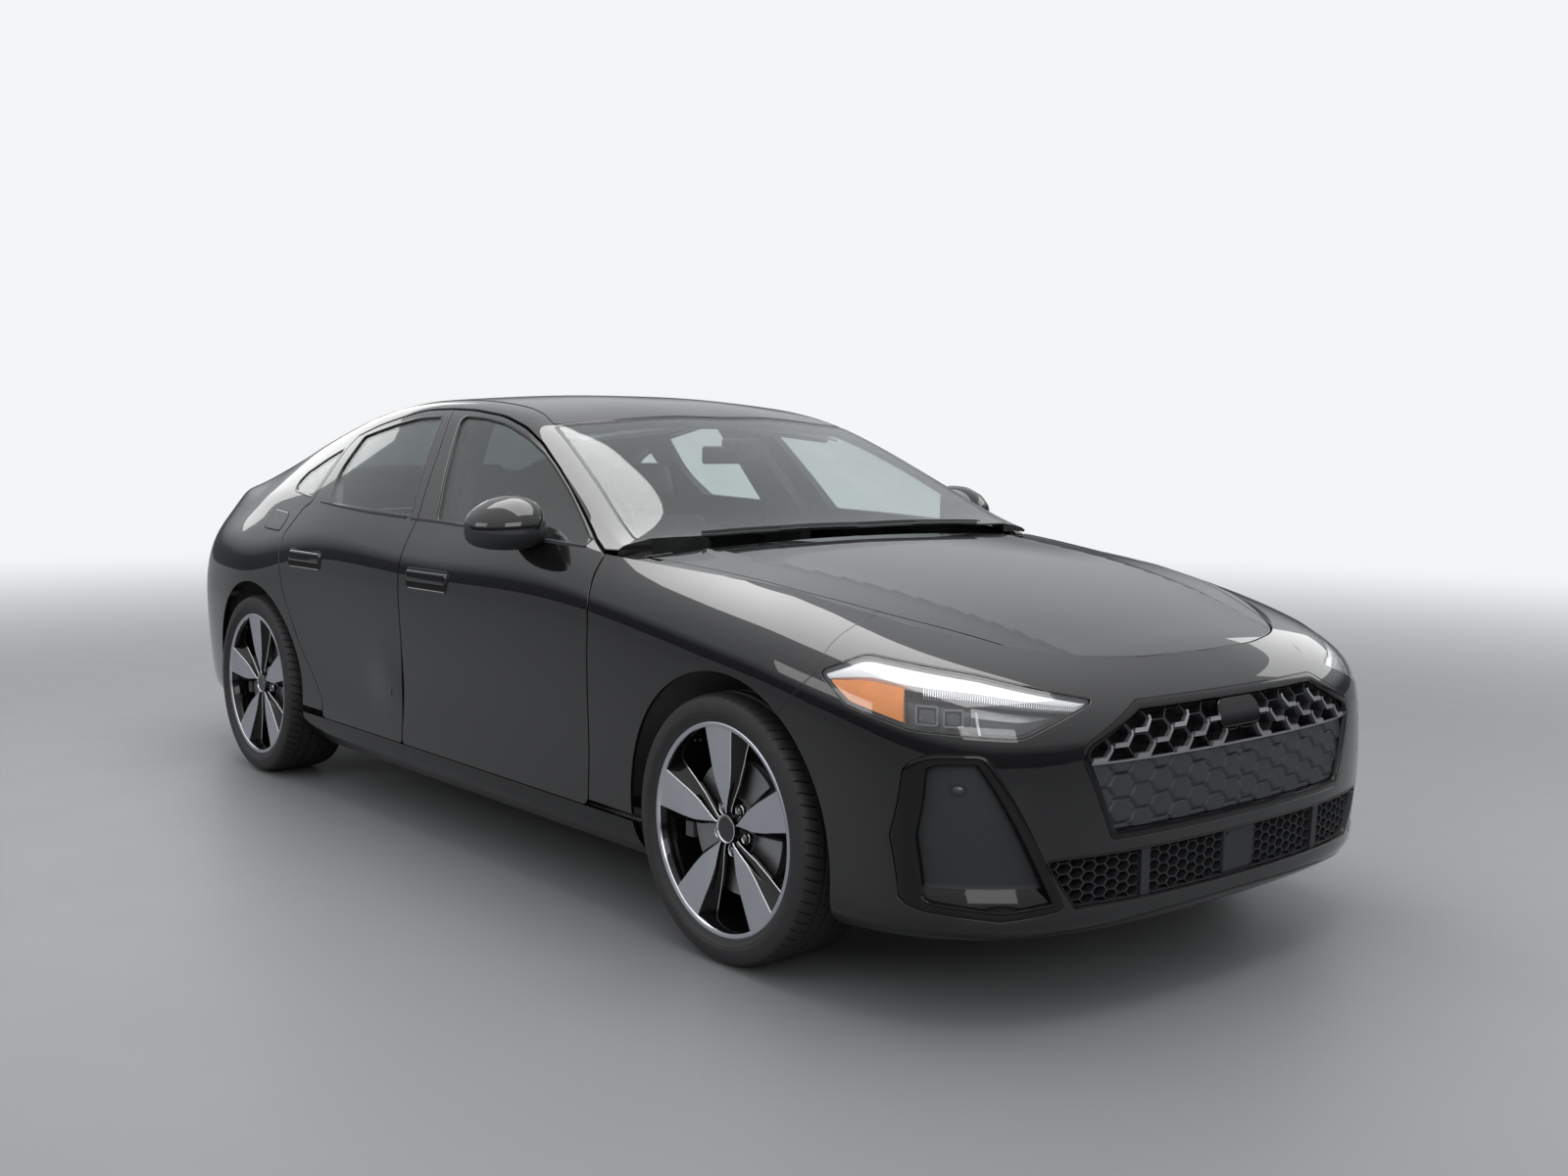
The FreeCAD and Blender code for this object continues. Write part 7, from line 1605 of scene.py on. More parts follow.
# Lower grille: two meshes, dividers, a plain block in the middle
mesh_fine = resampled(mesh_line, 12)
lower_build = Build()
rolled_band(lower_build, mesh_fine, [(.6, -3), (1, -.2), (2.6, .5), (5, -.4), (6.5, -5), (7, -40)], on_nose,
            [0, 0, 0, 0, 1])
inner_mesh = inset_line(mesh_fine, 6)
filled(inset_line(mesh_fine, 3), 34, on_nose, -46, lower_build, 4)
small_column, small_row, first_row_z = 33.0, 25.0, 272
block_room, sensor_bar_y, sensor_bar_half = 70, 345, 18
for k in range(20):
    for j in range(6):
        y = (k + .5) * small_column
        z = first_row_z + small_row * j + (0 if k % 2 == 0 else small_row / 2)
        in_block = y < block_room or abs(y - sensor_bar_y) < sensor_bar_half
        if in_block or distance(inner_mesh, np.array([(y, z)]))[0] < 4:
            continue
        for sign in (1, -1):
            hollow_cell(lower_build, (y * sign, z), (small_column * 2 / 3, small_row / 2 + .6), .13, -10, -36,
                        on_nose, 1)
for sign in (1, -1):
    line = [(sign * 331, 270), (sign * 359, 270), (sign * 362, 382), (sign * 334, 382)]
    stroke(lower_build, line, -4, -36, on_nose, 1)
block_line = rounded([(-62, 271, 6), (62, 271, 6), (62, 380, 6), (-62, 380, 6)])
rolled_band(lower_build, block_line, [(0, -40), (0, -9), (2, -7), (5, -6.4)], on_nose, 1)
block_depth, groove_depth, groove_pitch, groove_half = 6.4, 1.6, 22, 1.6


def block_lift(s):
    """Depth of the middle block, with level grooves."""
    sunk = np.abs(np.mod(s[:, 1], groove_pitch) - groove_pitch / 2) < groove_half
    return -block_depth - groove_depth * sunk


filled(inset_line(block_line, 5), 10, on_nose, block_lift, lower_build, 1)
place(lower_build.make("lower_grille_dressed", [gloss, matte, panel_plastic, satin, seal], 34), "body",
      "grille", ("lower_grille",))

# The blade along the front's foot
blade_half = np.array([(0, 233), (83, 232), (200, 229), (330, 225), (450, 219), (560, 212), (650, 205),
                       (720, 206), (770, 214)], float)
blade_line = np.concatenate([blade_half[::-1] * [-1, 1], blade_half[1:]])
blade_line = np.stack([np.interp(np.linspace(0, 1, 90), np.linspace(0, 1, len(blade_line)), blade_line[:, k])
                       for k in (0, 1)], 1)
blade_build = Build()
blade_build.sweep(on_nose(blade_line, -4.5), [(-6, -7), (4.6, -6), (5.4, -4.5), (5.6, 2), (4.8, 3.4),
                                              (-6, 7)], [0, 0, 0, 1, 0, 0], caps=0)
place(blade_build.make("front_blade", [gloss, satin_dark], 50), "body", "trim")


def on_lamp(az, lift=0.0):
    """Points of the corner over places in the lamp's own view."""
    view = lambda p: np.stack([(p - lamp_base) @ lamp_along, p[:, 2]], 1)
    u, v = locate(ring, az, view, (ring_u(0), ring_u(14)), (2, ring_top))
    return ring.at(u, v) + ring.normal(u, v) * np.reshape(lift, (-1, 1))


# Air curtains: frame, matte insert with a sensor, glossy scoop at the foot
curtain_build = Build()
curtain_fine = resampled(curtain_line, 8)
rolled_band(curtain_build, curtain_fine, [(.6, -3), (1, -.2), (3.5, 1.0), (15, .6), (21, -2), (24, -8),
                                          (25, -26)], on_nose, 0)
insert_line = inset_line(curtain_fine, 24.5)


insert_depth, scoop_top, scoop_run, scoop_rise = 26, 318, 40, 19
sensor_y, sensor_z, sensor_seat = 790, 540, 12


def insert_lift(s):
    """Depth of the matte insert, which comes forward as a scoop at its foot."""
    return -insert_depth + np.clip((scoop_top - s[:, 1]) / scoop_run, 0, 1) ** .8 * scoop_rise


spots, faces = filled(insert_line, 7, on_nose, insert_lift, curtain_build, 1)
curtain_build.kinds[-1] = np.where(spots[faces].mean(1)[:, 1] < scoop_top - 2, 0, 1)
seat_turns = np.linspace(0, 2 * math.pi, 25)[:-1]
seat_line = np.array([(sensor_y + sensor_seat * math.sin(a), sensor_z + sensor_seat * math.cos(a))
                      for a in seat_turns])
rolled_band(curtain_build, seat_line, [(-1.5, -26), (0, -23), (2, -23), (3.2, -25), (6, -23.5),
                                       (11.5, -22.6)], on_nose, [1, 1, 1, 2, 2])
twin_build("air_curtain", curtain_build, [gloss, matte, satin_dark], both_sides, "trim")

# Headlamps
lamp_fine = resampled(lamp_line, 8)
lamp_build = Build()
rolled_band(lamp_build, lamp_fine, [(.5, -12), (.6, -3), (1.4, -1.6), (3.6, -1.7), (4.2, -8), (9, -30),
                                    (11, -44)], on_lamp, [1, 1, 1, 0, 0, 0])
filled(inset_line(lamp_fine, 9), 16, on_lamp, -44, lamp_build, 0)
inner_line = inset_line(lamp_fine, 6)
along_places = np.linspace(inner_line[:, 0].min() + 3, inner_line[:, 0].max() - 3, 97)
top_of, low_of = [], []
for a in along_places:
    near = np.array([(inner_line[k - 1], inner_line[k]) for k in range(len(inner_line))
                     if (inner_line[k - 1][0] - a) * (inner_line[k][0] - a) <= 0])
    heights = [p[1] + (q[1] - p[1]) * (a - p[0]) / (q[0] - p[0] + 1e-9) for p, q in near]
    top_of.append(max(heights))
    low_of.append(min(heights))
top_of, low_of = np.array(top_of), np.array(low_of)
band_places, band_depths = [0, 60, 200, 400, 520, 590], [7, 13, 22, 33, 34, 16]
depth_of = np.interp(along_places, band_places, band_depths)
depth_of = np.minimum(depth_of, (top_of - low_of) * .8)
rows = []
for down, lift in ((0, -20), (.06, -8), (.35, -5.5), (.75, -6), (.94, -8), (1, -22)):
    rows.append(on_lamp(np.stack([along_places, top_of - depth_of * down], 1), lift))
lamp_build.grid(np.stack(rows, 1), 2)
foot = top_of - depth_of
fin_first, fin_last, fin_pitch = 26, 380, 5.2
for a in np.arange(fin_first, fin_last, fin_pitch):
    z = float(np.interp(a, along_places, foot))
    drop = float(np.interp(a, [fin_first, 200, fin_last], [6, 11, 13]))
    stroke(lamp_build, [(a - .9, z + 2), (a + .9, z + 2), (a + .9, z - drop), (a - .9, z - drop)], -9, -22,
           on_lamp, 2)
amber_start, slope_start, slope_end = 418, 40, 276
amber_places = along_places[along_places > amber_start]
amber_top = np.interp(amber_places, along_places, foot) - 2
amber_low = np.maximum(np.interp(amber_places, along_places, low_of) + 3, 0)
keep = amber_top - amber_low > 2
amber_places, amber_top, amber_low = amber_places[keep], amber_top[keep], amber_low[keep]
rows = [on_lamp(np.stack([amber_places, amber_top + (amber_low - amber_top) * s], 1), lift)
        for s, lift in ((0, -24), (.04, -9), (.5, -7.5), (.96, -9), (1, -24))]
lamp_build.grid(np.stack(rows, 1), 3, caps=3)
reflector_boxes = [(372, 704, 27, 24), (312, 700, 24, 22)]
for a, z, half, high in reflector_boxes:
    box_line = rounded([(a - half, z - high, 6), (a + half, z - high, 6), (a + half, z + high, 6),
                        (a - half, z + high, 6)])
    rolled_band(lamp_build, box_line, [(0, -42), (0, -15), (1.5, -13), (5, -13), (6, -18), (9, -24)], on_lamp,
                [0, 4, 4, 0, 0])
    filled(inset_line(box_line, 9), 6, on_lamp,
           lambda s: -24 + 6 * np.clip(1 - ((s[:, 0] - a) / half) ** 2, 0, 1), lamp_build, 5)
slope = along_places[(along_places > slope_start) & (along_places < slope_end)]
slope_top = np.interp(slope, along_places, foot) - 15
slope_low = np.interp(slope, along_places, low_of) + 4
ok = slope_top - slope_low > 3
slope, slope_top, slope_low = slope[ok], slope_top[ok], slope_low[ok]
rows = [on_lamp(np.stack([slope, slope_top + (slope_low - slope_top) * s], 1), lift)
        for s, lift in ((0, -42), (.05, -26), (.45, -17), (.5, -19.5), (.95, -30), (1, -42))]
lamp_build.grid(np.stack(rows, 1), 4, caps=4)
bar = on_lamp([(262, 716), (258, 690), (252, 664)], -14)
lamp_build.sweep(bar, [(-2, -2), (2, -2), (2, 2), (-2, 2)], 2, up=(1, 0, 0), caps=2)
twin_build("headlamp_inside", lamp_build, [lamp_dark, gloss, lamp_white, amber, lamp_grey, screen],
           both_sides, "lamp", ("headlamps", "headlamps"))
lens_build, lens_edge = Build(), inset_line(lamp_fine, .8)
lens_outer, lens_inner = -1.0, -3.4
filled(lens_edge, 14, on_lamp, lens_outer, lens_build, 0)
filled(lens_edge, 14, on_lamp, lens_inner, lens_build, 0)
rolled_band(lens_build, lens_edge, [(0, lens_outer), (0, lens_inner)], on_lamp, 0)
twin_build("headlamp_lens", lens_build, [lens_glass], both_sides, "lamp")

# Door mirrors: painted cap, dark lower shell, split line, flat rear glass, slim foot
mirror_inner, mirror_span, mirror_mid_x, mirror_mid_z = 852, 197, 574, 1036
mirror_sweep, mirror_drop, rear_share = 40, 6, .40
section_places = [(0, 60, 48, 40), (.03, 84, 66, 52), (.10, 104, 82, 60), (.25, 118, 94, 64),
                  (.45, 120, 92, 64), (.65, 112, 80, 60), (.80, 98, 62, 52), (.90, 78, 46, 42),
                  (.96, 54, 30, 30), (.99, 28, 16, 16)]
turns = np.linspace(0, 2 * math.pi, 49)[:-1]
mirror_build = Build()
rows = []
for share, reach, rise, fall in section_places:
    c, s = np.cos(turns), np.sin(turns)
    x = mirror_mid_x - mirror_sweep * share
    x = x + np.where(c > 0, reach * np.abs(c) ** .95, -rear_share * reach * np.abs(c) ** .4)
    z = mirror_mid_z + np.where(s > 0, rise, fall) * np.sign(s) * np.abs(s) ** .86 - mirror_drop * share
    rows.append(np.stack([x, np.full(len(turns), mirror_inner + mirror_span * share), z], 1))
shell_level, split_level, split_half = -.12, -.07, .06
turn_level = np.sin(turns + math.pi / len(turns))
low_part, split = turn_level < shell_level, np.abs(turn_level - split_level) < split_half
mirror_build.grid(rows, np.where(split, 2, np.where(low_part, 1, 0)), ring_line=True, caps=1)
glass_rows = []
stations = [p[0] for p in section_places]
for share in np.linspace(.08, .90, 15):
    reach, rise, fall = [float(np.interp(share, stations, [p[k] for p in section_places])) for k in (1, 2, 3)]
    x = mirror_mid_x - mirror_sweep * share - rear_share * reach - .8
    y, z = mirror_inner + mirror_span * share, mirror_mid_z - mirror_drop * share
    glass_rows.append([(x, y, z + part * (rise if part > 0 else fall) * .70)
                       for part in np.linspace(-1, 1, 7)])
mirror_build.grid(glass_rows, 3)
foot_path = [(566, 846, 958), (567, 866, 972), (569, 880, 984), (571, 894, 996)]
mirror_build.sweep(foot_path, [(34 * math.cos(a), 11 * math.sin(a)) for a in turns[::3]], 1,
                   up=(0, -.5, .85), caps=1)
twin_build("door_mirror_dressed", mirror_build, [paint, matte, satin_dark, mirror_glass], doors[0], "trim",
           ("door_mirror_left", "door_mirror_right"), smooth=50)


def handle(x_first, x_last, low, high, build):
    """A flush handle: a flat dark plate with painted shade in place of the sunk pocket, painted bar, bright
    lower lip.
    """
    outer = rounded([(x_first, low, 26), (x_last, low + 2, 26), (x_last, high + 2, 22), (x_first, high, 22)])
    rolled_band(build, outer, [(-1, .75), (0, 1.1), (2, 1.3), (3, 1.2)], on_flank, 0)
    # painted shade: a flat matte black plate over the skin stands in for the shaded hollow of the sunk pocket
    filled(inset_line(outer, 3), 8, on_flank, 1.2, build, 1)
    bar_line = rounded([(x_first + 12, low + 25, 13), (x_last - 12, low + 27, 13), (x_last - 8, high - 4, 14),
                        (x_first + 8, high - 6, 14)])
    bar_line = resampled(bar_line, 6)
    rolled_band(build, bar_line, [(0, 1.2), (.4, 3.2), (1.6, 5.0), (4, 6.6), (8, 7.4)], on_flank, 0)
    filled(inset_line(bar_line, 8), 8, on_flank, 7.4, build, 0)
    path = on_flank([(x, low + 5.5 + 2 * (x - x_first) / (x_last - x_first))
                     for x in np.linspace(x_first + 24, x_last - 24, 24)], 1.6)
    build.sweep(path, [(-1.2, -1.4), (1.6, -1.2), (2.0, .4), (.6, 1.5), (-1.2, 1.4)], 2, caps=2)


front_handle, rear_handle, handle_rise = (-94, 189, 806), (-1007, -716, 812), 69
for body_pair, (x_first, x_last, low) in ((doors[0], front_handle), (doors[1], rear_handle)):
    handle_build = Build()
    handle(x_first, x_last, low, low + handle_rise, handle_build)
    twin_build("handle_" + body_pair[0][:5].rstrip("_"), handle_build, [paint, seal, bright], body_pair,
               "trim", smooth=50)

# Belt strips, window channels
front_belt_shares = [(.2360, .6872), (.30, .6925), (.4269, .7020), (.5323, .7070), (.5890, .7082)]
rear_belt_shares = [(.6020, .7095), (.70, .7140), (.8045, .7240), (.8330, .7270)]
for name, body_pair, shares, count in (("front_belt", doors[0], front_belt_shares, 60),
                                       ("rear_belt", doors[1], rear_belt_shares, 36)):
    line = np.array([(front_axle - a * wheelbase, b * height) for a, b in shares])
    line = np.stack([np.interp(np.linspace(0, 1, count), np.linspace(0, 1, len(line)),
                               line[:, k]) for k in (0, 1)], 1)
    belt_build = Build()
    belt_build.sweep(on_flank(line, .9), [(-1.5, -5), (1.6, -5), (2.6, -3.6), (2.2, 4.6), (-1.5, 5)], 0,
                     caps=0)
    twin_build(name + "_strip", belt_build, [satin_dark], body_pair, "trim", smooth=50)
for name, body_pair, line in (("front_channel", doors[0], front_glass_line),
                              ("rear_channel", doors[1], rear_glass_line),
                              ("quarter_channel", both_sides, quarter_line)):
    channel_build = Build()
    fine = resampled(line, 14)
    rolled_band(channel_build, fine, [(-6.5, .72), (-6, 1.1), (-1.5, 1.1), (.2, .6), (1.6, -1.5), (2, -5.4),
                                      (.5, -5.6)], on_flank, 0)
    twin_build(name, channel_build, [gloss], body_pair, "trim", smooth=40)

# Fuel flap on the right, wipers, windscreen frame and border
flap = resampled(rounded([(-1360, 936, 20), (-1164, 932, 20), (-1128, 1000, 22), (-1316, 1006, 22)]), 6)
flap_build = Build()
mirror_x = lambda xz, lift=0.0: on_flank(xz, lift) * np.array([1, -1, 1])
rolled_band(flap_build, flap, [(-2.6, .6), (-2.2, 1.5), (-.6, 1.5), (-.1, .8)], mirror_x, 1)
rolled_band(flap_build, flap, [(0, 1.0), (.6, 1.9), (3, 2.1)], mirror_x, 0)
filled(inset_line(flap, 3), 10, mirror_x, 2.1, flap_build, 0)
place(flap_build.make("fuel_flap", [paint, seal], 50), "body", "paint")
wiper_build = Build()
wiper_spans, arm_points, screen_foot_x = [(560, -60), (-20, -560)], 22, 900
edge_points = screen_line[np.argsort(screen_line[:, 1])]
edge_points = edge_points[edge_points[:, 0] > screen_foot_x]
for first, last in wiper_spans:
    ys_of = np.linspace(first, last, 40)
    edge_x = np.interp(ys_of, edge_points[:, 1], edge_points[:, 0])
    blade = np.stack([edge_x - 20, ys_of], 1)
    wiper_build.sweep(on_upper(blade, 4), [(-3, -3), (-1, -5), (1, -5), (3, -3), (3.5, 1), (1.5, 3),
                                           (-2, 3)], 0, caps=0)
    arm = np.stack([edge_x[:arm_points] - 9, ys_of[:arm_points]], 1)
    wiper_build.sweep(on_upper(arm, 6), [(-4, -2), (4, -2), (3, 2), (-3, 2)], 0, caps=0)
place(wiper_build.make("wipers", [matte], 40), "body", "trim")
strip_build = Build()
screen_fine = resampled(screen_line, 16)
rolled_band(strip_build, screen_fine, [(-1.5, -3), (-1, .3), (6, .4), (7, -.1)], on_upper, 0)
place(strip_build.make("windscreen_frame", [gloss], 40), "body", "trim")
dark_build = Build()
rolled_band(dark_build, screen_fine, [(1, -5.2), (24, -5.2)], on_upper, 0)
place(dark_build.make("windscreen_border", [seal], 40), "body", "glass")

# Seats: crowned pads with sewn channels and raised bolsters, shaped in code
def pad(low, high, radius, crown, face, seams=(), bolster=0.0, count=26, pinch=5.0):
    """A soft box: its face is crowned, its sides pull in, its seams sink; face is +x or +z of the pad."""
    low, high = np.asarray(low, float), np.asarray(high, float)
    middle, half = (low + high) / 2, (high - low) / 2
    points, faces, total = [], [], 0
    lines = np.tan(np.linspace(-1, 1, count + 1) * math.pi / 4)
    for axis in range(3):
        for sign in (1, -1):
            a, b = np.meshgrid(lines, lines, indexing="ij")
            cube = np.zeros((a.size, 3))
            cube[:, axis] = sign
            cube[:, (axis + 1) % 3], cube[:, (axis + 2) % 3] = a.ravel(), b.ravel()
            n = count + 1
            i, j = np.meshgrid(np.arange(count), np.arange(count), indexing="ij")
            k = (i * n + j).ravel()
            faces.append(np.stack([k, k + n, k + n + 1, k + 1], 1) + total)
            points.append(cube)
            total += len(cube)
    cube = np.concatenate(points)
    core = np.maximum(half - radius, 1)
    spots = cube * half
    nearest = np.clip(spots, -core, core)
    away = spots - nearest
    length_of = np.linalg.norm(away, axis=1)
    spots = nearest + away / np.maximum(length_of, 1e-9)[:, None] * np.minimum(length_of, radius)[:, None]
    share = spots / half
    others = [k for k in range(3) if k != face]
    dome = np.clip(1 - share[:, others[0]] ** 2, 0, 1) * np.clip(1 - share[:, others[1]] ** 2, 0, 1)
    top = np.clip(share[:, face], 0, 1) ** 2
    for k in others:
        waist = np.clip(1 - share[:, face] ** 2, 0,
                        1) * np.clip(1 - share[:, [o for o in others if o != k][0]] ** 2, 0, 1)
        spots[:, k] -= np.sign(share[:, k]) * np.abs(share[:, k]) ** 3 * (pinch * (1 - waist))
    spots[:, face] += top * (crown * dome - crown)
    y_axis = 1
    if bolster:
        spots[:, face] += top * bolster * (np.clip((np.abs(share[:, y_axis]) - .60) / .25, 0, 1) ** 1.5 - 1)
    for where_axis, place_share, wide, deep, reach_low, reach_high in seams:
        other = [o for o in others if o != where_axis][0]
        within = ((share[:, other] > reach_low) & (share[:, other] < reach_high)).astype(float)
        away_from_seam = (share[:, where_axis] - place_share) * half[where_axis] / wide
        spots[:, face] -= top * within * deep * np.exp(-away_from_seam ** 2)
    return spots + middle, np.concatenate(faces)


def seat_pad(name, data, matrix, body="body", slot="seat", replaces=()):
    """One padded piece of a seat, leaned back by a matrix where it has one."""
    build = Build().add(data[0], data[1], 0)
    if matrix is not None:
        build.moved(matrix)
    piece = build.make(name, [leather], 60)
    place(piece, body, slot, replaces)
    return piece


def tilted(x, y, z, degrees):
    """A move to a place after a lean about the car's cross direction."""
    a = math.radians(degrees)
    return np.array([[math.cos(a), 0, -math.sin(a), x], [0, 1, 0, y], [math.sin(a), 0, math.cos(a), z],
                     [0, 0, 0, 1]])


seat_middle, seat_half = 370, 258
cushion_x, cushion_z = (-282, 214), (332, 458)
back_x, back_z, back_lean = (2, 118), (2, 598), 22
back_foot_x, back_foot_z = -407.9, 402
rest_x, rest_z, rest_half = (8, 112), (652, 818), 138
base_x, base_z, base_half = (-214, 146), (207, 331), 190
head_post_x, post_reach, post_radius = 60, 70, 7
plate_x, plate_z, plate_gap, plate_wall_half = (-470, -250), (340, 450), 10, 6
bench_half, bench_foot_x, bench_foot_z = 607, -1312, 463
bench_x, bench_z, bench_back_x, bench_back_z = (-1170, -674), (322, 448), (2, 118), (4, 516)
rows_of = [(0, s, 2.2, 5, -.52, .52) for s in (-.45, -.1, .25, .6)]
sides_of = [(1, s, 2.2, 6, -.9, .9) for s in (-.56, .56)]
backs_of = [(2, s, 2.2, 5, -.52, .52) for s in (-.4, -.1, .2, .5)]
for label, middle in (("left", seat_middle), ("right", -seat_middle)):
    leaning = tilted(back_foot_x, middle, back_foot_z, back_lean)
    cushion = pad((cushion_x[0], middle - seat_half, cushion_z[0]),
                  (cushion_x[1], middle + seat_half, cushion_z[1]), 38, 16, 2, rows_of + sides_of, bolster=14)
    seat_pad("front_cushion_" + label, cushion, None, replaces=("front_seats",))
    back = pad((back_x[0], -seat_half, back_z[0]), (back_x[1], seat_half, back_z[1]), 40, 14, 0,
               backs_of + [(1, s, 2.2, 6, -.9, .8) for s in (-.56, .56)], bolster=18)
    seat_pad("front_back_" + label, back, leaning)
    rest = pad((rest_x[0], -rest_half, rest_z[0]), (rest_x[1], rest_half, rest_z[1]), 42, 10, 0,
               [(2, -.5, 2, 4, -1, 1)], count=18)
    seat_pad("head_rest_" + label, rest, leaning)
    post_build = Build()
    for side_y in (-post_reach, post_reach):
        post_build.sweep([(head_post_x, side_y, back_z[1]), (head_post_x, side_y, rest_z[0] + 4)],
                         disc_section(post_radius, 12), 0, up=(1, 0, 0), caps=0)
    post_build.moved(leaning)
    base = Build()
    base.block((base_x[0], middle - base_half, base_z[0]), (base_x[1], middle + base_half, base_z[1]), 12, 0)
    place(base.make("seat_base_" + label, [rough_plastic], 40), "body", "seat")
    for side_sign in (-1, 1):
        base = Build()
        plate_y = middle + side_sign * (seat_half + plate_gap)
        base.block((plate_x[0], plate_y - plate_wall_half, plate_z[0]),
                   (plate_x[1], plate_y + plate_wall_half, plate_z[1]), 5, 0)
        name = "seat_plate_%s_%s" % (label, "in" if side_sign < 0 else "out")
        place(base.make(name, [rough_plastic], 40), "body", "seat")
    place(post_build.make("head_posts_" + label, [steel], 50), "body", "seat")
place_seams = [(1, s, 2.4, 7, -.95, .95) for s in (-.36, .36)]
bench_seams = place_seams + [(0, s, 2.2, 5, -.95, .95) for s in (-.3, .2)]
bench_cushion = pad((bench_x[0], -bench_half, bench_z[0]), (bench_x[1], bench_half, bench_z[1]), 40, 14, 2,
                    bench_seams, count=40)
seat_pad("bench_cushion", bench_cushion, None, replaces=("rear_seat",))
back_seams = place_seams + [(2, s, 2.2, 5, -.95, .95) for s in (-.2, .3)]
bench_back = pad((bench_back_x[0], -bench_half, bench_back_z[0]),
                 (bench_back_x[1], bench_half, bench_back_z[1]), 40, 14, 0, back_seams, count=40)
seat_pad("bench_back", bench_back, tilted(bench_foot_x, 0, bench_foot_z, back_lean))

# Dashboard: brow, cover, air vents, one long screen
dash_build = Build()
dash_profile = [(690, 600), (694, 690), (700, 745), (716, 770), (752, 782), (762, 800), (742, 822),
                (726, 838), (724, 852), (742, 874), (790, 892), (880, 905), (980, 912), (1052, 910),
                (1066, 900), (1067, 700), (1060, 592), (720, 588)]
dash_middle, dash_back_x, dash_reach, dash_sweep = (880, 750), 860, 690, 22
vent_spans = [(-640, -470), (-90, 70), (90, 250), (500, 640)]
vent_x, vent_z = (706, 726), (826, 848)
slat_x, slat_heights, slat_half, slat_gap = (702, 716), (831, 837, 843), .8, 6
ys = np.concatenate([[-688, -684, -672], np.linspace(-650, 650, 41), [672, 684, 688]])
shrink = np.concatenate([[18, 8, 2], np.zeros(41), [2, 8, 18]])
rows = []
for y, pull in zip(ys, shrink):
    centre = np.array(dash_middle)
    profile_points = np.array(dash_profile, float)
    away = profile_points - centre
    length_of = np.linalg.norm(away, axis=1)[:, None]
    profile_points = centre + away * (length_of - pull) / length_of
    sweep_back = dash_sweep * (abs(y) / dash_reach) ** 2
    profile_points[:, 0] += np.where(profile_points[:, 0] < dash_back_x, sweep_back, 0)
    rows.append(np.stack([profile_points[:, 0], np.full(len(profile_points), y), profile_points[:, 1]], 1))
dash_build.grid(rows, [0, 0, 0, 0, 1, 1, 2, 2, 0, 0, 0, 0, 0, 0, 0, 0, 0, 0], ring_line=True, caps=0)
for y0, y1 in vent_spans:
    dash_build.block((vent_x[0], y0, vent_z[0]), (vent_x[1], y1, vent_z[1]), 4, 2)
    for z in slat_heights:
        dash_build.block((slat_x[0], y0 + slat_gap, z - slat_half), (slat_x[1], y1 - slat_gap, z + slat_half),
                         0, 3)
place(dash_build.make("dashboard_dressed", [soft_dash, satin_dark, seal, bright], 34), "body", "trim",
      ("dashboard",))
screen_build = Build()
rows = []
screen_first, screen_last, screen_bend = 520, 40, 26
screen_middle, screen_half = (screen_first + screen_last) / 2, (screen_first - screen_last) / 2
for y in np.linspace(screen_first, screen_last, 25):
    bend = screen_bend * ((y - screen_middle) / screen_half) ** 2
    rows.append([(704 - bend, y, 858), (700 - bend, y, 861), (712 - bend, y, 905), (718 - bend, y, 907),
                 (722 - bend, y, 860)])
screen_build.grid(rows, 0, ring_line=True, caps=0)
place(screen_build.make("screens", [screen], 40), "body", "trim")

# Steering wheel: padded rim, three spokes, boss, column
wheel_centre = (556.737, 370, 790.096)
wheel_reach, flat_share, column_radius, column_length = 182, .86, 29, 129
wheel_build = Build()
rim_points = []
for a in np.linspace(0, 2 * math.pi, 97)[:-1]:
    reach = wheel_reach - (16 * np.clip(-math.cos(a) - flat_share, 0, 1) / (1 - flat_share))
    rim_points.append((reach * math.cos(a), reach * math.sin(a), 0))
grip_half, grip_swell, grip_depth = 13.5, .8, 15
rim_section = [((grip_half + grip_swell * math.cos(3 * a)) * math.cos(a), grip_depth * math.sin(a))
               for a in np.linspace(0, 2 * math.pi, 17)[:-1]]
wheel_build.sweep(rim_points, rim_section, 0, up=(0, 0, 1), closed=True)
boss_line = rounded([(58, -62, 26), (58, 62, 26), (-46, 66, 30), (-72, 34, 24), (-72, -34, 24),
                     (-46, -66, 30)])
boss_rows = [np.column_stack([inset_line(boss_line, gap), np.full(len(boss_line), z)])
             for gap, z in ((2, -16), (0, -8), (0, 6), (3, 12), (10, 16), (24, 18))]
wheel_build.grid(boss_rows, 0, ring_line=True, caps=0)
wheel_spokes = [((6, 58), (14, 176), 17), ((6, -58), (14, -176), 17), ((-66, 0), (-160, 0), 15)]
for first, last, half in wheel_spokes:
    first, last = np.array(first + (0,), float), np.array(last + (0,), float)
    spoke_section = [(-half, -5), (half, -5), (half + 1, 0), (half - 2, 5), (2 - half, 5), (-half - 1, 0)]
    wheel_build.sweep(np.linspace(first, last, 8), spoke_section, 1, caps=1)
    wheel_build.sweep(np.linspace(first * .72 + last * .28, first * .4 + last * .6, 4),
                      [(-9, 5), (9, 5), (8, 7.5), (-8, 7.5)], 2, caps=2)
wheel_build.sweep([(0, 0, -16), (0, 0, -column_length)], disc_section(column_radius, 32), 2, up=(1, 0, 0),
                  caps=2)
wheel_build.moved(tilted(*wheel_centre, 66))
place(wheel_build.make("steering_wheel_dressed", [leather, satin_dark, matte], 34), "body", "trim",
      ("steering_wheel",))
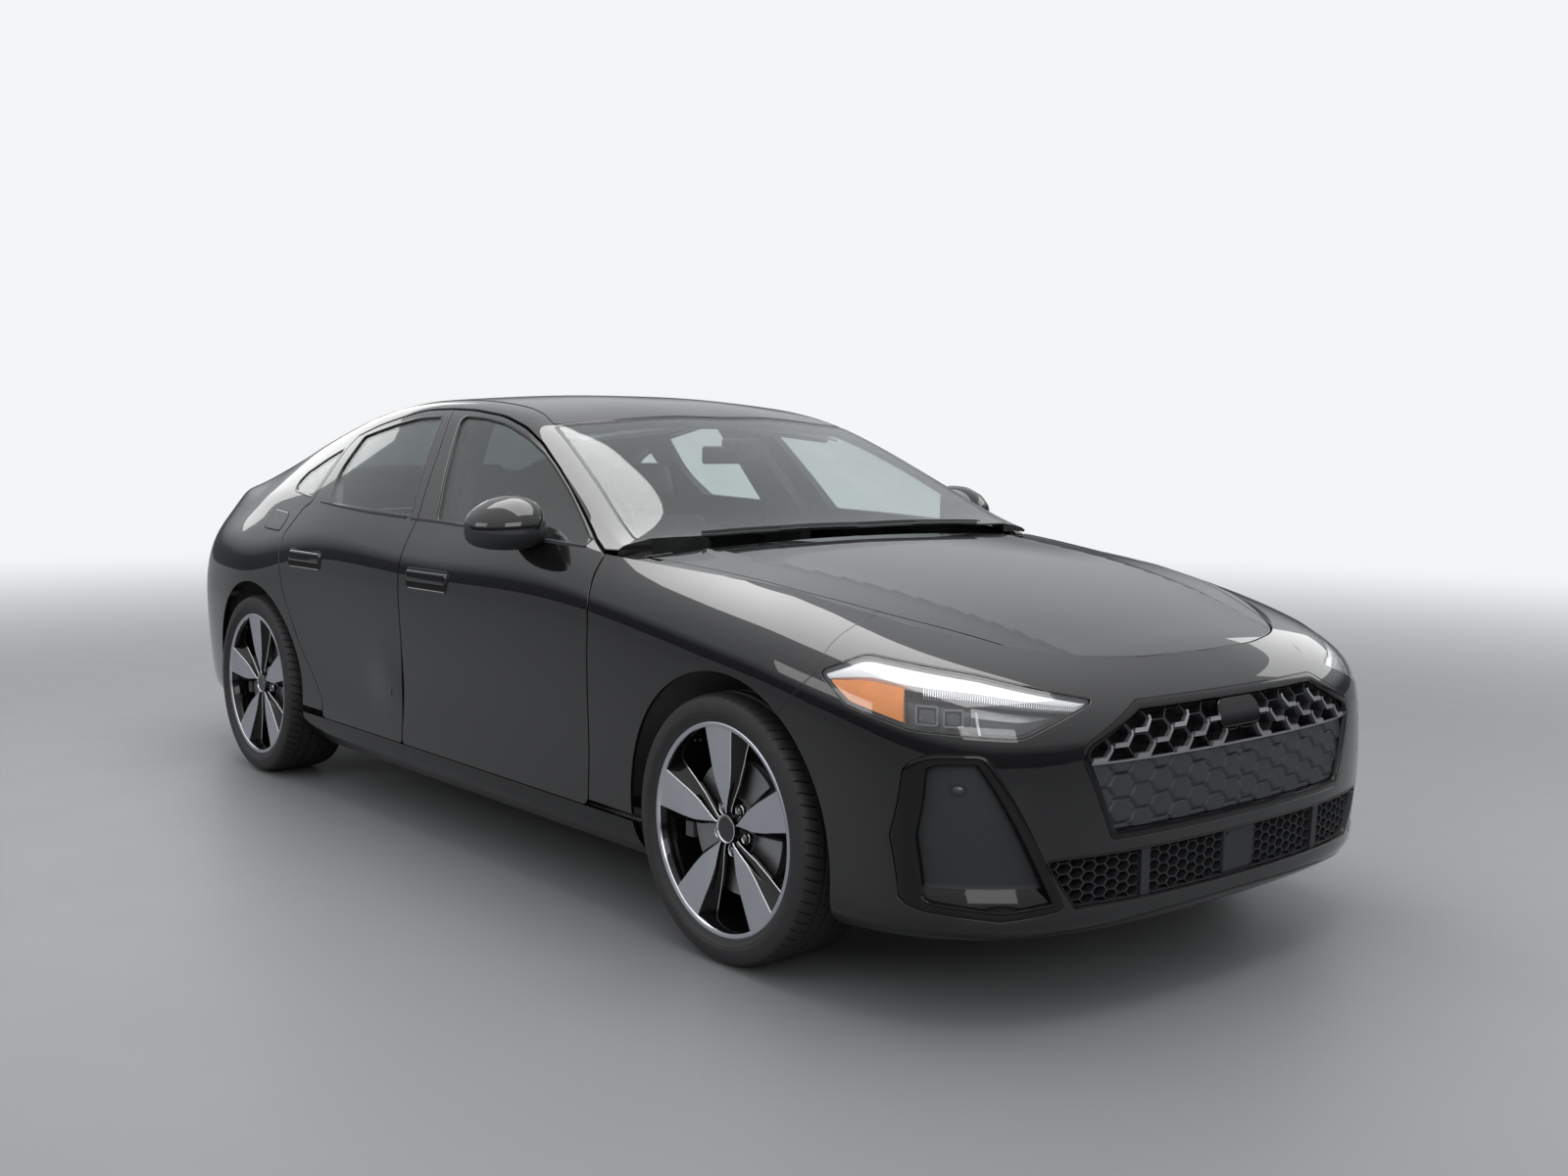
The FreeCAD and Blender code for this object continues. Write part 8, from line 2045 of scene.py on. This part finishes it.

# Headliner, rear-view mirror, sun visors
liner_front, liner_back, liner_half, liner_drop, liner_wall = 360, -880, 540, 37, 3
liner_rows, liner_columns = 32, 19
liner_build = Build()
spots = [(x, y) for x in np.linspace(liner_front, liner_back, liner_rows)
         for y in np.linspace(-liner_half, liner_half, liner_columns)]
liner_points = on_upper(spots, -liner_drop).reshape(liner_rows, liner_columns, 3)
liner_under = liner_points - np.array([0, 0, liner_wall])
liner_build.grid(liner_points, 0).grid(liner_under, 0)
place(liner_build.make("headliner", [headliner], 60), "body", "trim")
visor_build = Build()
visor_spans, visor_front, visor_back, visor_under = [(-520, -150), (150, 520)], 345, 228, 58
for y0, y1 in visor_spans:
    line = rounded([(visor_front, y0, 18), (visor_front, y1, 18), (visor_back, y1 - 10, 22),
                    (visor_back, y0 + 10, 22)])
    rolled_band(visor_build, line, [(6, -44), (0, -48), (0, -54), (6, -visor_under)], on_upper, 0)
    filled(inset_line(line, 6), 30, on_upper, -visor_under, visor_build, 0)
place(visor_build.make("sun_visors", [headliner], 50), "body", "trim")
rear_view = Build()
rear_view.block((408, -118, 1208), (428, 118, 1266), 9, 0)
rear_view.block((406.5, -110, 1214), (409, 110, 1260), 0, 1)
rear_view.sweep([(428, 0, 1240), (450, 0, 1262), (462, 0, 1288)], [(-9, -6), (9, -6), (7, 6), (-7, 6)], 0,
                up=(1, 0, 0), caps=0)
rear_view.block((440, -62, 1262), (505, 62, 1292), 8, 0)
place(rear_view.make("rear_view_mirror", [matte, mirror_glass], 40), "body", "trim")

# Tail lamps: dark housing, rows of slanted red segments, clear red lens
segment_wide, segment_lean, segment_pitch = 15, 9, 34
segment_foot, segment_head = 11, 13
housing_depth, lit_depth = 15, 8.5
red_glass = glass_material("red_lens_glass", (.72, .035, .03), .85, .03)


def on_corner(yz, lift=0.0):
    """Places on the tail's corner, given across and up."""
    u, v = locate(side, yz, [1, 2], (side_u(26), side_u(37)), (4, side_top))
    return side.at(u, v) + side.normal(u, v) * np.reshape(lift, (-1, 1))


def tail_lamp(line, where, ys, low, high):
    """One lamp's housing with its lit segments, and its lens."""
    build, lens = Build(), Build()
    fine = resampled(line, 10)
    rolled_band(build, fine, [(1.2, -3.5), (1.8, -2.8), (4, -3.2), (7, -housing_depth)], where, 0)
    filled(inset_line(fine, 7), 16, where, -housing_depth, build, 0)
    for y in ys:
        shape = np.array([(y, low + segment_foot), (y + segment_wide, low + segment_foot),
                          (y + segment_wide + segment_lean, high - segment_head),
                          (y + segment_lean, high - segment_head)], float)
        lower, upper_side = where(shape, .5 - housing_depth), where(shape, -lit_depth)
        build.grid([list(lower), list(upper_side)], 1, ring_line=True, caps=1)
    path = where([(y, low + 6.5) for y in np.linspace(ys[0], ys[-1] + 20, max(12, len(ys) * 2))], -8)
    build.sweep(path, [(-1.6, -1.6), (1.6, -1.6), (1.6, 1.6), (-1.6, 1.6)], 1, caps=1)
    rolled_band(lens, fine, [(1.6, -20), (1.2, -3.4), (1.9, -1.6), (4, -1.0)], where, 0)
    filled(inset_line(fine, 4), 12, where, -1.0, lens, 0)
    return build, lens


z_low, z_high = tail_lamp_shares[0][1] * height, tail_lamp_shares[-1][1] * height
bar_first, bar_last, corner_first, corner_last = -468, 450, 520, 740
bar, bar_lens = tail_lamp(gate_lamp_line, on_tail, np.arange(bar_first, bar_last, segment_pitch), z_low + 4,
                          z_high - 2)
place(bar.make("tailgate_lamp_dressed", [seal, red_lens], 40), "tailgate", "lamp", ("tailgate_lamp",))
place(bar_lens.make("tailgate_lamp_lens", [red_glass], 40), "tailgate", "lamp")
corner_places = np.arange(corner_first, corner_last, segment_pitch)
corner, corner_lens = tail_lamp(tail_lamp_line, on_corner, corner_places, z_low + 6, z_high - 2)
twin_build("tail_lamp_dressed", corner, [seal, red_lens], both_sides, "lamp", ("tail_lamps", "tail_lamps"),
           smooth=40)
twin_build("tail_lamp_lens", corner_lens, [red_glass], both_sides, "lamp", smooth=40)

# Blank number plate in its frame, bumper reflectors, diffuser blades
rear_build = Build()
plate_half, plate_foot, plate_head, plate_corner = 248, 548, 646, 8
panel = rounded([(-plate_half, plate_foot, plate_corner), (plate_half, plate_foot, plate_corner),
                 (plate_half, plate_head, plate_corner), (-plate_half, plate_head, plate_corner)])
panel_fine = resampled(panel, 12)
rolled_band(rear_build, panel_fine, [(-5, -5.8), (-5, -2.6), (-3, -1.6), (0, -1.8), (.5, -3.4)], on_tail, 0)
rolled_band(rear_build, panel_fine, [(.5, -3.4), (1.2, -2.8), (6, -2.6), (7, -2.2), (8.5, -2.2),
                                     (9.5, -2.8)], on_tail, 1)
filled(inset_line(panel_fine, 9.5), 20, on_tail, -2.8, rear_build, 1)
reflector = resampled(rounded([(560, 338, 8), (742, 356, 8), (742, 376, 8), (560, 358, 8)]), 8)
for turn in (1, -1):
    where = lambda yz, lift=0.0: on_tail(yz, lift) * np.array([1, turn, 1])
    rolled_band(rear_build, reflector, [(-2, .8), (-1, 1.6), (0, 1.4), (.6, .9)], where, 0)
    rolled_band(rear_build, reflector, [(.6, .9), (1.4, 2.2), (4, 2.8)], where, 2)
    filled(inset_line(reflector, 4), 8, where, 2.8, rear_build, 2)
blade_half, blade_foot, blade_head, edge_half = 480, 216, 322, 560
edge_section = [(-4, -3), (4, -3), (4.5, 0), (3, 2.5), (-3, 2.5), (-4.5, 0)]
for y in np.linspace(-blade_half, blade_half, 7):
    path = on_tail([(y, z) for z in np.linspace(blade_foot, blade_head, 14)], 3.0)
    rear_build.sweep(path, [(-7, -5), (7, -5), (3.2, 5.5), (-3.2, 5.5)], 0, up=(0, 1, 0), caps=0)
for z in (blade_foot - 2, blade_head + 8):
    path = on_tail([(y, z) for y in np.linspace(-edge_half, edge_half, 80)], 1.5)
    rear_build.sweep(path, edge_section, 3, caps=3)
place(rear_build.make("rear_details", [matte, plate_white, red_lens, satin_dark], 40), "body", "trim")
gate_build = Build()
pocket = resampled(rounded([(-150, 700, 10), (150, 700, 10), (160, 728, 10), (-160, 728, 10)]), 8)
rolled_band(gate_build, pocket, [(-2, .6), (-1, 1.6), (1, 1.6), (2.4, .8)], on_tail, 0)
filled(inset_line(pocket, 2.4), 12, on_tail, .8, gate_build, 1)
for y in (-70, 70):
    round_lamp = resampled(rounded([(y - 20, 707, 4), (y + 20, 707, 4), (y + 20, 717, 4), (y - 20, 717, 4)]),
                           4)
    rolled_band(gate_build, round_lamp, [(0, .9), (.6, 2.0), (3, 2.3)], on_tail, 2)
    filled(inset_line(round_lamp, 3), 6, on_tail, 2.3, gate_build, 2)
place(gate_build.make("tailgate_pocket", [gloss, seal, lamp_white], 40), "tailgate", "trim")

# Door cards: armrest, speaker and pull, one set per door
card_back, card_face, rest_depth, pull_depth = 76, 93, 112, 100
speaker_radius, speaker_back, speaker_edge, speaker_face, speaker_mesh = 78, 92, 98, 100, 97


def door_card(x_first, x_last, z_low, z_high, bodies, name):
    """The lining of a door with its armrest, pull and speaker."""
    card = Build()
    span = x_last - x_first
    line = resampled(rounded([(x_first, z_low, 40), (x_last, z_low + 30, 60), (x_last + 20, z_high, 30),
                              (x_first - 10, z_high - 8, 30)]), 24)
    rolled_band(card, line, [(0, -card_back), (0, 7 - card_face), (6, -card_face)], on_flank, 0)
    filled(inset_line(line, 6), 34, on_flank, -card_face, card, 0)
    rest = [(x, z_low + .60 * (z_high - z_low) + 30 * ((x - x_first) / span)) for x in
            np.linspace(x_first + .16 * span, x_last - .12 * span, 16)]
    card.sweep(on_flank(rest, -rest_depth), [(-22, -22), (22, -26), (26, 4), (18, 22), (-18, 22), (-26, 4)],
               1, caps=1)
    pull = [(x, z_low + .80 * (z_high - z_low) + 26 * ((x - x_first) / span)) for x in
            np.linspace(x_first + .55 * span, x_last - .2 * span, 10)]
    card.sweep(on_flank(pull, -pull_depth), [(-9, -8), (9, -8), (8, 8), (-8, 8)], 2, caps=2)
    turn_places = np.linspace(0, 2 * math.pi, 41)[:-1]
    disc = np.stack([x_first + .70 * span + speaker_radius * np.cos(turn_places),
                     z_low + .24 * (z_high - z_low) + speaker_radius * np.sin(turn_places)], 1)
    rolled_band(card, disc, [(0, -speaker_back), (0, -speaker_edge), (5, -speaker_face)], on_flank, 3)
    filled(inset_line(disc, 5), 12, on_flank, -speaker_mesh, card, 3)
    twin_build(name, card, [soft_dash, leather, satin_dark, seal], bodies, "trim", smooth=45)


card_foot, front_card_x, rear_card_x, front_card_top, rear_card_top = 345, (-100, 620), (-890, -300), 930, 940
door_card(*front_card_x, card_foot, front_card_top, doors[0], "front_door_card")
door_card(*rear_card_x, card_foot, rear_card_top, doors[1], "rear_door_card")

finishes = {
    "platform": carpet, "front_frame": structure_paint, "rear_suspension": cast, "undertray": rough_plastic,
    "exhaust": steel, "cowl": rough_plastic, "wheel_liners": carpet, "posts": matte, "engine": engine_cover,
    "dashboard": soft_dash, "steering_wheel": leather, "front_seats": leather, "rear_seat": leather,
    "number_plate": plate_white, "diffuser": matte, "grille": matte, "lower_grille": matte,
    "headlamps": lamp_dark, "tail_lamps": red_lens, "tailgate_lamp": red_lens, "side_skirts": gloss,
}
for node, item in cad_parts.items():
    piece = bpy.data.objects.get(node) if not hasattr(item, "material_slots") else item
    finish = finishes.get(node, paint)
    if node.startswith("tyre"):
        finish = rubber
    elif node.startswith("rim"):
        finish = machined
    elif node.startswith("front_knuckle"):
        finish = cast
    if piece is None or not hasattr(piece, "material_slots"):
        continue
    if not len(piece.material_slots):
        piece.data.materials.append(finish)
    for held in piece.material_slots:
        held.material = finish
